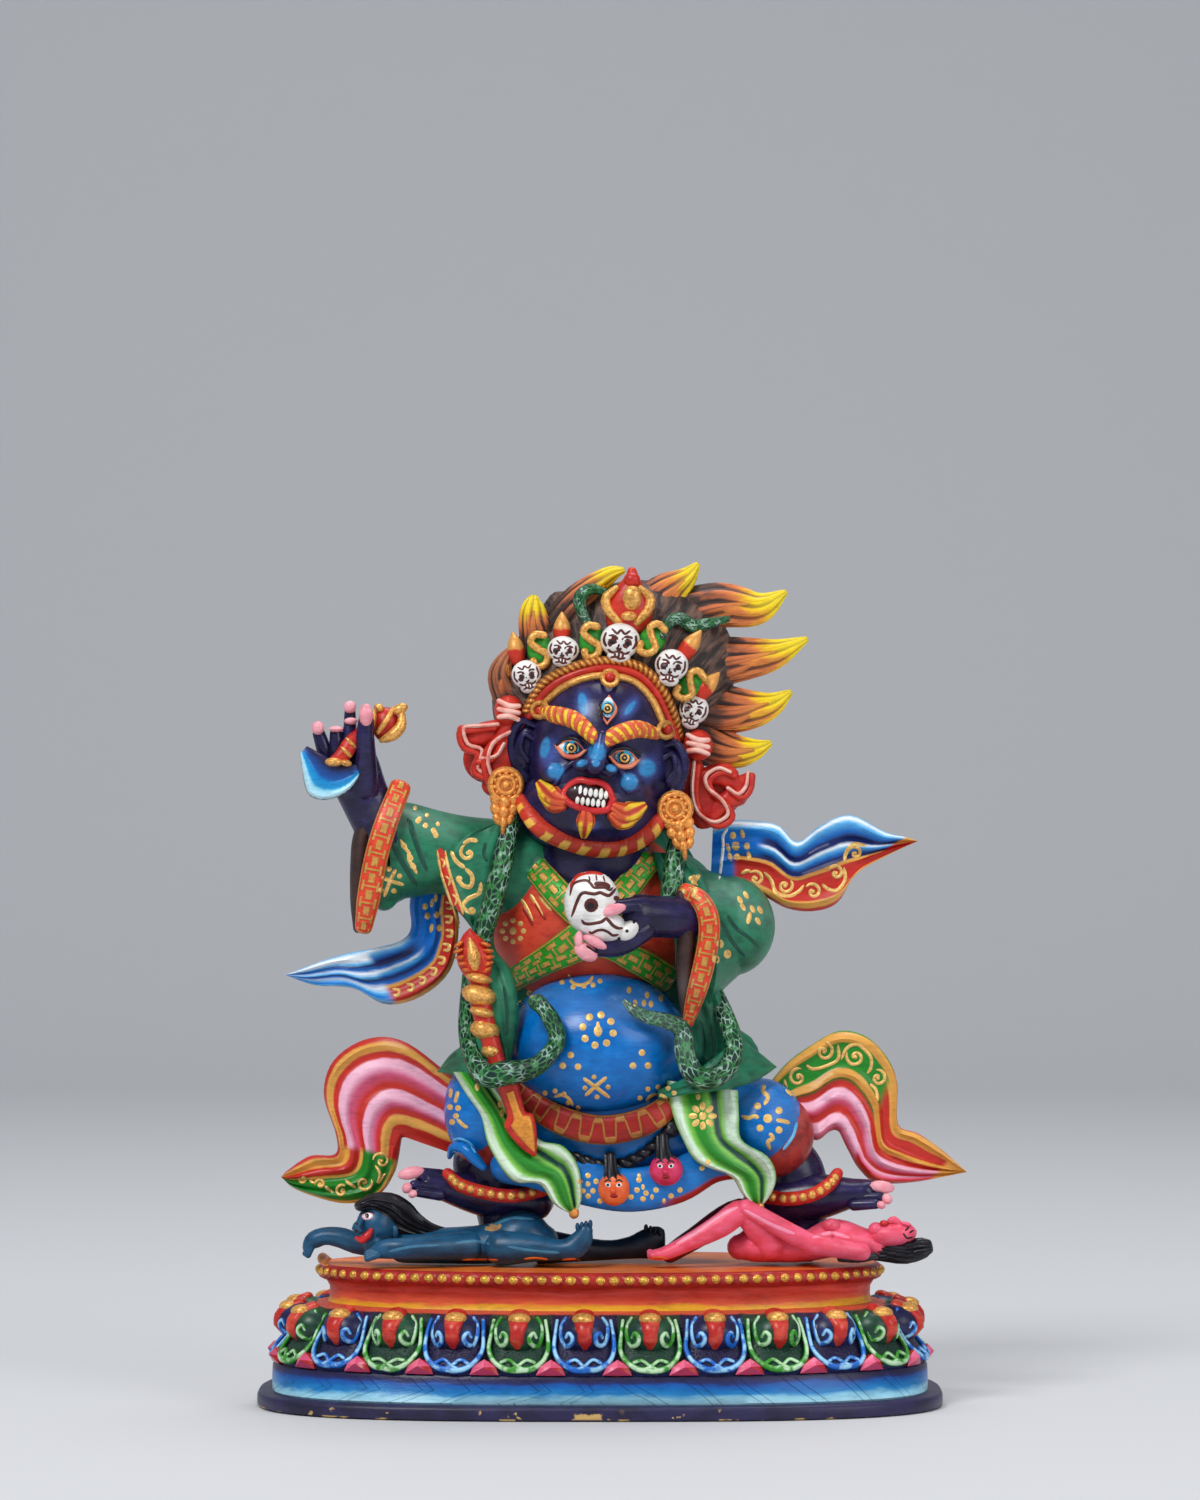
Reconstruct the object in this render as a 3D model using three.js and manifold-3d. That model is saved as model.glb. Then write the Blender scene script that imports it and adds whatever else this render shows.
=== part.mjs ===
// A painted protector figure: a stout wrathful deity in a long-sleeved coat, standing on two prone bodies and
// cast in one with them, on an oval lotus plinth that a foot plate closes below.
// Millimetres, +Z up, the front faces -Y, and the origin is the centre of the plate's underside.
import * as THREE from 'three';
import { mergeVertices } from 'three/addons/utils/BufferGeometryUtils.js';
import Module from 'manifold-3d';

const wasm = await Module();
wasm.setup();

// Driving dimensions
const FIGURE_HEIGHT = 126; // from the plinth's top to the tip of the highest lock of hair
const PLATE_LENGTH = 123;
const PLATE_DEPTH = 70;
const PLATE_THICKNESS = 2.6;
const BAND_SETBACK = 2.7; // from the plate's edge to the plinth's lowest band
const BAND_HEIGHT = 5;
const LOTUS_HEIGHT = 9.6; // the zone of petals
const WAIST_HEIGHT = 5;
const WAIST_SETBACK = 9.9; // from the band to the waist, which leaves room for the petals
const RIM_HEIGHT = 2.8;
const RIM_OVERHANG = 1.8;
const PETAL_PITCH = 11.8; // along the band's edge
const PETAL_SHIFT = -2.8; // of the petal nearest the middle of the front

const BAND_TOP = PLATE_THICKNESS + BAND_HEIGHT;
const LOTUS_TOP = BAND_TOP + LOTUS_HEIGHT;
const WAIST_TOP = LOTUS_TOP + WAIST_HEIGHT;
const PLINTH_TOP = WAIST_TOP + RIM_HEIGHT;

// Squareness of an oval's outline: 2 is an ellipse, and more is squarer
const PLATE_SQUARENESS = 3;
const BAND_SQUARENESS = 2.5;
const WAIST_SQUARENESS = 2.15;
const OUTLINE_CORNERS = 40;

const FACET_TOLERANCE = 0.24; // how far a face may move where small ones are merged

// The figure is laid out on a grid of units, CARVING_UNITS of them to its height: x runs right from the
// middle, z up from the plinth's top and y back from the middle plane. It is drawn as seen from VIEW_UNITS in
// front of that plane, EYE_UNITS up, so what stands nearer is drawn in towards that line of sight.
const CARVING_UNITS = 700;
const VIEW_UNITS = 6100;
const EYE_UNITS = 512;
const UNIT = FIGURE_HEIGHT / CARVING_UNITS;

const nearness = (y) => 1 + y / VIEW_UNITS;

function at(x, z, y = 0) {
  const height = EYE_UNITS + (z - EYE_UNITS) * nearness(y);
  return new THREE.Vector3(x * nearness(y) * UNIT, y * UNIT, PLINTH_TOP + height * UNIT);
}

// Solids

function solidOf(geometry) {
  const bare = new THREE.BufferGeometry().setAttribute('position', geometry.getAttribute('position'));
  bare.setIndex(geometry.index);
  const merged = mergeVertices(bare, 1e-5);
  const vertProperties = new Float32Array(merged.attributes.position.array);
  const triVerts = new Uint32Array(merged.index.array);
  const made = new wasm.Manifold(new wasm.Mesh({ numProp: 3, vertProperties, triVerts }));
  if (made.volume() >= 0) return made;
  for (let i = 0; i < triVerts.length; i += 3) {
    [triVerts[i + 1], triVerts[i + 2]] = [triVerts[i + 2], triVerts[i + 1]];
  }
  return new wasm.Manifold(new wasm.Mesh({ numProp: 3, vertProperties, triVerts }));
}

function meshOf(solid, name, material) {
  const made = solid.getMesh();
  const geometry = new THREE.BufferGeometry();
  geometry.setAttribute('position', new THREE.BufferAttribute(new Float32Array(made.vertProperties), 3));
  geometry.setIndex(new THREE.BufferAttribute(new Uint32Array(made.triVerts), 1));
  geometry.computeVertexNormals();
  const mesh = new THREE.Mesh(geometry, material);
  mesh.name = name;
  return mesh;
}

const joined = (solids) => solids.reduce((whole, solid) => whole.add(solid));

const normalOf = ([a, b, c]) => new THREE.Vector3().crossVectors(b.clone().sub(a), c.clone().sub(a));

// Merges each point into a neighbour where the faces around it then move by less than FACET_TOLERANCE, keep
// their direction and stay closed. That takes out the slivers that joins leave.
function thinned(solid) {
  const made = solid.getMesh();
  const points = Array.from({ length: made.vertProperties.length / 3 }, (_, i) =>
    new THREE.Vector3().fromArray(made.vertProperties, i * 3));
  const faces = Array.from({ length: made.triVerts.length / 3 }, (_, i) =>
    [...made.triVerts.slice(i * 3, i * 3 + 3)]);
  const facesAt = points.map(() => new Set());
  faces.forEach((face, i) => face.forEach((v) => facesAt[v].add(i)));
  const strayed = points.map(() => 0);
  const around = (v) => new Set([...facesAt[v]].flatMap((i) => faces[i]).filter((w) => w !== v));
  const place = (face) => face.map((v) => points[v]);

  // How far the faces around gone stray when it merges into keep, or Infinity where it can't
  function strayOf(gone, keep) {
    const step = points[keep].clone().sub(points[gone]);
    let stray = 0;
    for (const i of facesAt[gone]) {
      const before = normalOf(place(faces[i]));
      stray = Math.max(stray, Math.abs(before.dot(step)) / Math.max(before.length(), 1e-9));
      if (faces[i].includes(keep)) continue;
      const after = normalOf(place(faces[i].map((v) => (v === gone ? keep : v))));
      const agreement = before.dot(after) / (before.length() * after.length());
      if (after.length() < 1e-6 || agreement < 0.4) return Infinity;
    }
    return stray + strayed[gone];
  }

  for (let gone = 0; gone < points.length; gone++) {
    const near = around(gone);
    const choices = [...near]
      .filter((keep) => [...around(keep)].filter((w) => near.has(w)).length === 2)
      .map((keep) => [keep, strayOf(gone, keep)])
      .filter(([, stray]) => stray < FACET_TOLERANCE);
    if (!choices.length) continue;
    const [keep, stray] = choices.reduce((best, choice) => (choice[1] < best[1] ? choice : best));
    for (const i of [...facesAt[gone]]) {
      if (faces[i].includes(keep)) {
        faces[i].forEach((v) => facesAt[v].delete(i));
        faces[i] = null;
      } else {
        faces[i] = faces[i].map((v) => (v === gone ? keep : v));
        facesAt[keep].add(i);
      }
    }
    strayed[keep] = Math.max(strayed[keep], stray);
  }
  const geometry = new THREE.BufferGeometry();
  geometry.setAttribute('position', new THREE.Float32BufferAttribute(points.flatMap((p) => p.toArray()), 3));
  geometry.setIndex(faces.filter(Boolean).flat());
  return solidOf(geometry.toNonIndexed());
}

// A body through rings of points, each ring in the same order, that closes to a point at both ends
function skinned(rings, first, last) {
  const around = rings[0].length;
  const points = [first, ...rings.flat(), last];
  const end = 1 + (rings.length - 1) * around;
  const corners = [];
  for (let j = 0; j < around; j++) {
    const next = (j + 1) % around;
    corners.push(0, 1 + next, 1 + j);
    for (let i = 0; i + 1 < rings.length; i++) {
      const [a, b] = [1 + i * around, 1 + (i + 1) * around];
      corners.push(a + j, a + next, b + next, a + j, b + next, b + j);
    }
    corners.push(points.length - 1, end + j, end + next);
  }
  const geometry = new THREE.BufferGeometry();
  geometry.setAttribute('position', new THREE.Float32BufferAttribute(points.flatMap((p) => p.toArray()), 3));
  geometry.setIndex(corners);
  return solidOf(geometry);
}

// Cross-sections, as [across, towards the front] in shares of half the width and half the thickness

function round(sides) {
  return Array.from({ length: sides }, (_, j) => {
    const turn = (j / sides) * 2 * Math.PI;
    return [Math.cos(turn), Math.sin(turn)];
  });
}

// Folds or locks that run along a body
function pleated(pleats, depth) {
  return round(pleats * 2).map(([across, out], j) => {
    const reach = j % 2 ? 1 - depth : 1;
    return [across * reach, out * reach];
  });
}

const smooth = (points) => new THREE.CatmullRomCurve3(points, false, 'catmullrom', 0.5);

const toFront = new THREE.Vector3(0, -1, 0);
const toLeft = new THREE.Vector3(-1, 0, 0);
const upwards = new THREE.Vector3(0, 0, 1);

// A body along a smooth line. Each stop is [x, z, y, half width, half thickness] in units, and the thickness
// is measured towards facing. Its ends close to a point, out by the share ends of the smaller half size.
function swept(stops, { section = round(4), steps = 1, facing = toFront, ends = 0.6 } = {}) {
  const line = smooth(stops.map(([x, z, y]) => at(x, z, y)));
  const sizes = smooth(
    stops.map(([, , y, wide, thick = wide]) =>
      new THREE.Vector3(wide, thick, 0).multiplyScalar(UNIT * nearness(y))),
  );
  const count = (stops.length - 1) * steps;
  const rings = [];
  const tips = [];
  for (let i = 0; i <= count; i++) {
    const centre = line.getPoint(i / count);
    const size = sizes.getPoint(i / count);
    const ahead = line.getTangent(i / count);
    const across = new THREE.Vector3().crossVectors(ahead, facing).normalize();
    const out = new THREE.Vector3().crossVectors(across, ahead).normalize();
    rings.push(
      section.map(([u, v]) =>
        centre.clone().addScaledVector(across, u * size.x).addScaledVector(out, v * size.y)),
    );
    const reach = Math.min(size.x, size.y) * ends * (i ? 1 : -1);
    if (i === 0 || i === count) tips.push(centre.clone().addScaledVector(ahead, reach));
  }
  return skinned(rings, tips[0], tips[1]);
}

// A stiff cloth between two edges, whose front waves into folds. Each stop is [x, z] on the one edge, [x, z]
// on the other and y, and the cloth closes to the point tip. All are in units, and so are its thickness and
// fold depth.
function draped(stops, tip, { folds = 2, thick = 8, depth = 5, steps = 2 } = {}) {
  const edges = [0, 1].map((k) => smooth(stops.map((stop) => at(stop[k][0], stop[k][1], stop[2]))));
  const count = (stops.length - 1) * steps;
  const waves = Array.from({ length: folds * 2 + 1 }, (_, j) =>
    [j / (folds * 2), thick + (j % 2 ? depth : -depth)]);
  const section = [...waves, [0.96, -thick], [0.04, -thick]];
  const rings = Array.from({ length: count + 1 }, (_, i) => {
    const [one, other] = edges.map((edge) => edge.getPoint(i / count));
    const shrink = Math.min(1, one.distanceTo(other) / (thick * 4 * UNIT));
    return section.map(([share, out]) =>
      one.clone().lerp(other, share).addScaledVector(toFront, out * UNIT * shrink));
  });
  const start = edges.map((edge) => edge.getPoint(0));
  return skinned(rings, start[0].lerp(start[1], 0.5), at(...tip));
}

// A rounded body: its middle, its half sizes across, up and back in units, its lean in degrees and its
// fineness
function blob([x, z, y], [across, up, back], lean = 0, detail = 1) {
  const geometry = new THREE.IcosahedronGeometry(1, detail);
  geometry.scale(across * UNIT * nearness(y), back * UNIT, up * UNIT * nearness(y));
  geometry.rotateY(THREE.MathUtils.degToRad(lean));
  geometry.translate(...at(x, z, y).toArray());
  return solidOf(geometry);
}

// The same with few faces, for small things
const bead = (middle, sizes, lean) => blob(middle, sizes.map((size) => size * 1.12), lean, 0);

// Plinth

// A point of an oval, with half length a and half depth b, in the direction of turn
function ovalPoint(a, b, squareness, turn) {
  const [c, s] = [Math.cos(turn), Math.sin(turn)];
  const power = 2 / squareness;
  return new THREE.Vector2(a * Math.sign(c) * Math.abs(c) ** power, b * Math.sign(s) * Math.abs(s) ** power);
}

// An oval body through levels of [height, setback from the plate's edge, squareness]
function ovalBody(levels) {
  const rings = levels.map(([z, setback, squareness]) =>
    Array.from({ length: OUTLINE_CORNERS }, (_, j) => {
      const turn = (j / OUTLINE_CORNERS) * 2 * Math.PI;
      const p = ovalPoint(PLATE_LENGTH / 2 - setback, PLATE_DEPTH / 2 - setback, squareness, turn);
      return new THREE.Vector3(p.x, p.y, z);
    }));
  return skinned(rings, new THREE.Vector3(0, 0, levels[0][0]), new THREE.Vector3(0, 0, levels.at(-1)[0]));
}

// Places spread evenly along an oval's edge, the first one shift away from the middle of the front, each with
// the direction outwards
function placesAlong(setback, squareness, pitch, shift) {
  const [a, b] = [PLATE_LENGTH / 2 - setback, PLATE_DEPTH / 2 - setback];
  const steps = OUTLINE_CORNERS * 18;
  const fine = Array.from({ length: steps + 1 }, (_, j) =>
    ovalPoint(a, b, squareness, (j / steps) * 2 * Math.PI));
  const reached = [0];
  for (let j = 1; j < fine.length; j++) reached.push(reached[j - 1] + fine[j].distanceTo(fine[j - 1]));
  const length = reached.at(-1);
  const count = 2 * Math.round(length / pitch / 2);
  const frontMiddle = length * 0.75;
  return Array.from({ length: count }, (_, i) => {
    const wanted = (frontMiddle + shift + (i / count) * length) % length;
    const j = Math.max(1, reached.findIndex((r) => r >= wanted));
    const share = (wanted - reached[j - 1]) / (reached[j] - reached[j - 1]);
    const along = fine[j].clone().sub(fine[j - 1]).normalize();
    const point = fine[j - 1].clone().lerp(fine[j], share);
    return { point, out: new THREE.Vector2(along.y, -along.x) };
  });
}

// How far the lotus band draws in from the band's edge, by the height in it, on a petal's middle, on its
// shoulders and in the groove between two petals, each as a share of WAIST_SETBACK
const PETAL_PROFILE = [
  [-0.1, 0.3, 0.3, 0.4],
  [0.12, 0.02, 0.04, 0.3],
  [0.5, 0.3, 0.2, 0.5],
  [0.62, 0.12, 0.26, 0.62],
  [0.88, 0.18, 0.36, 0.74],
  [1.1, 0.62, 0.72, 0.9],
  [1.14, 1.1, 1.1, 1.1],
];

// The ring of petals, each with a groove on both sides and a curled lobe that hangs from its top
function lotus() {
  const rings = PETAL_PROFILE.map(([height, ...shares]) => {
    const places = [0, 0.28, 0.5, 0.72].map((turn) =>
      placesAlong(BAND_SETBACK, BAND_SQUARENESS, PETAL_PITCH, PETAL_SHIFT + turn * PETAL_PITCH));
    const draws = [shares[0], shares[1], shares[2], shares[1]].map((share) => share * WAIST_SETBACK);
    return places[0].flatMap((_, i) => places.map((row, k) => {
      const { point, out } = row[i];
      return new THREE.Vector3(
        point.x - out.x * draws[k],
        point.y - out.y * draws[k],
        BAND_TOP + height * LOTUS_HEIGHT,
      );
    }));
  });
  const middle = (height) => new THREE.Vector3(0, 0, BAND_TOP + height * LOTUS_HEIGHT);
  return skinned(rings, middle(PETAL_PROFILE[0][0]), middle(PETAL_PROFILE.at(-1)[0]));
}

function plinth() {
  const waist = BAND_SETBACK + WAIST_SETBACK;
  const rim = waist - RIM_OVERHANG;
  const band = ovalBody([
    [PLATE_THICKNESS, BAND_SETBACK, PLATE_SQUARENESS],
    [BAND_TOP, BAND_SETBACK, BAND_SQUARENESS],
  ]);
  const stand = ovalBody([
    [BAND_TOP - BAND_HEIGHT / 2, waist, WAIST_SQUARENESS],
    [LOTUS_TOP, waist, WAIST_SQUARENESS],
    [WAIST_TOP, waist, WAIST_SQUARENESS],
    [WAIST_TOP + RIM_HEIGHT * 0.3, rim, WAIST_SQUARENESS],
    [PLINTH_TOP - RIM_HEIGHT * 0.2, rim, WAIST_SQUARENESS],
    [PLINTH_TOP, rim + RIM_HEIGHT * 0.2, WAIST_SQUARENESS],
  ]);
  return thinned(joined([band, stand, lotus()]));
}

function footPlate() {
  return ovalBody([
    [0, PLATE_THICKNESS * 0.15, PLATE_SQUARENESS],
    [PLATE_THICKNESS * 0.3, 0, PLATE_SQUARENESS],
    [PLATE_THICKNESS, PLATE_THICKNESS * 0.2, PLATE_SQUARENESS],
  ]);
}

// Figure

// The large rounded masses: the middle, the half sizes across, up and back, and the fineness
const MASSES = [
  [[-8, 342, 12], [104, 98, 76], 1], // chest
  [[-6, 410, -2], [60, 44, 50], 1], // neck
  [[86, 386, 14], [52, 60, 56], 1], // right shoulder
  [[-2, 217, -32], [93, 74, 86], 2], // belly
  [[12, 138, 5], [140, 70, 86], 1], // skirt
  [[-126, 144, -22], [42, 68, 54], 1], // knees, spread wide
  [[166, 130, -20], [46, 64, 54], 1],
  [[2, 494, -20], [76, 100, 74], 2], // head
  [[-6, 456, -28], [78, 52, 68], 1], // jaw
  [[-2, 560, 16], [106, 90, 60], 1], // hair
  [[40, 596, 14], [96, 86, 50], 1],
];

// How far forward the masses reach at a place of the front
function frontAt(x, z) {
  const depths = MASSES.map(([[cx, cz, cy], [across, up, back]]) => {
    const inside = 1 - ((x - cx) / across) ** 2 - ((z - cz) / up) ** 2;
    return inside > 0 ? cy - back * Math.sqrt(inside) : 0;
  });
  return Math.min(...depths);
}

// Stops [x, z, half width, half thickness] that lie on the masses, standing out by lift
const laid = (stops, lift = 3) =>
  stops.map(([x, z, wide, thick]) => [x, z, frontAt(x, z) - lift, wide, thick]);

// A place on the masses
const on = (x, z, lift = 3) => [x, z, frontAt(x, z) - lift];

// The coat's back, from the neck down to its hem
function coat() {
  return [
    swept([[-6, 432, 36, 84, 38], [-6, 372, 38, 118, 56], [-2, 290, 34, 134, 64], [4, 206, 30, 154, 70],
      [10, 132, 26, 152, 66], [12, 84, 22, 136, 54]], { section: pleated(9, 0.09), ends: 0.2 }),
  ];
}

// The bands that cross on the chest and the one under it
function collar() {
  return [
    swept(laid([[-70, 402, 12, 9], [-36, 362, 14, 10], [6, 326, 14, 10]])),
    swept(laid([[46, 398, 12, 9], [6, 350, 14, 10], [-42, 310, 14, 10], [-86, 284, 13, 9]])),
    swept(laid([[-60, 300, 10, 8], [0, 318, 13, 9], [58, 290, 13, 9]], 5)),
  ];
}

// What is worn over the skirt
function robe() {
  return [
    // Hem
    swept([[-118, 100, -44, 22, 26], [-60, 90, -66, 22, 14], [0, 80, -72, 20, 10], [50, 78, -70, 20, 10],
      [100, 92, -58, 20, 14], [158, 102, -40, 20, 24]], { section: round(6) }),
    // Belt, and the twisted rope below it
    swept(laid([[-86, 176, 10, 9], [-48, 148, 13, 9], [0, 137, 13, 9], [48, 146, 13, 9], [84, 170, 10, 9]],
      5)),
    swept(laid([[-50, 108, 9, 8], [-10, 102, 8, 8], [16, 97, 8, 8], [46, 110, 8, 8], [72, 136, 9, 9]], 5)),
    // Two heads that hang from it
    ...[[14, 73, 15, 16], [66, 92, 16, 15]].flatMap(([x, z, wide, high]) => [
      bead([x, z, -84], [wide, high, 14]),
      swept([[x - 1, z + 8, -82, wide * 0.8, 9], [x - 4, z + 28, -80, 6, 6]]),
    ]),
    // Sash ends over the thighs
    draped([[[-147, 190], [-116, 192], -64], [[-134, 168], [-98, 168], -72], [[-119, 146], [-82, 144], -78],
      [[-111, 116], [-60, 122], -82], [[-88, 82], [-37, 116], -84], [[-61, 78], [-22, 96], -82],
      [[-46, 58], [-18, 66], -78]], [-26, 46, -74], { steps: 1 }),
    draped([[[66, 182], [138, 172], -68], [[72, 150], [139, 146], -78], [[82, 124], [142, 122], -82],
      [[97, 100], [167, 106], -80], [[130, 86], [176, 88], -74], [[142, 68], [172, 70], -70]], [159, 53, -66],
      { steps: 1 }),
  ];
}

// Tucked in the belt, with a beaded grip
function dagger() {
  const beads = [[-122, 310, 17, 21], [-117, 266, 19, 12], [-108, 232, 16, 12], [-98, 206, 14, 12]];
  return [
    swept([[-126, 326, -72, 9], [-112, 250, -84, 12], [-94, 190, -92, 9], [-76, 132, -96, 8]]),
    ...beads.map(([x, z, wide, high]) => bead([x, z, -84], [wide, high, 16], 10)),
    swept([[-80, 150, -96, 8, 7], [-77, 141, -97, 16, 8], [-68, 120, -98, 8, 7], [-65, 110, -97, 2, 3]]),
  ];
}

// Over both shoulders and round both sides of the belly
function snakes() {
  return [
    [[-88, 444, -38, 10], [-97, 404, -50, 12], [-108, 366, -50, 12], [-122, 326, -54, 11]],
    [[-130, 286, -48, 8], [-132, 236, -56, 9], [-118, 196, -84, 11], [-84, 180, -100, 11],
      [-54, 190, -112, 12], [-38, 216, -118, 12], [-48, 244, -112, 12], [-66, 262, -98, 10]],
    [[80, 432, -38, 10], [70, 396, -52, 12], [66, 356, -66, 12]],
    [[110, 286, -40, 10], [134, 248, -50, 12], [142, 212, -58, 12], [120, 180, -74, 12],
      [92, 188, -94, 12], [84, 216, -98, 12], [86, 246, -96, 10], [58, 252, -104, 8], [26, 257, -112, 4]],
  ].map((stops) => swept(stops, { section: round(5), steps: 2 }));
}

function leftArm() {
  const fingers = [[-251, 550, 8], [-283, 534, 7], [-266, 532, 9]];
  return [
    // Wide sleeve and its turned-back edge
    swept([[-62, 382, 10, 56, 54], [-140, 402, -6, 46, 42], [-188, 404, -18, 54, 38],
      [-220, 404, -24, 68, 36]], { section: round(8), ends: 0.02 }),
    swept([[-200, 474, -44, 11, 8], [-216, 438, -62, 11, 8], [-227, 392, -64, 11, 8],
      [-236, 336, -48, 9, 8]]),
    // Forearm, the raised finger and the others
    swept([[-212, 420, -34, 26, 24], [-234, 462, -38, 25, 20], [-248, 496, -42, 27, 17]],
      { section: round(6) }),
    swept([[-235, 482, -44, 13, 12], [-235, 520, -48, 10, 10], [-234, 552, -50, 6, 6]]),
    ...fingers.map(([x, top, r]) =>
      swept([[x, 500, -42, r + 2], [x, top - 14, -48, r], [x, top, -50, r * 0.7]])),
    // Chopper, and its handle with a prong at the end
    swept([[-298, 512, -60, 4, 5], [-291, 484, -62, 14, 6], [-268, 474, -64, 18, 6], [-236, 490, -60, 6, 5]]),
    swept([[-274, 492, -60, 8, 8], [-240, 515, -56, 9, 9], [-206, 543, -46, 12, 10]]),
    bead([-203, 545, -45], [19, 17, 12]),
    swept([[-206, 540, -44, 9, 7], [-196, 562, -42, 3, 3]]),
  ];
}

function rightArm() {
  return [
    // Elbow in its full sleeve, and the sleeve's edge
    blob([131, 334, -8], [46, 52, 54]),
    swept([[122, 332, -16, 48, 44], [104, 312, -52, 58, 28], [96, 304, -74, 62, 22]],
      { section: round(8), facing: toLeft, ends: 0.02 }),
    swept([[90, 368, -82, 11, 9], [108, 338, -84, 11, 9], [106, 300, -84, 11, 9], [88, 240, -80, 7, 7]]),
    // Forearm, thumb and fingers round the cup
    swept([[100, 342, -66, 22, 20], [66, 342, -92, 20, 19], [34, 340, -112, 18, 16]],
      { section: round(6) }),
    swept([[42, 350, -112, 11], [10, 355, -136, 7]]),
    swept([[44, 326, -112, 13, 12], [12, 310, -130, 11], [-18, 320, -138, 7]]),
    // Skull cup, and what holds it to the chest
    blob([-7, 356, -126], [31, 34, 28]),
    swept([[0, 352, -40, 20], [-4, 352, -110, 18]], { section: round(6), facing: upwards }),
  ];
}

// Long scarves that stand off the shoulders and legs in stiff waves
function scarves() {
  return [
    draped([[[-178, 396], [-138, 398], 6], [[-190, 362], [-142, 356], 2], [[-189, 334], [-142, 322], 0],
      [[-200, 321], [-152, 288], 0], [[-225, 314], [-182, 264], -2], [[-250, 309], [-215, 258], -2],
      [[-272, 303], [-247, 274], 0], [[-297, 294], [-285, 277], 2]], [-315, 287, 2]),
    draped([[[102, 426], [102, 384], 14], [[130, 440], [132, 384], 12], [[175, 438], [160, 368], 8],
      [[197, 420], [186, 354], 4], [[220, 436], [214, 351], 4], [[250, 447], [238, 360], 4],
      [[285, 430], [256, 388], 6], [[306, 425], [290, 408], 8]], [318, 421, 8]),
    draped([[[-146, 184], [-134, 104], 0], [[-195, 220], [-180, 120], 4], [[-233, 223], [-196, 125], 6],
      [[-266, 202], [-199, 119], 6], [[-276, 168], [-201, 106], 4], [[-264, 128], [-206, 88], 2],
      [[-265, 108], [-222, 67], 2], [[-290, 106], [-256, 59], 4], [[-312, 92], [-302, 72], 6]],
      [-319, 85, 6], { folds: 3 }),
    draped([[[164, 172], [182, 126], 0], [[186, 198], [202, 128], 4], [[210, 216], [217, 122], 6],
      [[239, 231], [230, 131], 6], [[267, 225], [238, 131], 4], [[288, 203], [243, 122], 4],
      [[297, 178], [249, 110], 4], [[298, 138], [259, 93], 4], [[319, 128], [276, 80], 6],
      [[342, 112], [312, 80], 8]], [367, 90, 8], { folds: 3 }),
  ];
}

function legs() {
  const sides = { section: round(6) };
  return [
    // Shin, foot and anklet on the one side, then on the other
    swept([[-98, 112, -6, 40, 36], [-96, 78, -10, 38, 34], [-96, 56, -12, 30, 28],
      [-104, 20, -16, 15, 18]], sides),
    swept([[-68, 64, -12, 22, 26], [-114, 70, -24, 23, 24], [-158, 79, -34, 18, 22],
      [-198, 84, -42, 9, 14]], sides),
    swept([[-150, 92, -46, 7, 7], [-118, 80, -50, 7, 7], [-56, 78, -40, 7, 7]]),
    swept([[198, 116, 0, 34, 34], [206, 86, -4, 34, 32], [204, 56, -8, 28, 26], [208, 16, -12, 16, 18]],
      sides),
    swept([[166, 58, -12, 24, 26], [214, 65, -22, 24, 24], [256, 71, -30, 17, 22], [294, 76, -38, 6, 12]],
      sides),
    swept([[162, 66, -38, 7, 7], [204, 70, -46, 7, 7], [240, 84, -32, 7, 7]]),
  ];
}

function head() {
  const ears = [[-76, 500, 534, 462], [70, 486, 520, 448]];
  const rings = [[-93, 477, -1], [76, 455, 1]];
  return [
    // Beard along the jaw, brows, nose, eyes and cheeks
    swept(laid([[-78, 462, 8, 9], [-56, 430, 8, 9], [-12, 412, 8, 9], [34, 417, 8, 9], [62, 444, 8, 9]],
      2)),
    swept(laid([[-54, 549, 7, 8], [-34, 545, 8, 9], [-7, 525, 7, 8]], 3)),
    swept(laid([[5, 521, 7, 8], [28, 532, 8, 9], [57, 528, 7, 8]], 3)),
    swept(laid([[3, 526, 8, 8], [-1, 508, 11, 12], [-5, 500, 18, 13]], 3)),
    ...[[-29, 514], [24, 504]].map(([x, z]) => bead(on(x, z, 1), [14, 10, 9])),
    ...[[-44, 490], [30, 480]].map(([x, z]) => bead(on(x, z, -4), [17, 14, 12])),
    // Lips and the two sides of the moustache
    swept(laid([[-38, 465, 8, 8], [-12, 468, 15, 9], [15, 462, 9, 8]], 2)),
    swept(laid([[-32, 466, 6, 7], [-60, 474, 6, 6]], 4)),
    swept(laid([[16, 460, 6, 7], [42, 456, 6, 6]], 4)),
    // Ears and earrings
    ...ears.map(([x, z, top, low]) =>
      swept([[x + 2, top, -34, 10], [x, z, -34, 15, 14], [x, low, -38, 10]])),
    ...rings.flatMap(([x, z, side]) => [
      bead([x, z, -46], [18, 18, 14]),
      swept([[x - side * 4, z - 4, -44, 14, 10], [x + side * 12, z - 46, -42, 4, 5]]),
    ]),
    // Bows behind the ears: a tail, a loop and the knot
    swept([[-80, 542, -18, 14, 16], [-96, 512, -12, 20, 10], [-102, 474, -10, 14, 8]]),
    swept([[-96, 500, -12, 11, 10], [-122, 494, -10, 11, 9], [-132, 516, -10, 10, 8],
      [-130, 534, -10, 7, 7], [-108, 530, -12, 7, 8]]),
    bead([-91, 551, -22], [16, 15, 16]),
    swept([[84, 516, -4, 12, 16], [98, 474, -8, 22, 10], [108, 444, -8, 14, 8]]),
    swept([[104, 484, -10, 11, 9], [128, 490, -8, 9, 8], [143, 478, -8, 8, 8], [138, 458, -8, 10, 8],
      [112, 446, -8, 10, 8]]),
    bead([97, 517, -6], [16, 17, 22]),
  ];
}

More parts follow.
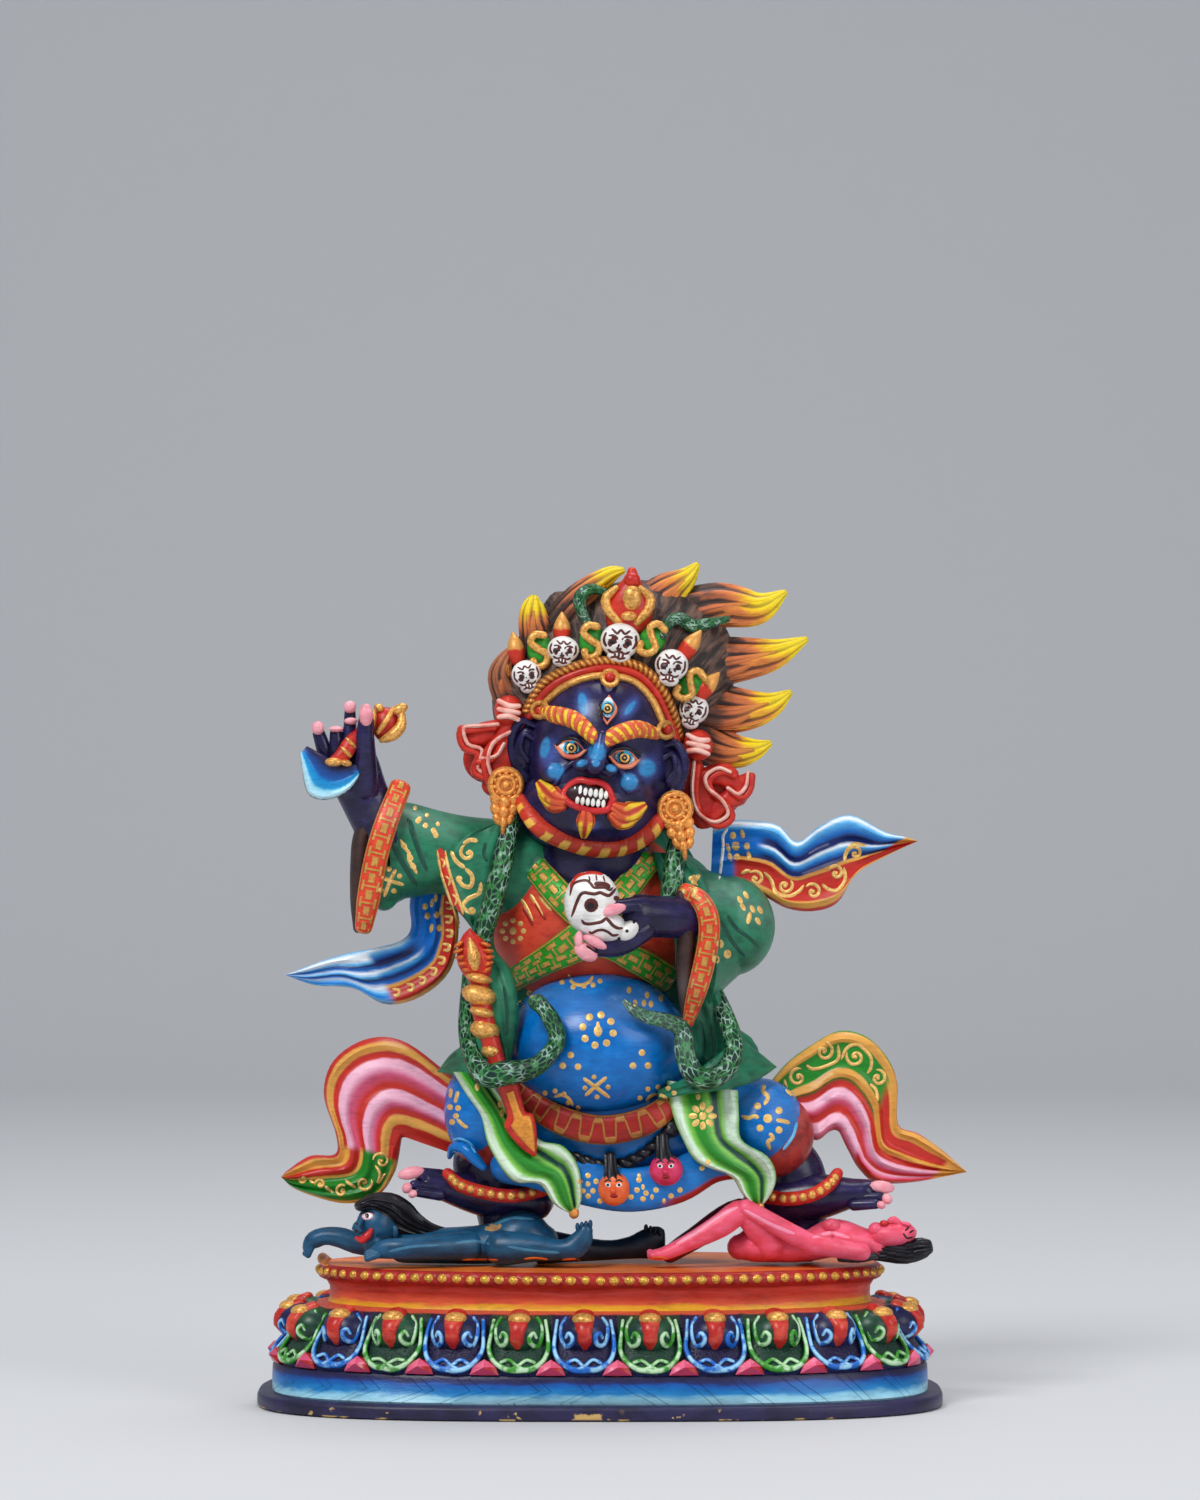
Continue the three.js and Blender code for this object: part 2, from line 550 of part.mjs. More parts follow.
function crown() {
  const arch = [[-78, 536, 10], [-56, 578, 12], [4, 598, 12], [58, 580, 12], [76, 528, 10]];
  const skulls = [[-73, 586, 15, 16], [-36, 611, 16, 15], [21, 620, 19, 20], [73, 594, 17, 17],
    [92, 552, 15, 16]];
  const horns = [[-80, 600, -92, 632], [-37, 620, -42, 656], [80, 606, 98, 634], [102, 560, 122, 588]];
  const scrolls = [[-58, 600, -58, 630], [-12, 606, -8, 640], [48, 602, 62, 630]];
  const [jewelX, jewelZ, jewelY] = on(28, 652, 6);
  return [
    swept(laid(arch), { steps: 2 }),
    ...[[-60, 555], [10, 585], [65, 533]].map(([x, z]) => bead(on(x, z, 8), [9, 9, 7])),
    ...skulls.flatMap(([x, z, wide, high]) => [
      blob(on(x, z + high * 0.25, 8), [wide, high * 0.8, 16]),
      bead(on(x, z - high * 0.55, 10), [wide * 0.62, high * 0.45, 13]),
    ]),
    ...horns.map(([x, z, tipX, tipZ]) =>
      swept([[...on(x, z, 2), 9], [tipX, tipZ, frontAt(x, z) - 2, 4]])),
    ...scrolls.map(([x, z, toX, toZ]) =>
      swept([[...on(x, z, 4), 12, 9], [toX, toZ, frontAt(x, z) - 3, 9, 8]])),
    // Jewel over the middle skull
    bead([jewelX, jewelZ, jewelY], [26, 20, 16]),
    swept([[jewelX, jewelZ + 6, jewelY, 14, 10], [jewelX + 4, jewelZ + 40, jewelY, 5, 5]]),
  ];
}

// Pointed locks that stand up and stream to one side
function hair() {
  const locks = [
    [[36, 640, 6, 24, 18], [66, 670, 2, 18, 13], [86, 687, 0, 9, 8], [99, 700, 0, 2, 3]],
    [[66, 640, 10, 24, 18], [116, 660, 6, 20, 13], [160, 659, 4, 14, 10], [188, 671, 4, 2, 3]],
    [[80, 598, 10, 26, 18], [132, 604, 6, 22, 13], [174, 611, 4, 14, 9], [209, 624, 4, 2, 3]],
    [[80, 556, 10, 26, 18], [134, 552, 6, 21, 12], [168, 558, 4, 12, 8], [193, 571, 4, 2, 3]],
    [[76, 526, 12, 24, 18], [128, 512, 6, 17, 11], [152, 514, 4, 10, 7], [173, 520, 4, 2, 3]],
    [[-40, 630, 6, 22, 16], [-16, 668, 0, 15, 11], [24, 693, -2, 4, 5]],
    [[-58, 610, 0, 20, 16], [-66, 644, -6, 13, 9], [-66, 668, -8, 4, 5]],
    [[-84, 560, 0, 18, 14], [-100, 592, -8, 11, 9], [-90, 614, -10, 4, 5]],
  ];
  return [
    // What falls down the back
    swept([[20, 650, 30, 70, 36], [2, 570, 38, 100, 52], [-4, 480, 44, 92, 50], [-4, 410, 56, 74, 42],
      [-4, 356, 72, 44, 30]], { section: pleated(8, 0.1), ends: 0.4 }),
    ...locks.map((stops) => swept(stops, { ends: 0.2 })),
  ];
}

// The two bodies underfoot, one face down and one on its back, and flat where they lie on the plinth
function prone() {
  const thick = { section: round(6) };
  return [
    // The one face down: head turned to the side, hair, arms, trunk and legs
    blob([-214, 42, -44], [24, 25, 24]),
    swept([[-214, 44, -34, 25, 22], [-168, 36, -32, 17, 18], [-118, 24, -34, 8, 12]], thick),
    swept([[-290, 22, -26, 9, 12], [-262, 19, -28, 16, 14], [-206, 16, -30, 15, 14]], thick),
    swept([[-230, 11, -80, 9, 10], [-190, 14, -84, 13, 11], [-130, 16, -56, 16, 15]], thick),
    swept([[-196, 18, -36, 20, 22], [-130, 18, -38, 20, 26], [-72, 26, -40, 25, 28],
      [-48, 16, -40, 16, 24]], thick),
    swept([[-98, 14, -64, 18, 18], [-56, 14, -72, 15, 14], [-14, 14, -76, 12, 11], [-4, 34, -76, 6, 13]],
      thick),
    swept([[-60, 16, -20, 18, 18], [0, 14, -14, 15, 14], [48, 14, -12, 12, 11], [60, 34, -12, 6, 13]],
      thick),
    // The one face up: head, neck and hair, trunk, the arm that reaches to the knee and the bent legs
    bead([290, 28, -52], [24, 15, 17], -10),
    swept([[252, 18, -50, 12, 12], [276, 16, -50, 13, 13], [302, 11, -46, 12, 16],
      [328, 13, -46, 8, 13]], thick),
    swept([[264, 20, -48, 16, 22], [234, 24, -48, 20, 26], [202, 16, -46, 17, 26], [156, 17, -44, 18, 30],
      [122, 14, -44, 12, 20]], thick),
    swept([[262, 10, -74, 9, 9], [220, 20, -82, 11, 10], [146, 54, -76, 10, 10]]),
    swept([[172, 18, -62, 18, 16], [142, 50, -72, 15, 14], [92, 22, -76, 11, 11], [54, 9, -78, 7, 10]]),
    swept([[172, 18, -22, 18, 16], [142, 50, -26, 15, 14], [92, 22, -28, 11, 11], [70, 8, -30, 9, 10]]),
  ];
}

function figure() {
  const masses = MASSES.map(([middle, sizes, detail]) => blob(middle, sizes, 0, detail));
  const carved = joined([
    ...masses, ...coat(), ...collar(), ...robe(), ...dagger(), ...snakes(), ...leftArm(), ...rightArm(),
    ...scarves(), ...legs(), ...head(), ...crown(), ...hair(), ...prone(),
  ]);
  const below = new THREE.BoxGeometry(PLATE_LENGTH * 2, PLATE_LENGTH * 2, PLINTH_TOP);
  below.translate(0, 0, PLINTH_TOP / 2);
  return thinned(carved.subtract(solidOf(below)));
}

const paint = (color, roughness) => new THREE.MeshStandardMaterial({ color, roughness, metalness: 0 });

const part = new THREE.Group();
part.add(
  meshOf(footPlate(), 'foot_plate', paint(0x24213f, 0.45)),
  meshOf(plinth(), 'lotus_plinth', paint(0xc4502c, 0.4)),
  meshOf(figure(), 'deity_and_prone_figures', paint(0x1f5fa8, 0.4)),
);

export default part;
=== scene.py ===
import math

import bmesh
import bpy
import numpy as np
from mathutils import Matrix, Vector
from mathutils.bvhtree import BVHTree


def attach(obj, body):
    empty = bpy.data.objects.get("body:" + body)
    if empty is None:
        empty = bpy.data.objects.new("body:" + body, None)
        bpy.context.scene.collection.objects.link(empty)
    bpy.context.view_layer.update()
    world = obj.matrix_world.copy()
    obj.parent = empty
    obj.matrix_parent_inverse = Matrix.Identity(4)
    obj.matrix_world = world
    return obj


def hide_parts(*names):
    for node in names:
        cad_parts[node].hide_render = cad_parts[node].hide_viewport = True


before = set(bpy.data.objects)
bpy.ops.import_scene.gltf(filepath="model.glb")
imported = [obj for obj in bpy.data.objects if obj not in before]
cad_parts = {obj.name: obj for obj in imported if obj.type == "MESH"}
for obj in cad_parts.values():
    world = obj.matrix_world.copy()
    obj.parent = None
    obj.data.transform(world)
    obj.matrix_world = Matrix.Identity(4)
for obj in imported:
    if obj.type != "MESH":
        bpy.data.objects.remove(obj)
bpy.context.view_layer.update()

# A grid of units, the same one as for the solids, seen from VIEW units before the middle plane and EYE units up
UNIT = 0.18  # millimetres
MM = 0.001  # metres
VIEW, EYE, PLINTH_TOP = 6100, 512, 25.0
CAMERA_AWAY = VIEW * UNIT
CAMERA_UP = PLINTH_TOP + EYE * UNIT
FRONT, LEFT, UP = (0, -1, 0), (-1, 0, 0), (0, 0, 1)
MESH_PITCH = 0.75  # millimetres between the points of a cloth or a ball
coarseness = 1.0  # how far apart a mesh's points lie, against the spacing that each shape asks for


def at(x, z, y=0.0):
    near = 1 + y / VIEW
    return np.array([x * near * UNIT, y * UNIT, PLINTH_TOP + (EYE + (z - EYE) * near) * UNIT])


def grid_of(points):
    """The x and z on the grid of points in millimetres"""
    near = 1 + points[:, 1] / UNIT / VIEW
    return points[:, 0] / UNIT / near, EYE + ((points[:, 2] - PLINTH_TOP) / UNIT - EYE) / near


def curve(points, t):
    """The smooth line through points, at each t from 0 to the number of spans"""
    p = np.asarray(points, float)
    p = np.vstack([2 * p[0] - p[1], p, 2 * p[-1] - p[-2]])
    i = np.minimum(t.astype(int), len(p) - 4)
    f = (t - i)[:, None]
    a, b, c, d = p[i], p[i + 1], p[i + 2], p[i + 3]
    return 0.5 * (2 * b + (c - a) * f + (2 * a - 5 * b + 4 * c - d) * f**2 + (3 * b - a - 3 * c + d) * f**3)


def unit(v):
    return v / np.maximum(np.linalg.norm(v, axis=-1, keepdims=True), 1e-9)


def steps_along(points, pitch, least=5):
    length = np.linalg.norm(np.diff(np.asarray(points, float), axis=0), axis=1).sum()
    return np.linspace(0, len(points) - 1, max(least, int(length / pitch) + 2))


def travelled(points):
    return np.concatenate([[0], np.cumsum(np.linalg.norm(np.diff(points, axis=0), axis=1))])


def placed(name, data):
    """An object of the scene that shows data"""
    piece = bpy.data.objects.new(name, data)
    bpy.context.scene.collection.objects.link(piece)
    return piece


class Shape:
    """A closed body: points, faces, what each corner of a face reads as (along in mm, across 0 to 1, share)"""

    def __init__(self, points, faces, corners, turned=False):
        self.points, self.faces, self.corners = points, faces, corners
        if turned:  # the faces look inwards, so each is turned over with its corners
            order, seen = [], 0
            for face in faces:
                order += range(seen + len(face) - 1, seen - 1, -1)
                seen += len(face)
            self.faces, self.corners = [face[::-1] for face in faces], corners[order]


def skin(rings, reads, first, last):
    """A body through rings of points. reads has one more column than a ring, for the seam."""
    count, around = rings.shape[:2]
    points = np.vstack([rings.reshape(-1, 3), first, last])
    i, j = [g.ravel() for g in np.meshgrid(np.arange(count - 1), np.arange(around), indexing="ij")]
    k = (j + 1) % around
    quads = np.stack([i * around + j, i * around + k, (i + 1) * around + k, (i + 1) * around + j], 1)
    quad_reads = np.stack([reads[i, j], reads[i, j + 1], reads[i + 1, j + 1], reads[i + 1, j]], 1)
    j = np.arange(around)
    k = (j + 1) % around
    base, end = (count - 1) * around, len(points) - 2
    starts = np.stack([np.full(around, end), k, j], 1)
    start_reads = np.stack([reads[0, j], reads[0, j + 1], reads[0, j]], 1)
    stops = np.stack([np.full(around, end + 1), base + j, base + k], 1)
    stop_reads = np.stack([reads[-1, j], reads[-1, j], reads[-1, j + 1]], 1)
    faces = quads.tolist() + starts.tolist() + stops.tolist()
    corners = np.vstack([quad_reads.reshape(-1, 3), start_reads.reshape(-1, 3), stop_reads.reshape(-1, 3)])
    a, b, c = points[quads[:, 0]], points[quads[:, 1]], points[quads[:, 2]]
    d = points[quads[:, 3]]
    volume = (np.cross(a, b) * c).sum() + (np.cross(a, c) * d).sum()
    a, b, c = (points[np.vstack([starts, stops])[:, n]] for n in range(3))
    volume += (np.cross(a, b) * c).sum()
    return Shape(points, faces, corners, turned=volume < 0)


def tube(line, sizes, ring=14, facing=FRONT, ends=1.0, strands=0, depth=0.0, twist=0.0, power=2.0):
    """A body along line, in mm, with half sizes across and towards facing, and rounded ends"""
    ring = max(min(ring, 12), round(ring / coarseness))
    ahead = unit(np.gradient(line, axis=0))
    across = unit(np.cross(ahead, np.asarray(facing, float)))
    out = unit(np.cross(across, ahead))
    length = travelled(line)
    v = np.arange(ring + 1) / ring
    turn = 2 * math.pi * (v - 0.25)
    c, s = np.cos(turn), np.sin(turn)
    c, s = np.sign(c) * abs(c) ** (2 / power), np.sign(s) * abs(s) ** (2 / power)
    rows, reads = [], []
    cap = [70, 45, 20] if ends > 0.3 else [45]

    def row(centre, size, a, o, u, share, scale):
        grooves = 1 + depth * np.cos(2 * math.pi * (strands * v + twist * share)) * scale if strands else 1.0
        wide, high = size[0] * scale * c * grooves, size[1] * scale * s * grooves
        rows.append((centre + wide[:, None] * a + high[:, None] * o)[:-1])
        reads.append(np.stack([np.full(ring + 1, u), v, np.full(ring + 1, share)], 1))

    reach = [min(sizes[0]) * ends, min(sizes[-1]) * ends]
    for angle in cap:
        k = math.radians(angle)
        row(line[0] - ahead[0] * reach[0] * math.sin(k), sizes[0], across[0], out[0],
            -reach[0] * math.sin(k), 0, math.cos(k))
    for n in range(len(line)):
        row(line[n], sizes[n], across[n], out[n], length[n], length[n] / length[-1], 1)
    for angle in cap[::-1]:
        k = math.radians(angle)
        row(line[-1] + ahead[-1] * reach[1] * math.sin(k), sizes[-1], across[-1], out[-1],
            length[-1] + reach[1] * math.sin(k), 1, math.cos(k))
    return skin(np.array(rows), np.array(reads), line[0] - ahead[0] * reach[0], line[-1] + ahead[-1] * reach[1])


def sweep(stops, pitch=0.8, **how):
    """A tube along stops [x, z, y, half width, half thickness] on the grid"""
    places = [at(*stop[:3]) for stop in stops]
    t = steps_along(places, pitch * coarseness)
    sizes = [[stop[3] * UNIT * (1 + stop[2] / VIEW), stop[-1] * UNIT * (1 + stop[2] / VIEW)] for stop in stops]
    return tube(curve(places, t), np.maximum(curve(sizes, t), 0.05), **how)


def drape(stops, tip, ridges, thick=7, columns=30):
    """A stiff cloth between two edges. ridges are [place across, half width, height] of its folds."""
    stops = stops + [[tip[:2], tip[:2], tip[2]]]
    edges = [[at(stop[k][0], stop[k][1], stop[2]) for stop in stops] for k in (0, 1)]
    t = steps_along(edges[0], MESH_PITCH * coarseness)
    t = t[t <= len(stops) - 1.02]
    one, other = curve(edges[0], t), curve(edges[1], t)
    middle = (one + other) / 2
    length = travelled(middle)
    wide = np.linalg.norm(one - other, axis=1)
    v = np.linspace(0, 1, round(columns / coarseness))
    rows, reads = [], []
    for n in range(len(t)):
        share = length[n] / length[-1]
        shrink = min(1, wide[n] / (thick * 3.2 * UNIT))
        waves = sum(h * np.exp(-(((v - c - 0.03 * math.sin(share * 9)) / w) ** 2)) for c, w, h in ridges)
        rim = np.minimum(1, np.minimum(v, 1 - v) * 9 + 0.35)
        front = (thick * rim + waves) * UNIT * shrink
        behind = (-thick * rim + waves * 0.55) * UNIT * shrink
        base = one[n] + (other[n] - one[n]) * v[:, None]
        fore = base + front[:, None] * np.array([0, -1, 0])
        rear = (base + behind[:, None] * np.array([0, -1, 0]))[::-1]
        rows.append(np.vstack([fore, rear]))
        across = np.concatenate([v, v[::-1], v[:1]])
        reads.append(np.stack([np.full(len(across), length[n]), across, np.full(len(across), share)], 1))
    start = (one[0] + other[0]) / 2
    return skin(np.array(rows), np.array(reads), start, at(*tip))


def ball(middle, sizes, lean=0.0, fine=1.0, swell=None):
    """An ellipsoid on the grid: half sizes across, up and back. swell moves its points outwards."""
    x, z, y = middle
    near = 1 + y / VIEW
    half = np.array([sizes[0] * near, sizes[2], sizes[1] * near]) * UNIT
    gap = MESH_PITCH * coarseness / fine
    around = int(np.clip(2 * math.pi * max(half[0], half[1]) / gap, 10, 150))
    levels = int(np.clip(math.pi * max(half[2], half[1]) / gap, 6, 110))
    v = np.arange(around + 1) / around
    turn = 2 * math.pi * (v + 0.25)
    rows, reads = [], []
    for n in range(1, levels):
        k = math.pi * n / levels
        ring = np.stack([np.cos(turn) * math.sin(k), np.sin(turn) * math.sin(k), np.full(around + 1, -math.cos(k))], 1)
        rows.append(ring[:-1])
        reads.append(np.stack([np.full(around + 1, n / levels * math.pi * half[2]), v,
                               np.full(around + 1, n / levels)], 1))
    shape = skin(np.array(rows), np.array(reads), np.array([0, 0, -1.0]), np.array([0, 0, 1.0]))
    tilt = math.radians(lean)
    p = shape.points
    normals = unit(p / half)
    moved = p * half
    if swell:
        moved = moved + normals * swell(moved + at(x, z, y))[:, None]
    turned = np.stack([moved[:, 0] * math.cos(tilt) + moved[:, 2] * math.sin(tilt), moved[:, 1],
                       moved[:, 2] * math.cos(tilt) - moved[:, 0] * math.sin(tilt)], 1)
    shape.points = turned + at(x, z, y)
    return shape


# Masses, close to those of the solids: the middle and the half sizes across, up and back
MASSES = [
    [(-8, 342, 12), (104, 98, 76), "coat_red"],
    [(-6, 405, -18), (56, 54, 50), "navy"],
    [(72, 362, 12), (46, 48, 54), "coat"],
    [(-2, 217, -32), (93, 74, 86), "blue"],
    [(12, 138, 2), (140, 70, 80), "blue"],
    [(-118, 152, -24), (38, 54, 50), "blue"],
    [(160, 138, -24), (44, 46, 52), "blue"],
    [(2, 494, -20), (76, 100, 74), "face"],
    [(-6, 456, -28), (78, 52, 68), "face"],
    [(-2, 560, 16), (106, 90, 60), "hair"],
    [(40, 596, 14), (96, 86, 50), "hair"],
]

HEAD_MASSES = (7, 8)

# How the face swells: x, z, half width, half height, outwards and turn, on the grid
FACE_SWELL = [
    (-32, 538, 26, 9, 6, -18), (31, 530, 26, 9, 6, 6),  # brow ridges
    (-29, 514, 15, 9, -5, -6), (24, 504, 15, 9, -5, -6),  # eye sockets
    (-2, 515, 7, 16, 8, -8), (-5, 499, 15, 8, 11, -8),  # nose
    (-46, 490, 17, 13, 8, -8), (33, 480, 17, 13, 8, -8),  # cheeks
    (-12, 466, 34, 20, 7, -7), (-14, 436, 22, 12, 6, -7),  # round the mouth, chin
    (-66, 480, 10, 34, -4, 8), (60, 474, 10, 34, -4, -14),
    (6, 562, 40, 20, 4, 0),
]


def face_swell(points):
    x, z = grid_of(points)
    total = np.zeros(len(points))
    for cx, cz, wide, high, out, turn in FACE_SWELL:
        k = math.radians(turn)
        dx, dz = x - cx, z - cz
        a, b = dx * math.cos(k) + dz * math.sin(k), dz * math.cos(k) - dx * math.sin(k)
        total += out * np.exp(-((a / wide) ** 2) - (b / high) ** 2)
    return total * UNIT * (points[:, 1] < -0.02 / UNIT)


def front_at(x, z):
    depths = [0.0]
    for n, ((cx, cz, cy), (across, up, back), _) in enumerate(MASSES):
        inside = 1 - ((x - cx) / across) ** 2 - ((z - cz) / up) ** 2
        if inside > 0:
            y = cy - back * math.sqrt(inside)
            if n in HEAD_MASSES:
                y -= float(face_swell(np.array([at(x, z, y)]))[0]) / UNIT
            depths.append(y)
    return min(depths)


def laid(stops, lift):
    return [[s[0], s[1], front_at(s[0], s[1]) - lift, *s[2:]] for s in stops]


def on(x, z, lift):
    return (x, z, front_at(x, z) - lift)


built = []


def add(shape, paint):
    built.append((shape, paint))


def ring_of(points, width, thick, lift, paint):
    """A closed loop on the front, from points [x, z]"""
    loop = points + points[:1]
    stops = laid([[x, z, width, thick] for x, z in loop], lift)
    add(sweep(stops[: len(stops) // 2 + 1], ring=10, pitch=0.5), paint)
    add(sweep(stops[len(stops) // 2 :], ring=10, pitch=0.5), paint)


SPIRAL_POINTS = 18  # that a painted curl is drawn through


def spiral(x, z, radius, turns, start, hand):
    """Points [x, z] of a spiral that winds in from radius"""
    return [(x + radius * (1 - 0.82 * k) * math.cos(start + hand * k * turns * 2 * math.pi),
             z + radius * (1 - 0.82 * k) * math.sin(start + hand * k * turns * 2 * math.pi))
            for k in np.linspace(0, 1, SPIRAL_POINTS)]


def masses():
    for n, (middle, sizes, paint) in enumerate(MASSES):
        how = {"fine": 1.25, "swell": face_swell} if n in HEAD_MASSES else {"fine": 0.9}
        add(ball(middle, sizes, **how), paint)


def coat():
    add(sweep([[-4, 432, 36, 80, 38], [-4, 372, 38, 110, 56], [-2, 310, 36, 116, 62], [0, 262, 34, 118, 66],
               [1, 226, 32, 134, 70], [3, 196, 30, 154, 72], [4, 140, 26, 148, 66], [4, 92, 22, 134, 54]], ring=108,
              pitch=1.5, strands=11, depth=0.045, twist=0.15, ends=0.2), "coat")
    # Lapels: the coat's edges over the chest and down both sides of the belly
    add(drape([[(-112, 404), (-86, 408), -36], [(-126, 360), (-98, 364), -42], [(-128, 318), (-106, 318), -50],
               [(-122, 292), (-90, 294), -66], [(-112, 262), (-82, 262), -78], [(-106, 230), (-82, 232), -80]],
              (-92, 190, -70), [(0.3, 0.12, 4), (0.75, 0.12, 3)], thick=12), "coat")
    add(drape([[(52, 410), (82, 408), -36], [(62, 372), (106, 380), -44], [(74, 322), (112, 330), -46],
               [(82, 280), (116, 284), -50], [(86, 240), (130, 244), -50], [(90, 212), (136, 214), -46]],
              (116, 184, -44), [(0.25, 0.1, 4), (0.55, 0.1, 3), (0.85, 0.1, 4)], thick=12), "coat")
    # Its lower corners, over the thighs and the tops of the sashes
    add(drape([[(58, 172), (58, 162), -78], [(88, 186), (90, 168), -94], [(116, 206), (122, 172), -92],
               [(138, 222), (148, 178), -78], [(156, 212), (164, 186), -56]], (177, 195, -36),
              [(0.35, 0.14, 4), (0.8, 0.12, 3)], thick=6), "coat")
    add(drape([[(-92, 194), (-92, 184), -86], [(-116, 206), (-114, 187), -84], [(-134, 216), (-134, 187), -70],
               [(-149, 208), (-150, 188), -46]], (-163, 190, -28), [(0.4, 0.16, 4)], thick=6), "coat")
    rim = [[4 + 137 * math.cos(k), 97, 22 + 56 * math.sin(k), 4, 5] for k in np.linspace(-0.1, math.pi + 0.1, 15)]
    add(sweep(rim, ring=14, facing=UP), "red_gold")


def collar():
    bands = [[[-72, 404, 13, 8], [-36, 362, 15, 9], [6, 326, 15, 9]],
             [[48, 400, 13, 8], [6, 350, 15, 9], [-42, 310, 15, 9], [-88, 282, 13, 8]],
             [[-84, 282, 9, 8], [-44, 302, 11, 8], [0, 316, 12, 9], [36, 302, 14, 9], [66, 284, 14, 9]]]
    for lift, stops in zip((3, 4.5, 6), bands):
        add(sweep(laid(stops, lift), ring=16, power=3.5, pitch=0.7), "band_green")


def robe():
    add(sweep([[-92, 96, -56, 18, 18], [-60, 92, -66, 20, 14], [-19, 80, -72, 22, 10], [28, 72, -74, 22, 10],
               [74, 80, -72, 22, 10], [110, 98, -58, 20, 14], [142, 102, -48, 18, 20]], ring=24), "hem")
    add(sweep(laid([[-86, 176, 10, 9], [-48, 146, 14, 9], [0, 132, 15, 9], [48, 142, 14, 9], [84, 170, 10, 9]], 6),
              ring=20, power=3.4), "belt")
    for k in (0, 1):
        rope = laid([[-56, 112, 5, 5], [-24, 104, 5, 5], [4, 96, 5, 5], [30, 101, 5, 5], [54, 116, 5, 5],
                     [72, 134, 6, 6]], 7)
        line = curve([at(*s[:3]) for s in rope], steps_along([at(*s[:3]) for s in rope], 0.35))
        turn = travelled(line) * math.pi / 2 + k * math.pi
        line = line + np.stack([0 * turn, -np.sin(turn) * 0.5, np.cos(turn) * 0.5], 1)
        add(tube(line, [[0.72, 0.72]] * len(line), ring=9), "black")
    add(ball((72, 134, -74), (10, 10, 9)), "black")
    for x, z, wide, high, paint in [(14, 73, 16, 17, "head_orange"), (66, 92, 17, 16, "head_pink")]:
        add(ball((x, z, -84), (wide, high, 13), fine=1.6), paint)
        add(ball((x - 1, z - 2, -96), (3.4, 3.2, 3.4), fine=2.4), paint)
        add(sweep([[x - 1, z + 9, -84, wide * 0.72, 10], [x - 3, z + 18, -84, wide * 0.42, 8],
                   [x - 4, z + 32, -80, 6, 6]], strands=9, depth=0.13, ring=44, pitch=0.5), "black")
    sash = [(0.1, 0.07, 4), (0.42, 0.1, 5), (0.7, 0.07, -4), (0.9, 0.07, 4)]
    add(drape([[(-147, 190), (-116, 192), -64], [(-134, 168), (-98, 168), -72], [(-119, 146), (-82, 144), -78],
               [(-111, 116), (-60, 122), -84], [(-88, 82), (-37, 116), -86], [(-61, 78), (-22, 96), -84],
               [(-46, 58), (-18, 66), -80]], (-25, 46, -76), sash), "sash_left")
    add(drape([[(66, 182), (138, 172), -70], [(72, 150), (139, 146), -80], [(82, 124), (142, 122), -84],
               [(97, 100), (167, 106), -82], [(130, 86), (176, 88), -76], [(142, 68), (172, 70), -72]],
              (159, 52, -68), sash), "sash_right")
    for x, z, y in [(-26, 49, -80), (159, 55, -72)]:
        add(ball((x, z, y), (5.5, 6, 5), fine=1.8), "gold_orange")


def dagger():
    add(sweep([[-126, 316, -72, 12, 10], [-121, 284, -80, 10, 10], [-117, 250, -84, 11, 11],
               [-103, 200, -92, 8.5, 9], [-80, 132, -96, 7, 7]], ring=18), "red")
    # A pointed head with petals round a small gold face, then a beaded grip
    add(sweep([[-130, 331, -74, 2, 4], [-130, 323, -80, 10, 8], [-127, 308, -84, 17, 10], [-123, 294, -84, 16, 10],
               [-121, 284, -82, 11, 9]], ring=28), "red")
    for k in range(1, 6):
        for side in (-1, 1):
            add(ball((-129 + side * (6 + 9 * math.sin(0.6 + k * 0.42)) + k * 1.2, 324 - k * 6.4, -90), (5.5, 2.2, 6),
                     lean=side * (38 - k * 12) - 8, fine=2), "red_gold")
    add(sweep([[-130, 322, -90, 2, 4], [-128, 314, -94, 5, 5], [-126, 304, -96, 7, 6], [-125, 295, -94, 4, 5]],
              ring=18), "gold")
    add(ball((-126, 305, -101), (3.4, 5, 3), fine=2.2), "gold")
    for x, z, wide, high in [(-121, 284, 14, 5), (-121, 267, 18, 10.5), (-118, 250, 13, 5.5), (-115, 232, 15.5, 10.5),
                             (-108, 211, 11, 9)]:
        add(ball((x, z, -87), (wide, high, 15), lean=14, fine=1.2), "gold")
    add(sweep([[-96, 198, -98, 6, 5], [-91, 178, -100, 9, 7], [-84, 150, -98, 9, 7], [-81, 141, -98, 16, 7],
               [-72, 120, -99, 10, 7], [-65, 106, -98, 1.5, 2]], ring=16, pitch=0.7, ends=0.2, power=3.0), "red")
    add(sweep([[-90, 170, -106, 4, 3], [-82, 146, -105, 4.5, 3], [-79, 140, -105, 11, 3], [-71, 122, -105, 6, 3],
               [-66, 111, -103, 1, 2]], ring=16, pitch=0.7, ends=0.2, power=3.0), "gold_flat")


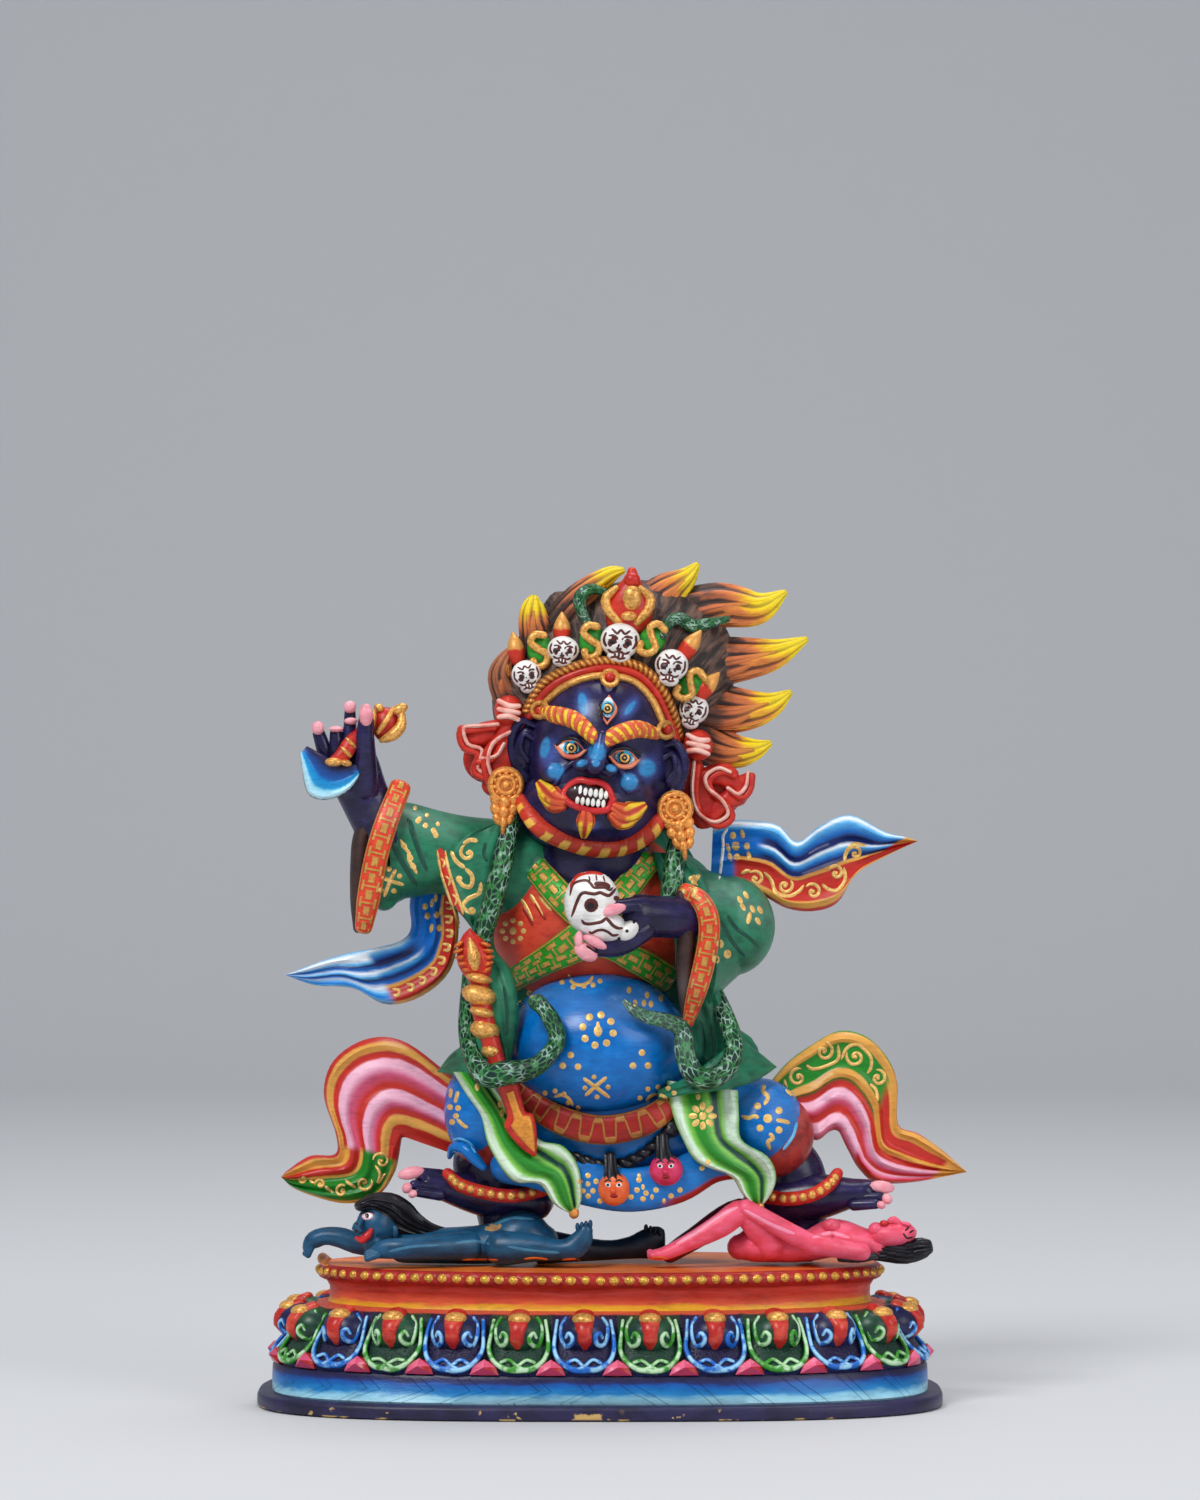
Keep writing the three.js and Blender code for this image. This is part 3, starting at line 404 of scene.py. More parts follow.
def snakes():
    for stops in [
        [[-88, 444, -40, 9], [-97, 404, -56, 11], [-106, 366, -60, 11], [-116, 330, -62, 10], [-124, 300, -56, 8]],
        [[-130, 286, -48, 8], [-134, 236, -58, 8], [-128, 206, -84, 9.5], [-114, 187, -106, 12], [-94, 189, -116, 13],
         [-74, 192, -118, 11], [-58, 200, -119, 9.5], [-43, 220, -122, 9], [-48, 241, -120, 9], [-60, 258, -114, 8]],
        [[80, 432, -40, 9], [74, 396, -56, 11], [70, 360, -66, 11]],
        [[98, 308, -18, 9], [110, 276, -40, 10], [124, 247, -62, 10], [133, 220, -82, 10], [129, 197, -98, 10],
         [111, 183, -108, 11], [94, 188, -110, 11], [85, 210, -108, 11], [82, 232, -104, 9.5], [66, 241, -112, 8],
         [48, 245, -116, 7], [34, 252, -118, 6], [25, 260, -118, 3]],
    ]:
        add(sweep(stops, ring=20, pitch=0.6), "snake")
    add(ball((-62, 259, -113), (11, 9, 9), lean=30, fine=1.3), "snake")


def left_arm():
    add(sweep([[-62, 382, 10, 60, 56], [-140, 405, -6, 41, 42], [-188, 411, -18, 47, 38], [-216, 410, -24, 54, 34]],
              ring=52, strands=5, depth=0.03, ends=0.02), "coat")
    add(drape([[(-112, 436), (-84, 446), -36], [(-146, 420), (-92, 440), -40], [(-160, 392), (-98, 404), -42],
               [(-152, 364), (-106, 366), -44], [(-136, 344), (-112, 344), -46]], (-124, 328, -48),
              [(0.2, 0.12, 4), (0.8, 0.12, 4)], thick=8), "coat")
    add(ball((-216, 378, -38), (18, 27, 24)), "coat")
    edge = [[-200, 474, -44, 11, 8], [-214, 438, -62, 12, 9], [-224, 404, -66, 12, 9], [-231, 366, -62, 12, 9],
            [-236, 336, -50, 9, 8]]
    add(sweep(edge, ring=20, power=3.2), "cuff")
    add(sweep([[-226, 456, -30, 8, 20], [-236, 426, -32, 11, 24], [-239, 398, -34, 11, 24], [-242, 362, -34, 8, 20],
               [-242, 334, -40, 5, 8]], ring=20), "inside")
    add(sweep([[-212, 420, -34, 26, 24], [-234, 462, -38, 25, 20], [-248, 496, -42, 27, 17],
               [-252, 510, -42, 22, 13]], ring=26), "navy")
    # Four fingers behind the handle of the chopper, and the thumb before it
    for x, z, tip_x, tip_z, r, y in [(-270, 494, -281, 528, 8, -54), (-262, 498, -264, 528, 8, -58),
                                     (-254, 504, -250, 536, 8, -56), (-250, 512, -250, 550, 7, -46)]:
        add(sweep([[x, z, y + 10, r + 3], [(x + tip_x) / 2, (z + tip_z) / 2, y, r], [tip_x, tip_z, y, r * 0.8]],
                  ring=18), "navy")
    add(sweep([[-240, 474, -50, 20, 14], [-235, 500, -60, 12, 12], [-235, 524, -68, 9.5, 10], [-234, 540, -70, 8, 8],
               [-234, 550, -70, 6, 6]], ring=24), "navy")
    for x, z, y, wide, high in [(-282, 534, -60, 6.5, 7), (-264, 533, -64, 7.5, 3.2), (-249, 541, -62, 7, 3.6),
                                (-250, 555, -52, 6.5, 6.5), (-234, 547, -76, 7.2, 11.5)]:
        add(ball((x, z, y), (wide, high, 6), fine=1.8), "nail")
    # Chopper: a broad blade under the hand, held by its red and gold handle
    add(drape([[(-300, 508), (-293, 516), -66], [(-298, 494), (-284, 511), -67], [(-296, 480), (-276, 507), -68],
               [(-291, 467), (-269, 503), -69], [(-279, 462), (-263, 500), -69], [(-265, 464), (-257, 498), -69],
               [(-252, 471), (-250, 498), -68], [(-243, 482), (-243, 498), -66]], (-238, 493, -62),
              [(0.12, 0.08, 2), (0.42, 0.08, 1.5)], thick=5, columns=34), "chopper")
    add(sweep([[-270, 499, -72, 4, 4], [-258, 506, -72, 8, 6], [-246, 522, -64, 8, 8], [-228, 534, -56, 6, 6],
               [-212, 538, -52, 7, 7]], ring=20), "red")
    for x, z, y, wide, high, lean in [(-266, 500, -76, 9.5, 4.5, 2), (-254, 499, -77, 6, 3.5, 8),
                                      (-254, 510, -76, 8, 2.4, 44), (-249, 519, -70, 8, 2.4, 44),
                                      (-221, 554, -57, 5.5, 4.5, 30), (-200, 553, -60, 8.5, 5.5, -24),
                                      (-227, 542, -60, 3.5, 11, 8)]:
        add(ball((x, z, y), (wide, high, 6), lean=lean, fine=2), "gold")
    add(ball((-214, 537, -52), (14, 18, 12), fine=1.6), "red")
    add(sweep([[-198, 547, -60, 3.5, 5], [-199, 536, -64, 5.5, 6], [-207, 527, -66, 6, 6], [-218, 522, -62, 3, 4]],
              ring=18, pitch=0.5), "gold")
    add(sweep([[-222, 530, -64, 2.5, 3], [-214, 541, -67, 3, 3], [-207, 553, -62, 2.5, 3]], ring=12, pitch=0.5), "gold")


def right_arm():
    add(ball((130, 336, -8), (45, 50, 54)), "coat")
    add(sweep([[70, 376, -2, 28, 38], [98, 362, -8, 32, 42], [122, 346, -10, 38, 46], [126, 330, -12, 40, 46]],
              ring=44), "coat")
    add(sweep([[122, 332, -16, 48, 44], [104, 312, -52, 58, 28], [96, 304, -74, 62, 22]],
              ring=44, facing=LEFT, ends=0.02), "coat")
    edge = [[86, 370, -80, 9, 8], [100, 362, -88, 10, 8], [108, 346, -92, 11, 9], [109, 326, -92, 11, 9],
            [104, 298, -90, 11, 9], [96, 268, -86, 10, 8], [88, 240, -82, 6, 7]]
    add(sweep(edge, ring=20, power=3.2), "cuff")
    add(sweep([[82, 366, -80, 7, 9], [86, 330, -84, 9, 10], [84, 290, -84, 8, 8], [84, 246, -80, 3, 6]], ring=16),
        "inside")
    add(sweep([[104, 344, -62, 23, 20], [66, 345, -92, 21, 19], [38, 346, -112, 22, 16]], ring=26), "navy")
    # Fingers round the cup, with pink nails
    add(sweep([[44, 356, -112, 11, 10], [26, 356, -126, 8, 8], [8, 354, -138, 7, 6]], ring=16), "navy")
    add(ball((12, 352, -144), (15, 6, 5), lean=-14, fine=1.5), "nail")
    add(sweep([[44, 334, -112, 13, 12], [20, 318, -124, 12, 10], [-2, 314, -130, 9, 8]], ring=16), "navy")
    for x, z, y, wide, high, lean in [(-21, 322, -138, 5, 9, 0), (-14, 310, -138, 13, 8.5, 32),
                                      (-5, 320, -142, 13.5, 5, 28)]:
        add(ball((x, z, y), (wide, high, 6), lean=lean, fine=1.8), "nail")
    skull_cup()
    add(sweep([[0, 352, -40, 20], [-4, 352, -110, 18]], ring=20, facing=UP), "navy")


def skull_cup():
    """The cup is a skull upside down: a dome with one open socket, and its teeth end behind the thumb"""

    def dents(points):
        gx, gz = grid_of(points)
        total = np.zeros(len(points))
        for cx, cz, r, out in [(-9, 357, 6.5, -1.6), (-22, 374, 9, 1.8), (0, 371, 9, 1.6), (-1, 345, 8, 1.8),
                               (-22, 348, 9, 1.4)]:
            total += out * np.exp(-((gx - cx) ** 2 + (gz - cz) ** 2) / r**2)
        return total * UNIT * (points[:, 1] < -124 * UNIT)

    add(ball((-8, 359, -124), (28, 32, 26), fine=1.6, swell=dents), "bone")
    add(ball((1, 337, -126), (26, 17, 22), lean=12, fine=1.6, swell=dents), "bone")
    add(ball((27, 331, -128), (13, 9, 12), lean=-34, fine=1.6), "bone")


def skull(middle, wide, high, deep, lean):
    """A skull that faces front: a round top, cheeks, hollow eyes and a jaw"""
    x, z, y = middle
    k = math.radians(lean)

    def off(dx, dz):
        return (x + dx * wide * math.cos(k) + dz * high * math.sin(k),
                z + dz * high * math.cos(k) - dx * wide * math.sin(k))

    def hollows(points):
        gx, gz = grid_of(points)
        total = np.zeros(len(points))
        for dx, dz, r, out in [(-0.4, 0.05, 0.24, -0.2), (0.34, 0.05, 0.24, -0.2), (-0.03, -0.26, 0.12, -0.12),
                               (-0.03, -0.02, 0.14, 0.1), (-0.5, -0.3, 0.2, 0.1), (0.46, -0.3, 0.2, 0.1)]:
            cx, cz = off(dx, dz)
            total += out * deep * np.exp(-(((gx - cx) / wide) ** 2 + ((gz - cz) / high) ** 2) / r**2)
        return total * UNIT * (points[:, 1] < y * UNIT)

    cx, cz = off(0, 0.16)
    add(ball((cx, cz, y), (wide, high * 0.84, deep), lean=lean, fine=1.6, swell=hollows), "bone")
    cx, cz = off(0, -0.6)
    add(ball((cx, cz, y - deep * 0.2), (wide * 0.6, high * 0.38, deep * 0.72), lean=lean, fine=1.6), "bone")


def scarves():
    add(drape([[(-178, 396), (-138, 398), 6], [(-190, 362), (-142, 356), 2], [(-189, 334), (-142, 322), 0],
               [(-200, 321), (-152, 288), 0], [(-225, 314), (-182, 264), -2], [(-250, 309), (-215, 258), -2],
               [(-272, 303), (-247, 274), 0], [(-297, 294), (-285, 277), 2]], (-315, 287, 2),
              [(0.08, 0.06, 4), (0.3, 0.06, 3), (0.5, 0.06, 5), (0.9, 0.08, 6)]), "scarf_blue_left")
    add(drape([[(113, 437), (110, 366), 14], [(132, 442), (134, 374), 12], [(175, 438), (160, 368), 8],
               [(197, 420), (186, 354), 4], [(220, 436), (214, 351), 4], [(250, 447), (238, 360), 4],
               [(285, 430), (256, 388), 6], [(306, 425), (290, 408), 8]], (318, 421, 8),
              [(0.08, 0.08, 6), (0.36, 0.06, 6), (0.27, 0.03, -3), (0.55, 0.03, 4), (0.91, 0.05, 5)]),
        "scarf_blue_right")
    add(drape([[(-146, 184), (-134, 104), 0], [(-195, 220), (-180, 120), 4], [(-233, 223), (-196, 125), 6],
               [(-266, 202), (-199, 119), 6], [(-276, 168), (-201, 106), 4], [(-264, 128), (-206, 88), 2],
               [(-265, 108), (-222, 67), 2], [(-290, 106), (-256, 59), 4], [(-312, 92), (-302, 72), 6]], (-319, 85, 6),
              [(0.07, 0.05, 6), (0.3, 0.09, 7), (0.6, 0.08, 7), (0.8, 0.07, 5), (0.97, 0.03, 3)], columns=40),
        "scarf_pink_left")
    add(drape([[(164, 172), (182, 126), 0], [(186, 198), (202, 128), 4], [(210, 216), (217, 122), 6],
               [(239, 231), (230, 131), 6], [(267, 225), (238, 131), 4], [(288, 203), (243, 122), 4],
               [(297, 178), (249, 110), 4], [(298, 138), (259, 93), 4], [(319, 128), (276, 80), 6],
               [(342, 112), (312, 80), 8]], (367, 90, 8),
              [(0.05, 0.05, 6), (0.42, 0.05, 6), (0.64, 0.07, 7), (0.9, 0.07, 6)], columns=40),
        "scarf_pink_right")


def legs():
    # The trousers' flared ends, red-brown inside
    add(ball((-112, 143, -20), (40, 53, 48)), "lining")
    add(ball((170, 127, -18), (44, 44, 48)), "lining")
    add(sweep([[-150, 107, -36, 3, 5], [-146, 115, -52, 5, 6], [-135, 113, -64, 6, 6], [-125, 103, -68, 6, 6],
               [-117, 95, -68, 4, 5]], ring=16), "blue")
    add(sweep([[-106, 112, -8, 40, 36], [-106, 88, -12, 40, 34], [-98, 56, -12, 30, 28], [-104, 20, -16, 15, 18]],
              ring=32), "navy")
    add(sweep([[-68, 62, -12, 22, 26], [-114, 67, -24, 22, 24], [-156, 76, -34, 15, 20], [-172, 81, -38, 13, 17]],
              ring=28), "navy")
    for x, z, y, wide in [(-178, 87, -46, 9), (-186, 77, -54, 6), (-182, 70, -60, 6)]:
        add(sweep([[-160, z - 3, y + 6, wide, wide], [x, z, y, wide * 0.85, wide * 0.8]], ring=12), "navy")
    for x, z, y, wide, high, lean in [(-189, 89, -50, 14, 6.5, -12), (-193, 74, -56, 6, 5, -60),
                                      (-187, 68, -62, 5, 4, -30)]:
        add(ball((x, z, y), (wide, high, 6), lean=lean, fine=1.6), "nail")
    add(sweep([[184, 112, 0, 26, 30], [192, 90, -4, 32, 30], [200, 62, -8, 29, 26], [208, 16, -12, 16, 18]],
              ring=32), "navy")
    add(sweep([[166, 58, -12, 24, 26], [214, 65, -22, 24, 24], [252, 69, -30, 15, 20], [266, 71, -34, 12, 16]],
              ring=28), "navy")
    for x, z, y, wide in [(272, 74, -40, 9), (280, 65, -48, 6), (276, 58, -54, 6)]:
        add(sweep([[254, z - 1, y + 6, wide, wide], [x, z, y, wide * 0.85, wide * 0.8]], ring=12), "navy")
    for x, z, y, wide, high, lean in [(282, 75, -44, 13, 6.5, 8), (287, 63, -50, 6, 5, 40), (281, 57, -56, 5, 4, 20)]:
        add(ball((x, z, y), (wide, high, 6), lean=lean, fine=1.6), "nail")
    for stops in [[[-152, 88, -46, 6, 7], [-140, 77, -56, 7, 7], [-114, 69, -62, 7, 7], [-86, 66, -62, 7, 7],
                   [-58, 72, -50, 7, 7]],
                  [[162, 66, -42, 7, 7], [188, 63, -52, 7, 7], [212, 67, -54, 7, 7], [230, 78, -46, 7, 7],
                   [237, 88, -34, 6, 7]]]:
        add(sweep(stops, ring=12), "red")
        line = curve([at(*s[:3]) for s in stops], steps_along([at(*s[:3]) for s in stops], 1.8))
        for p in line[1:-1]:
            gx, gz = grid_of(p[None])
            add(ball((gx[0], gz[0], p[1] / UNIT - 6), (4.4, 4.4, 4.2), fine=2.2), "gold")


def head():
    add(sweep(laid([[-81, 466, 6, 8], [-70, 446, 9, 9], [-52, 430, 10, 10], [-14, 416, 10, 10], [18, 415, 10, 10],
                    [42, 425, 10, 10], [57, 439, 9, 9], [63, 448, 5, 8]], 3), ring=28), "beard")
    for stops in [[[-56, 550, 6, 6], [-44, 547, 9, 8], [-24, 541, 9, 8], [-6, 524, 7, 7]],
                  [[4, 520, 7, 7], [18, 528, 9, 8], [38, 533, 9, 8], [56, 528, 6, 6]]]:
        add(sweep(laid(stops, 3), ring=26), "brow")
    # Nose: bridge, tip and nostrils, each nostril a small dark patch of painted shade
    add(sweep(laid([[2, 526, 6, 7], [-1, 508, 8, 9], [-5, 498, 10, 11]], 2), ring=18), "face")
    add(ball(on(-5, 497, 6), (10, 9, 9), fine=1.5), "face")
    for x, z in [(-18, 497), (9, 492)]:
        add(ball(on(x, z, 3), (10, 7, 9), fine=1.5), "face")
        add(ball(on(x, z - 5, 6), (4, 2.4, 3), fine=2), "mouth")
    # Creases from the nose to the mouth's corners
    for path in ([(-26, 500), (-37, 492), (-44, 478)], [(17, 494), (26, 485), (28, 470)]):
        add(sweep(laid([[x, z, 3, 3.5] for x, z in path], 1), ring=10), "face")
    # Eyes: balls between two lids each
    for x, z in [(-29, 514), (24, 504)]:
        add(ball(on(x, z, -3), (14, 9.5, 9), lean=8, fine=2), "eye")
        for sign, rise in [(1, 9), (-1, -8)]:
            add(sweep(laid([[x - 15, z + 2, 1.5, 2], [x - 6, z + rise, 2, 3.2], [x + 6, z + rise - 1, 2, 3.2],
                            [x + 15, z - 2, 1.5, 2]], 4.5), ring=8, pitch=0.4), "lid" if sign < 0 else "navy")
            add(sweep(laid([[x - 14, z + 2, 1, 1.5], [x - 6, z + rise * 0.8, 1.2, 2.4],
                            [x + 6, z + rise * 0.8 - 1, 1.2, 2.4], [x + 14, z - 2, 1, 1.5]], 5), ring=8, pitch=0.4),
                "lid")
    add(ball(on(8, 552, -2), (7, 13, 6), lean=4, fine=2), "eye")
    for side in (-1, 1):
        add(sweep(laid([[9, 566, 1, 1.5], [8 + side * 8, 552, 1.6, 3], [7, 538, 1, 1.5]], 3), ring=8, pitch=0.4), "lid")
    for x, z in [(-46, 490), (31, 479)]:
        add(ball(on(x, z, -3), (13, 11, 10), fine=1.3), "face")
    # Mouth: lips round a dark hollow with two rows of teeth
    add(ball(on(-12, 466, -1), (23, 12, 6), lean=8, fine=1.4), "mouth")
    lip = [(-37, 468), (-30, 477), (-20, 482), (-11, 480), (-2, 480), (7, 475), (13, 463), (8, 453), (-2, 451),
           (-14, 452), (-25, 456), (-33, 461)]
    ring_of(lip, 3.6, 5, 5, "lip")
    for k in range(7):
        x = -25 + k * 5.2
        add(ball(on(x, 471.5 - k * 0.7, 5), (2.5, 4.6 if k not in (1, 5) else 6, 3), lean=6, fine=2.4), "tooth")
        if k < 6:
            add(ball(on(x + 2.4, 461.5 - k * 0.7, 5), (2.3, 4.4, 3), lean=6, fine=2.4), "tooth")
    # Moustache and chin tufts
    for stops in [[[-36, 462, 6, 6], [-45, 464, 10, 7], [-53, 470, 10, 6], [-60, 478, 5, 4]],
                  [[-38, 456, 5, 6], [-45, 457, 8, 6], [-52, 462, 7, 5], [-58, 467, 4, 4]],
                  [[14, 455, 6, 6], [24, 449, 10, 7], [34, 451, 10, 6], [43, 456, 5, 4]],
                  [[12, 447, 5, 6], [20, 441, 8, 6], [28, 441, 7, 5], [37, 446, 4, 4]],
                  [[-14, 450, 6, 5], [-14, 443, 9, 6], [-15, 435, 8, 6], [-16, 427, 4, 4]]]:
        add(sweep(laid(stops, 5), ring=40, strands=5, depth=0.1, pitch=0.5), "tuft")
    # Ears, with a hollow inside the rim
    for x, top, low, side in [(-75, 542, 480, -1), (71, 520, 462, 1)]:
        middle = (top + low) / 2
        y = min(front_at(x, middle), -30)
        add(ball((x, middle, y + 6), (15, (top - low) / 2, 14), lean=side * -10), "navy")
        add(sweep([[x - side * 10, top - 6, y - 5, 3, 4], [x + side * 4, top - 1, y - 4, 4.5, 5],
                   [x + side * 13, middle + 12, y, 5, 5], [x + side * 11, middle - 8, y, 5, 5],
                   [x - side, low + 2, y - 3, 6, 5]], ring=14), "navy")
        add(sweep([[x - side * 9, middle + 12, y - 9, 3, 3], [x + side, middle + 17, y - 9, 3, 3],
                   [x + side * 4, middle + 2, y - 8, 3, 3], [x - side * 3, middle - 10, y - 9, 3, 3]], ring=10), "navy")
    earrings()
    bows()


def earrings():
    for x, z, side, y in [(-94, 477, -1, -46), (75, 453, 1, -62)]:
        add(ball((x, z, y), (19, 19, 10)), "gold_orange")
        for r, width in [(15, 2.4), (8.5, 2.2)]:
            circle = [(x + r * math.sin(k), z + r * math.cos(k), y - 8 if r > 10 else y - 10, width, width)
                      for k in np.linspace(0, 2 * math.pi, 13)]
            add(sweep([list(c) for c in circle[:7]], ring=8, pitch=0.45), "gold_orange")
            add(sweep([list(c) for c in circle[6:]], ring=8, pitch=0.45), "gold_orange")
        add(ball((x, z, y - 11), (4.5, 4.5, 4), fine=2), "gold_orange")
        for k in range(11):
            turn = k / 11 * 2 * math.pi
            add(ball((x + 11.5 * math.sin(turn), z + 11.5 * math.cos(turn), y - 9), (2.2, 2.2, 2.2), fine=2.2),
                "gold_orange")
        for k, (down, wide) in enumerate([(17, 13), (27, 12), (37, 9), (45, 5)]):
            cx = x + side * down * 0.22 * (1 if side > 0 else 0.3)
            for off in (-1, 0, 1) if k < 3 else (0,):
                add(ball((cx + off * wide * 0.7, z - down + abs(off) * 3, y - (4 if off else 7)),
                         (wide * 0.5, 7, 6), lean=off * 24, fine=1.5), "gold_orange")


def bows():
    """The knots behind the ears, each with loops of a ribbon that folds back on itself"""
    for x, z in [(-91, 551), (98, 517)]:
        add(ball((x, z, -24), (15, 16, 16), fine=1.2), "red")
        add(ball((x + (20 if x > 0 else -22), z - 48, -2), (24, 24, 8), fine=1.2), "red")
        for k in (-1, 0, 1):
            add(sweep([[x - 10, z + k * 8 + 2, -36, 2.5, 3], [x, z + k * 5, -40, 3, 3],
                       [x + 10, z + k * 7 - 2, -36, 2.5, 3]], ring=8, pitch=0.5), "rose")
    for stops in [[[-80, 542, -18, 12, 14], [-92, 520, -20, 17, 12], [-100, 492, -18, 16, 12], [-106, 474, -16, 13, 9]],
                  [[-98, 536, -14, 8, 9], [-116, 528, -18, 12, 9], [-130, 524, -16, 9, 8], [-138, 532, -14, 5, 7]],
                  [[-96, 508, -14, 10, 10], [-116, 498, -18, 12, 9], [-122, 492, -16, 8, 8]],
                  [[84, 516, -4, 10, 14], [92, 486, -10, 15, 11], [102, 456, -10, 18, 10], [108, 442, -10, 14, 8]],
                  [[104, 486, -12, 8, 9], [124, 488, -14, 12, 9], [136, 478, -12, 9, 8], [148, 486, -10, 4, 6]],
                  [[112, 446, -12, 9, 9], [128, 462, -14, 10, 9], [140, 466, -12, 9, 8], [142, 478, -12, 8, 8]]]:
        add(sweep(stops, ring=24, power=2.6), "red")
    rims = [
        [[-86, 532, -32, 2, 3], [-106, 520, -34, 2, 3], [-112, 500, -34, 2, 3], [-104, 478, -32, 2, 3],
         [-96, 470, -30, 2, 3]],
        [[-102, 538, -30, 2, 3], [-122, 536, -30, 2, 3], [-136, 534, -28, 2, 3], [-132, 518, -28, 2, 3],
         [-118, 512, -30, 2, 3], [-122, 494, -28, 2, 3], [-112, 488, -30, 2, 3]],
        [[-96, 518, -34, 2, 3], [-104, 506, -34, 2, 3], [-118, 504, -32, 2, 3]],
        [[94, 500, -24, 2, 3], [92, 470, -26, 2, 3], [98, 450, -26, 2, 3], [114, 440, -24, 2, 3],
         [128, 448, -24, 2, 3], [122, 462, -26, 2, 3], [108, 474, -26, 2, 3], [106, 486, -26, 2, 3],
         [118, 494, -26, 2, 3], [130, 490, -26, 2, 3]],
        [[128, 474, -26, 2, 3], [138, 468, -24, 2, 3], [146, 476, -22, 2, 3], [148, 490, -20, 1.5, 2]],
    ]
    for stops in rims:
        add(sweep(stops, ring=8, pitch=0.5), "rose")
        # A red fold beside each pale one
        add(sweep([[x + (4 if x > 0 else -4), z - 4, y + 3, 3.6, 4] for x, z, y, _, _ in stops], ring=8, pitch=0.6),
            "red")


def crown():
    outer = [[-73, 552], [-63, 571], [-48, 585], [-20, 597], [10, 601], [40, 595], [61, 575], [74, 547], [79, 526]]
    between = [[-70, 548], [-60, 564], [-43, 579], [-17, 590], [10, 594], [38, 587], [56, 569], [68, 543], [75, 518]]
    inner = [[-60, 553], [-50, 564], [-36, 575], [-14, 584], [10, 586], [34, 580], [52, 562], [64, 536]]
    for path, width, thick, lift, paint in [(outer, 5, 9, 6, "braid"), (between, 6, 8, 4, "red"),
                                            (inner, 4, 6, 6, "gold")]:
        add(sweep(laid([[x, z, width, thick] for x, z in path], lift), ring=14), paint)
    for x, z in [(-60, 552), (10, 584), (66, 532)]:
        circle = [[x + 7.5 * math.sin(k), z + 7.5 * math.cos(k), 2.6, 3.4] for k in np.linspace(0, 2 * math.pi, 11)]
        add(sweep(laid(circle[:6], 12), ring=8, pitch=0.4), "gold")
        add(sweep(laid(circle[5:], 12), ring=8, pitch=0.4), "gold")
        add(ball(on(x, z, 8), (6, 6, 5), fine=1.6), "red")
    for x, z, wide, high, lean in [(-73, 585, 15, 17, -12), (-37, 610, 16, 16, 6), (20, 618, 20, 21, 6),
                                   (71, 594, 17, 19, 10), (93, 550, 15, 18, 16)]:
        skull(on(x, z, 8), wide, high, 15, lean)
    for x, z, tip_x, tip_z in [(-82, 603, -87, 628), (-38, 624, -38, 648), (84, 608, 100, 630), (100, 568, 118, 588)]:
        y = front_at(x, z)
        add(sweep([[x, z, y - 6, 8, 8], [(x * 2 + tip_x) / 3, (z * 2 + tip_z) / 3, y - 8, 9, 8],
                   [(x + tip_x * 2) / 3, (z + tip_z * 2) / 3, y - 6, 7, 7], [tip_x, tip_z, y - 2, 2, 3]], ring=16,
                  pitch=0.5), "horn")
    for x, z, lean in [(-60, 611, 8), (-8, 620, 4), (52, 622, -30), (90, 576, -40)]:
        y = front_at(x, z)
        add(ball((x, z, y - 2), (13, 19, 10), lean=-lean), "leaf")
        k = math.radians(lean)
        shape = [(6, 15), (-3, 17), (-8, 10), (-1, 2), (7, -5), (3, -14), (-6, -15), (-8, -9)]
        add(sweep([[x + a * math.cos(k) - b * math.sin(k), z + b * math.cos(k) + a * math.sin(k), y - 13, 3.8, 4]
                   for a, b in shape], ring=14, pitch=0.45), "gold")
    # Jewel over the middle skull: a red bud between gold petals
    x, z, y = on(28, 652, 6)
    add(sweep([[x, z - 14, y, 22, 12], [x + 1, z, y, 24, 14], [x + 2, z + 16, y, 18, 12], [x + 4, z + 30, y, 9, 8],
               [x + 4, z + 38, y, 5, 5]], ring=24), "red")
    for side in (-1, 1):
        add(sweep([[x + side * 9, z - 12, y - 10, 4, 4], [x + side * 20, z, y - 9, 5, 5],
                   [x + side * 22, z + 12, y - 7, 5, 5], [x + side * 12, z + 22, y - 8, 3, 4]], ring=12), "gold")
    add(ball((x + 4, z + 12, y - 12), (10, 13, 7)), "gold")
    add(ball((x + 1, z - 6, y - 13), (8.5, 5, 6)), "gold")
    add(ball((x + 4, z + 30, y - 6), (9, 8, 8)), "red")


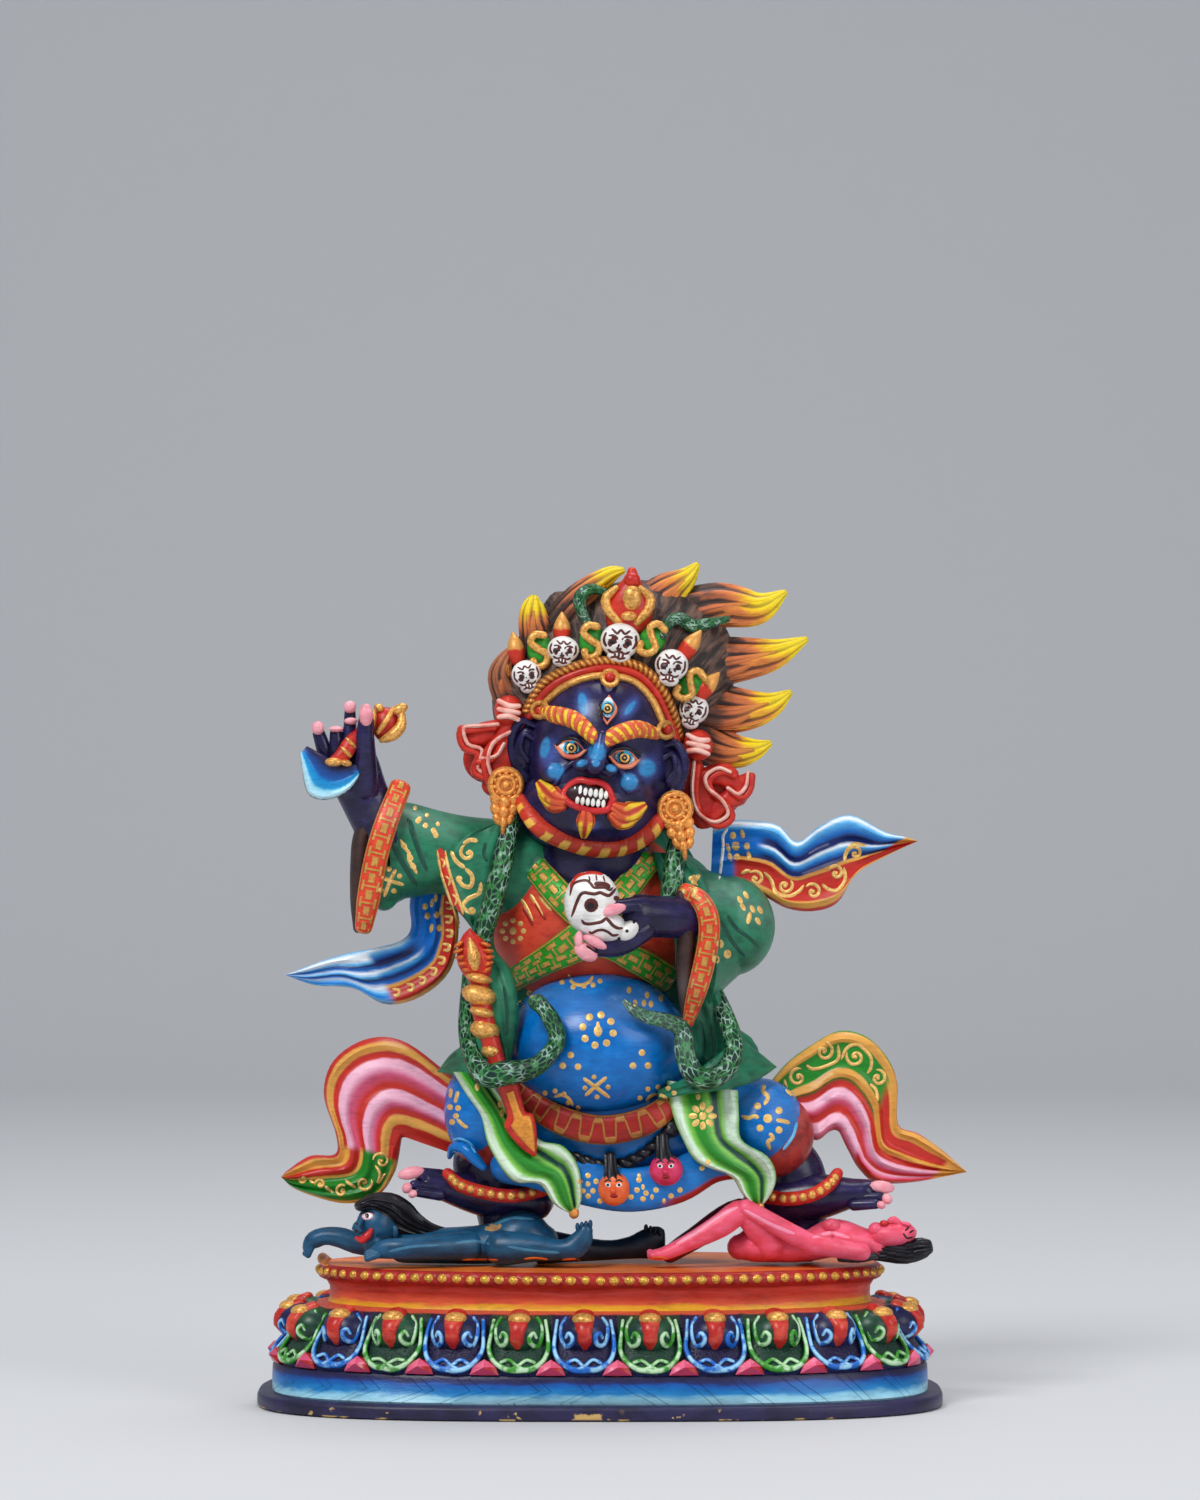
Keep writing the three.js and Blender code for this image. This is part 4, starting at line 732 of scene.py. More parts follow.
def hair():
    locks = [
        [[36, 640, 6, 26, 18], [66, 668, 2, 20, 13], [86, 684, 0, 11, 8], [98, 698, 0, 3, 3]],
        [[60, 640, 10, 26, 18], [116, 656, 6, 22, 13], [158, 654, 4, 16, 10], [186, 670, 4, 3, 3]],
        [[80, 600, 10, 28, 18], [132, 602, 6, 22, 13], [174, 608, 4, 15, 9], [207, 623, 4, 3, 3]],
        [[80, 560, 10, 28, 18], [134, 552, 6, 22, 12], [168, 556, 4, 14, 8], [191, 570, 4, 3, 3]],
        [[76, 530, 12, 26, 18], [128, 512, 6, 18, 11], [152, 512, 4, 12, 7], [171, 519, 4, 3, 3]],
        [[-44, 626, 6, 22, 16], [-22, 662, 0, 15, 11], [8, 686, -2, 9, 8], [24, 692, -2, 3, 4]],
        [[-58, 610, 0, 20, 16], [-66, 640, -6, 15, 10], [-67, 656, -8, 11, 7], [-66, 666, -8, 4, 4]],
        [[-84, 560, 0, 20, 16], [-98, 584, -8, 14, 11], [-96, 600, -10, 9, 8], [-88, 613, -10, 4, 4]],
    ]
    for n, stops in enumerate(locks):
        add(sweep(stops, ring=64, strands=8, depth=0.085, twist=0.5, pitch=0.7, ends=0.3),
            "lock_curl" if n == 7 else "lock")
        x, z, y, wide, thick = stops[0]
        nx, nz = stops[1][:2]
        tips = stops[-1]
        # A second, shorter tongue on each lock
        add(sweep([[x, z - 8, y - 8, wide * 0.5, thick * 0.6],
                   [nx * 0.9 + x * 0.1, nz * 0.9 + z * 0.1 - 5, y - 10, wide * 0.45, thick * 0.5],
                   [nx * 0.4 + tips[0] * 0.6, nz * 0.4 + tips[1] * 0.6 - 4, tips[2] - 6, wide * 0.06, thick * 0.15]],
                  ring=40, strands=5, depth=0.12, twist=0.4, ends=0.3), "lock_low")
    add(sweep([[20, 650, 30, 70, 36], [2, 570, 38, 100, 52], [-4, 480, 44, 92, 50], [-4, 410, 56, 74, 42],
               [-4, 356, 72, 44, 30]], ring=150, pitch=1.5, strands=24, depth=0.028, twist=1.2, ends=0.4), "hair")
    for stops in [[[-10, 636, -30, 4, 5], [-18, 650, -26, 6, 6], [-20, 664, -24, 7, 6], [-10, 673, -22, 6, 6],
                   [4, 670, -20, 4, 5]],
                  [[62, 626, -40, 4, 5], [70, 640, -36, 6, 6], [80, 643, -32, 7, 6], [93, 636, -27, 7, 6],
                   [106, 638, -22, 6, 5], [127, 643, -15, 3.5, 4]]]:
        add(sweep(stops, ring=16, pitch=0.5), "hair_snake")


def prone():
    # The one face down, teal-blue with black hair
    add(ball((-223, 36, -48), (21, 23, 22), fine=1.4), "teal")
    add(ball((-227, 20, -58), (12, 11, 13), fine=1.6), "teal")
    add(sweep([[-236, 47, -62, 3, 3], [-241, 39, -68, 3.5, 4], [-244, 34, -70, 4.5, 5], [-240, 31, -70, 3, 4]], ring=14,
              pitch=0.5), "teal")
    add(sweep([[-243, 24, -67, 2, 3], [-238, 22, -72, 4, 4], [-232, 27, -73, 4, 4], [-229, 32, -70, 2, 3]], ring=14,
              pitch=0.5), "lip")
    add(ball((-205, 30, -59), (3.5, 7, 3), fine=2), "teal")
    add(sweep([[-240, 56, -54, 5, 12], [-228, 59, -50, 9, 17], [-212, 55, -46, 14, 21], [-200, 46, -40, 16, 20],
               [-186, 37, -38, 12, 17], [-168, 31, -36, 7, 13], [-146, 29, -34, 3, 8]],
              ring=96, strands=17, depth=0.09, twist=0.3), "black")
    add(sweep([[-293, 7, -26, 2, 4], [-292, 15, -27, 6, 8], [-286, 22, -27, 9, 11], [-274, 26, -28, 9, 11],
               [-258, 24, -29, 10.5, 12], [-240, 18, -30, 11, 13], [-206, 16, -30, 13, 14]], ring=26), "teal")
    add(sweep([[-228, 9, -80, 6, 6], [-214, 13, -84, 10, 8], [-188, 14, -84, 11, 10], [-130, 16, -56, 15, 15]],
              ring=22), "teal")
    for k in range(4):
        add(sweep([[-222, 14 - k * 2.4, -82 - k * 2, 3.5, 4], [-233, 9 - k * 2, -84 - k * 2, 3, 3]], ring=10), "teal")
        add(sweep([[-288, 18, -20 - k * 4, 4.5, 3], [-295 + k, 8 - k * 0.6, -21 - k * 4, 3, 2.4]], ring=10), "teal")
    add(sweep([[-196, 16, -36, 17, 22], [-130, 17, -38, 19, 26], [-100, 20, -39, 21, 27], [-78, 28, -40, 24, 27],
               [-60, 20, -40, 19, 24]], ring=36), "teal")
    add(sweep([[-98, 14, -64, 18, 18], [-66, 14, -72, 14, 13], [-42, 12, -76, 10.5, 11], [-27, 14, -77, 12, 11],
               [-18, 23, -78, 11, 9], [-15, 31, -78, 8, 8]], ring=28), "teal")
    # The far leg and its toes in a darker teal: painted shade
    add(sweep([[-60, 16, -20, 18, 18], [0, 12, -14, 10.5, 12], [28, 14, -12, 11, 11], [46, 18, -12, 15, 11],
               [57, 20, -12, 16, 9], [63, 20, -12, 13, 7]], ring=28, ends=0.35), "teal_dark")
    for k in range(4):
        add(ball((-22.5 + k * 4.3, 35 + k, -81), (2.4, 4.4, 4), fine=2.2), "teal")
        add(ball((46 + k * 4.6, 34 - k * 1.6, -18), (2.4, 4, 4), fine=2.2), "teal_dark")
    # The one face up, pink with black hair
    add(ball((292, 28, -52), (25, 13, 17), lean=-4, fine=1.4), "pink")
    add(ball((276, 33, -58), (8, 7, 8), fine=1.6), "pink")
    add(sweep([[300, 38, -58, 3, 3], [294, 42, -60, 4, 4], [290, 41, -60, 3, 3]], ring=12, pitch=0.5), "pink")
    add(ball((284, 39, -62), (4.5, 3, 5), fine=2), "lip")
    add(ball((306, 38, -60), (6, 2.4, 5), lean=14, fine=1.8), "pink")
    add(sweep([[252, 18, -50, 12, 12], [276, 16, -50, 12, 13]], ring=20), "pink")
    add(sweep([[266, 10, -44, 7, 12], [284, 11, -46, 10, 16], [306, 10, -48, 11, 18], [322, 14, -48, 10, 15],
               [331, 16, -48, 6, 9]], ring=96, strands=15, depth=0.1, twist=2.0, ends=0.3), "black")
    add(sweep([[264, 20, -48, 14, 20], [234, 24, -48, 19, 25], [202, 15, -46, 15, 24], [156, 17, -44, 17, 28],
               [140, 15, -44, 13, 20]], ring=36), "pink")
    add(sweep([[240, 3, -72, 3, 3], [258, 3, -74, 4, 3], [274, 6, -68, 4, 5]], ring=12), "black")
    add(ball((231, 36, -62), (10, 8, 10), fine=1.3), "pink")
    add(sweep([[262, 10, -74, 9, 9], [224, 16, -84, 10, 10], [204, 22, -84, 10, 9], [146, 54, -78, 9, 9]],
              ring=22), "pink")
    add(sweep([[172, 18, -62, 17, 15], [158, 36, -68, 15, 13], [142, 50, -72, 13, 12], [120, 36, -75, 12, 11],
               [92, 21, -76, 9, 9], [66, 9, -78, 7, 9], [52, 7, -79, 5, 8]], ring=26), "pink")
    # The far leg in dark maroon: painted shade on the pink
    add(sweep([[172, 18, -22, 18, 16], [142, 50, -26, 14, 13], [92, 22, -28, 11, 11], [70, 8, -30, 9, 10]],
              ring=24), "maroon")
    for k in range(5):
        add(ball((50 + k * 0.8, 10 - k * 0.9, -72 - k * 3.4), (3.4, 3, 2.4), fine=2), "pink")


def figure():
    masses()
    coat()
    collar()
    robe()
    dagger()
    snakes()
    left_arm()
    right_arm()
    scarves()
    legs()
    head()
    crown()
    hair()
    prone()


# Joining


def mesh_of(shape, name, face_mark):
    mesh = bpy.data.meshes.new(name)
    mesh.from_pydata(shape.points.tolist(), [], shape.faces)
    reads = mesh.attributes.new("reads", "FLOAT_VECTOR", "CORNER")
    reads.data.foreach_set("vector", np.asarray(shape.corners, np.float32).ravel())
    mark = mesh.attributes.new("mark", "INT", "FACE")
    mark.data.foreach_set("value", np.full(len(shape.faces), face_mark, np.int32))
    return mesh


SHARP_FROM = math.radians(52)  # edges that turn more than this stay sharp
FEWEST_POINTS = 40  # a shell with fewer isn't meant


def drop_crumbs(mesh):
    """Takes out the tiny shells that a union leaves where two surfaces nearly touch"""
    form = bmesh.new()
    form.from_mesh(mesh)
    seen, crumbs = set(), []
    for first in form.verts:
        if first in seen:
            continue
        seen.add(first)
        shell = [first]
        for point in shell:
            for edge in point.link_edges:
                other = edge.other_vert(point)
                if other not in seen:
                    seen.add(other)
                    shell.append(other)
        if len(shell) < FEWEST_POINTS:
            crumbs += shell
    bmesh.ops.delete(form, geom=crumbs, context="VERTS")
    form.to_mesh(mesh)
    form.free()


def united(shapes, name, floor=None):
    """One closed mesh of all the shapes, in metres, with a material for each paint. floor cuts it off below."""
    paints = sorted({paint for _, paint in shapes})
    tree = bpy.data.node_groups.new(name, "GeometryNodeTree")
    tree.interface.new_socket("Geometry", in_out="OUTPUT", socket_type="NodeSocketGeometry")
    joint = tree.nodes.new("GeometryNodeMeshBoolean")
    joint.operation, joint.solver = "UNION", "MANIFOLD"
    made = []

    def info(shape, mark):
        piece = placed("raw", mesh_of(shape, "raw", mark))
        node = tree.nodes.new("GeometryNodeObjectInfo")
        node.inputs["Object"].default_value = piece
        made.append(piece)
        return node.outputs["Geometry"]

    for shape, paint in shapes:
        tree.links.new(info(shape, paints.index(paint)), joint.inputs[1])
    end = joint.outputs[0]
    if floor is not None:
        cut = tree.nodes.new("GeometryNodeMeshBoolean")
        cut.operation, cut.solver = "DIFFERENCE", "MANIFOLD"
        far, deep = 200, 60
        corners = [[x, y, z] for z in (floor - deep, floor) for y in (-far, far) for x in (-far, far)]
        faces = [[0, 2, 3, 1], [4, 5, 7, 6], [0, 1, 5, 4], [2, 6, 7, 3], [0, 4, 6, 2], [1, 3, 7, 5]]
        below = Shape(np.array(corners, float), faces, np.zeros((24, 3)))
        tree.links.new(end, cut.inputs[0])
        tree.links.new(info(below, 0), cut.inputs[1])
        end = cut.outputs[0]
    tree.links.new(end, tree.nodes.new("NodeGroupOutput").inputs[0])
    holder = placed("holder", bpy.data.meshes.new("holder"))
    holder.modifiers.new("join", "NODES").node_group = tree
    graph = bpy.context.evaluated_depsgraph_get()
    mesh = bpy.data.meshes.new_from_object(holder.evaluated_get(graph), preserve_all_data_layers=True, depsgraph=graph)
    for piece in made + [holder]:
        data = piece.data
        bpy.data.objects.remove(piece)
        bpy.data.meshes.remove(data)
    bpy.data.node_groups.remove(tree)
    drop_crumbs(mesh)
    mesh.materials.clear()
    for paint in paints:
        mesh.materials.append(PAINTS[paint])
    marks = np.zeros(len(mesh.polygons), np.int32)
    mesh.attributes["mark"].data.foreach_get("value", marks)
    mesh.polygons.foreach_set("material_index", marks)
    mesh.attributes.remove(mesh.attributes["mark"])
    mesh.transform(Matrix.Scale(MM, 4))
    mesh.name = name
    mesh.polygons.foreach_set("use_smooth", np.ones(len(mesh.polygons), bool))
    mesh.set_sharp_from_angle(angle=SHARP_FROM)
    return placed(name, mesh)


def points_of(mesh):
    co = np.zeros(len(mesh.vertices) * 3, np.float32)
    mesh.vertices.foreach_get("co", co)
    return co.reshape(-1, 3).astype(float)


# Painting

PAINTS = {}


def tone(r, g, b):
    """A colour as read off a screen, from 0 to 255, in Blender's linear values"""
    return tuple(((c / 255 + 0.055) / 1.055) ** 2.4 if c > 10 else c / 255 / 12.92 for c in (r, g, b)) + (1.0,)


class Value:
    """What a node puts out. Sums and products of such values make further nodes."""

    def __init__(self, paint, socket):
        self.paint, self.socket = paint, socket

    def __add__(self, other):
        return self.paint.math("ADD", self, other)

    def __sub__(self, other):
        return self.paint.math("SUBTRACT", self, other)

    def __rsub__(self, other):
        return self.paint.math("SUBTRACT", other, self)

    def __mul__(self, other):
        return self.paint.math("MULTIPLY", self, other)

    def __truediv__(self, other):
        return self.paint.math("DIVIDE", self, other)

    def __abs__(self):
        return self.paint.math("ABSOLUTE", self)


class Paint:
    """A material made of nodes. place is in millimetres, and along, across and share are what each shape reads as."""

    def __init__(self, name, rough, metal=0.0):
        self.material = bpy.data.materials.new(name)
        self.material.use_nodes = True
        self.tree = self.material.node_tree
        self.tree.nodes.clear()
        self.shader = self.tree.nodes.new("ShaderNodeBsdfPrincipled")
        self.shader.inputs["Metallic"].default_value = metal
        self.shader.inputs["Specular IOR Level"].default_value = 0.36
        self.rough = rough
        out = self.tree.nodes.new("ShaderNodeOutputMaterial")
        self.tree.links.new(self.shader.outputs[0], out.inputs[0])
        place = Value(self, self.tree.nodes.new("ShaderNodeTexCoord").outputs["Object"])
        self.place = self.vector("SCALE", place, scale=1 / MM)
        reads = self.tree.nodes.new("ShaderNodeAttribute")
        reads.attribute_name = "reads"
        self.along, self.across, self.share = self.parts(Value(self, reads.outputs["Vector"]))
        self.x, self.y, self.z = self.parts(self.place)
        PAINTS[name] = self.material

    def put(self, value, socket):
        if isinstance(value, Value):
            self.tree.links.new(value.socket, socket)
        elif value is not None:
            socket.default_value = value

    def made(self, kind, inputs, output=0, **settings):
        """The output of a new node, with its settings and with inputs by their name or number"""
        node = self.tree.nodes.new("ShaderNode" + kind)
        for name, value in settings.items():
            setattr(node, name, value)
        for name, value in inputs.items():
            self.put(value, node.inputs[name])
        return Value(self, node.outputs[output])

    def parts(self, vector):
        node = self.tree.nodes.new("ShaderNodeSeparateXYZ")
        self.put(vector, node.inputs[0])
        return [Value(self, socket) for socket in node.outputs]

    def math(self, kind, a, b=None, clamp=False):
        return self.made("Math", {0: a, 1: b}, operation=kind, use_clamp=clamp)

    def vector(self, kind, a, b=None, scale=None):
        return self.made("VectorMath", {0: a, 1: b, 3: scale}, operation=kind)

    def joined(self, x, y, z=0.0):
        return self.made("CombineXYZ", {0: x, 1: y, 2: z})

    def noise(self, where, scale, detail=3.0, rough=0.55):
        return self.made("TexNoise", {"Vector": where, "Scale": scale, "Detail": detail, "Roughness": rough})

    def cells(self, where, scale, feature="F1"):
        return self.made("TexVoronoi", {"Vector": where, "Scale": scale}, "Distance", feature=feature)

    def ramp(self, value, stops):
        node = self.tree.nodes.new("ShaderNodeValToRGB")
        marks = node.color_ramp.elements
        marks[0].position, marks[1].position = stops[0][0], stops[-1][0]
        for place, _ in stops[1:-1]:
            marks.new(place)
        for mark, (_, colour) in zip(marks, stops):
            mark.color = colour
        self.put(value, node.inputs[0])
        return Value(self, node.outputs[0])

    def tones(self, value, stops):
        return self.ramp(value, [(place, tone(*colour)) for place, colour in stops])

    def mix(self, share, a, b, kind="MIX"):
        return self.made("Mix", {0: share, 6: a, 7: b}, 2, data_type="RGBA", blend_type=kind)

    def smooth(self, value, low, high):
        return self.made("MapRange", {0: value, 1: low, 2: high}, interpolation_type="SMOOTHSTEP")

    def spot(self, x, z, wide, high, turn, hard):
        """1 inside an oval on the front, fading to 0 at its edge"""
        middle = at(*on(x, z, 0))
        endless = 1e6
        moved = self.made("Mapping", {
            "Vector": self.place, "Location": (middle[0], 0.0, middle[2]), "Rotation": (0.0, math.radians(turn), 0.0),
            "Scale": (wide * UNIT, endless, high * UNIT)}, vector_type="TEXTURE")
        return self.smooth(self.made("VectorMath", {0: moved}, "Value", operation="LENGTH"), 1.15, hard)

    def wave(self, phase):
        """From 0 to 1 and back once for each unit of phase"""
        return self.math("COSINE", phase * (2 * math.pi)) * 0.5 + 0.5

    def done(self, colour, bump=None, height=0.06, brush=0.12):
        """Lays colour on with brush marks, uneven thickness and a little dirt in the strokes, then darkens it with
        painted shade and pales it with painted highlights from the broad strokes laid on the statue
        """
        wear = 0.1
        strokes = self.noise(self.vector("MULTIPLY", self.place, (0.5, 0.5, 2.2)), 0.9, 4.0, 0.6)
        patches = self.noise(self.place, 0.16, 3.0)
        both = strokes * 0.6 + patches * 0.4
        shade = self.ramp(both, [(0.3, (1 - brush * 2.6,) * 3 + (1,)), (0.5, (1, 1, 1, 1)),
                                 (0.7, (1 + brush,) * 3 + (1,))])
        colour = self.mix(1.0, colour, shade, "MULTIPLY")
        # Painted shade and painted highlights: below zero the colour is darkened, above zero it is paled towards a cool
        # white
        lift = self.made("Attribute", {}, "Fac", attribute_name="painted_light_shade")
        dark = self.math("MULTIPLY", lift, -1.0, clamp=True)
        light = self.math("MULTIPLY", lift, 1.0, clamp=True)
        colour = self.mix(dark * 0.85, colour, self.mix(1.0, colour, tone(70, 72, 84), "MULTIPLY"))
        colour = self.mix(light * 0.3, colour, tone(225, 236, 245))
        self.put(colour, self.shader.inputs["Base Color"])
        gloss = both * (wear * 2) + (self.rough - wear)
        self.put(gloss, self.shader.inputs["Roughness"])
        lumps = strokes * 0.7 + self.noise(self.place, 3.0) * 0.3
        if bump is not None:
            lumps = lumps * 0.5 + bump
        bumped = self.made("Bump", {"Strength": 0.7, "Distance": height * MM, "Height": lumps})
        self.put(bumped, self.shader.inputs["Normal"])


def plain(name, colour, second, rough, brush=0.12):
    """One colour with soft patches of a second"""
    paint = Paint(name, rough)
    share = paint.smooth(paint.noise(paint.vector("MULTIPLY", paint.place, (1, 1, 1.6)), 0.33, 3.0), 0.42, 0.66)
    paint.done(paint.mix(share, tone(*colour), tone(*second)), brush=brush)


def gilded(name, colour=(246, 190, 104), deep=(190, 118, 50), rough=0.4, metal=0.42):
    """Gold paint: metal flakes in a warm varnish, thin over the ground in places"""
    paint = Paint(name, rough, metal=metal)
    flakes = paint.noise(paint.place, 2.4, 4.0, 0.7)
    base = paint.mix(paint.smooth(flakes, 0.3, 0.62), tone(*deep), tone(*colour))
    paint.done(base, brush=0.16, height=0.08)


def striped(name, stops, wobble, over=None, last=None):
    """Brushed stripes along a cloth, by the place across it"""
    paint = Paint(name, 0.36)
    drift = paint.noise(paint.joined(paint.along * 0.16, paint.across * 3.0), 1.0, 3.0)
    fine = paint.noise(paint.joined(paint.along * 0.5, paint.across * 26.0), 1.0, 3.0)
    place = (drift - 0.5) * (wobble * 2) + paint.across
    place = (fine - 0.5) * (wobble * 0.9) + place
    colour = paint.tones(place, stops)
    for more in (over, last):
        if more:
            colour = more(paint, colour, place)
    paint.done(colour, bump=fine * 0.4, height=0.05)


# Blue marks on the face, and then soft painted highlights on the brow, the nose, the cheeks, the temples and the chin:
# across, up, half width, half height and turn
FACE_BLUE = [(-44, 491, 8.5, 8.5, 0), (29, 480, 9, 9, 0), (-17, 558, 5, 12, -8), (30, 554, 3, 9, 38),
             (-3, 510, 9, 9, -8), (-55, 514, 5, 11, 12), (47, 494, 9, 9, -30), (-18, 499, 6, 3.6, -20),
             (11, 494, 6, 3.6, 20), (-4, 499, 4, 4, 0)]
FACE_HIGHLIGHTS = [(-16, 556, 11, 20, -8), (30, 554, 9, 17, 38), (-3, 512, 17, 16, 0), (-50, 508, 14, 20, 12),
             (48, 494, 16, 16, -30), (-44, 491, 13, 13, 0), (29, 480, 13, 13, 0), (-12, 436, 16, 7, -6)]


def paints():
    plain("navy", (28, 24, 60), (40, 34, 82), rough=0.27, brush=0.14)
    plain("blue", (0, 106, 188), (4, 120, 204), rough=0.26, brush=0.08)
    plain("coat", (34, 124, 90), (26, 102, 74), rough=0.42)
    plain("lining", (176, 54, 44), (132, 36, 34), rough=0.42)
    plain("coat_red", (220, 74, 48), (204, 56, 38), rough=0.4, brush=0.08)
    plain("red", (204, 52, 36), (184, 34, 30), rough=0.36)
    plain("rose", (247, 196, 182), (238, 150, 134), rough=0.36)
    plain("inside", (66, 44, 38), (52, 34, 32), rough=0.5)
    plain("eye", (240, 240, 238), (226, 230, 236), rough=0.25)
    plain("lid", (232, 142, 108), (214, 104, 84), rough=0.35)
    plain("mouth", (44, 22, 28), (70, 24, 30), rough=0.4)
    plain("lip", (208, 48, 48), (188, 34, 38), rough=0.28)
    plain("tooth", (246, 246, 240), (230, 226, 214), rough=0.25)
    plain("nail", (243, 168, 178), (232, 144, 158), rough=0.33)
    plain("bone", (240, 239, 236), (222, 220, 216), rough=0.33)
    plain("black", (26, 26, 31), (40, 40, 48), rough=0.32)
    plain("teal", (28, 84, 120), (24, 66, 98), rough=0.36)
    # Painted shade: a darker teal for the teal body's far leg
    plain("teal_dark", (20, 32, 48), (24, 44, 62), rough=0.36)
    plain("pink", (240, 96, 126), (230, 78, 102), rough=0.36, brush=0.07)
    # Painted shade: maroon for the pink body's far leg
    plain("maroon", (108, 20, 34), (130, 26, 44), rough=0.4)
    plain("head_orange", (236, 112, 58), (224, 88, 44), rough=0.3)
    plain("head_pink", (216, 58, 104), (200, 44, 80), rough=0.3)
    plain("leaf", (52, 160, 48), (34, 124, 40), rough=0.36)
    plain("cyan", (30, 168, 214), (60, 186, 226), rough=0.3)
    plain("ink", (20, 18, 24), (34, 30, 38), rough=0.35)
    plain("brown", (94, 40, 34), (74, 30, 28), rough=0.4)
    gilded("gold")
    gilded("gold_pale", (246, 206, 126), (222, 168, 88), 0.42, metal=0.3)
    gilded("gold_orange", (248, 180, 92), (222, 106, 48), 0.4)
    gilded("gold_flat", (234, 158, 64), (216, 130, 52), 0.38, metal=0.3)
    gilded("red_gold", (238, 152, 74), (200, 56, 36), 0.4)

    # The face: navy skin with soft painted highlights on the brow, the nose, the cheeks, the temples and the chin, and
    # blue marks on the brow, the nose, the cheeks and the temples
    paint = Paint("face", 0.3)
    base = paint.mix(paint.smooth(paint.noise(paint.place, 0.33, 3.0), 0.42, 0.66), tone(29, 25, 64), tone(42, 36, 86))
    for marks, soft, colour in [(FACE_HIGHLIGHTS, 0.15, (66, 86, 158)), (FACE_BLUE, 0.7, (52, 138, 196))]:
        share = 0.0
        for mark in marks:
            share = paint.math("MAXIMUM", share, paint.spot(*mark, soft))
        rough = paint.smooth(paint.noise(paint.vector("MULTIPLY", paint.place, (1, 1, 1.5)), 1.6, 3.0), 0.3, 0.5)
        base = paint.mix(share * (rough * 0.35 + 0.65), base, tone(*colour))
    paint.done(base, brush=0.14)

    # A snake's scales: a net over dark green, pale only along its front as a painted highlight
    for name, fine in (("snake", 1.35), ("hair_snake", 1.8)):
        paint = Paint(name, 0.34)
        where = paint.joined(paint.along * 0.52, paint.across * 11.0)
        edge = paint.cells(where, fine, "DISTANCE_TO_EDGE")
        net = paint.smooth(edge, 0.14, 0.05)
        # Painted highlight: the net is pale only along the front of the body
        front = paint.smooth(abs(paint.across - 0.52), 0.3, 0.08)
        patchy = paint.smooth(paint.noise(paint.place, 0.55, 3.0), 0.44, 0.64)
        dark = paint.mix(paint.smooth(paint.noise(paint.place, 0.3), 0.4, 0.6), tone(16, 52, 46), tone(24, 84, 40))
        colour = paint.mix(paint.smooth(edge, 0.3, 0.1), tone(18, 46, 42), dark)
        light = paint.mix(patchy, tone(52, 128, 66), tone(160, 200, 180))
        colour = paint.mix(net * front, colour, light)
        paint.done(colour, bump=paint.smooth(edge, 0.0, 0.2), height=0.2)

    # Brocade bands: a gold border on both sides of a row of raised gold strokes
    for name, ground, pitch, width in (("band_green", (34, 130, 34), 3.2, 0.17), ("cuff", (206, 58, 36), 2.9, 0.19)):
        paint = Paint(name, 0.36, metal=0.15)
        side = abs(paint.across - 0.5)
        border = paint.smooth(abs(side - width), 0.034, 0.022)
        beat = paint.math("PINGPONG", paint.along, pitch / 2)
        inner = 1.0 - paint.smooth(side, width * 0.52, width * 0.6)
        bars = paint.smooth(beat, pitch * 0.5 - 0.25, pitch * 0.5 - 0.12) * inner
        frame_line = paint.smooth(abs(side - (width * 0.45)), 0.03, 0.018)
        frame_line = frame_line * paint.smooth(beat, pitch * 0.16, pitch * 0.22)
        middle = paint.smooth(side, 0.035, 0.02) * paint.smooth(beat, pitch * 0.3, pitch * 0.26)
        marks = paint.math("MAXIMUM", paint.math("MAXIMUM", border, bars), paint.math("MAXIMUM", frame_line, middle))
        worn = paint.smooth(paint.noise(paint.place, 1.4, 3.0), 0.3, 0.44)
        gold = paint.mix(paint.noise(paint.place, 2.0), tone(168, 104, 36), tone(238, 188, 96))
        lighter = paint.mix(paint.noise(paint.place, 0.5), tone(*ground), tone(*[min(255, c * 1.35) for c in ground]))
        paint.done(paint.mix(marks * worn, lighter, gold), bump=marks, height=0.3)
    paint = Paint("belt", 0.36, metal=0.15)
    side = paint.across - 0.5
    border = paint.smooth(abs(abs(side) - 0.19), 0.04, 0.025)
    zigzag = paint.math("PINGPONG", paint.along, 2.1) - 1.05
    steep = paint.math("MINIMUM", paint.math("MAXIMUM", zigzag * 0.3, -0.1), 0.1)
    meander = paint.smooth(abs(side - steep), 0.065, 0.042)
    marks = paint.math("MAXIMUM", border, meander)
    gold = paint.mix(paint.noise(paint.place, 2.0), tone(140, 78, 30), tone(206, 140, 66))
    paint.done(paint.mix(marks, paint.mix(paint.noise(paint.place, 0.6), tone(136, 26, 24), tone(186, 44, 34)), gold),
               bump=marks, height=0.25)

    paint = Paint("braid", 0.38, metal=0.5)
    ridges = paint.wave(paint.across * 2.0 + paint.along * 0.95)
    paint.done(paint.mix(ridges, tone(150, 74, 30), tone(226, 160, 78)), bump=ridges, height=0.3)

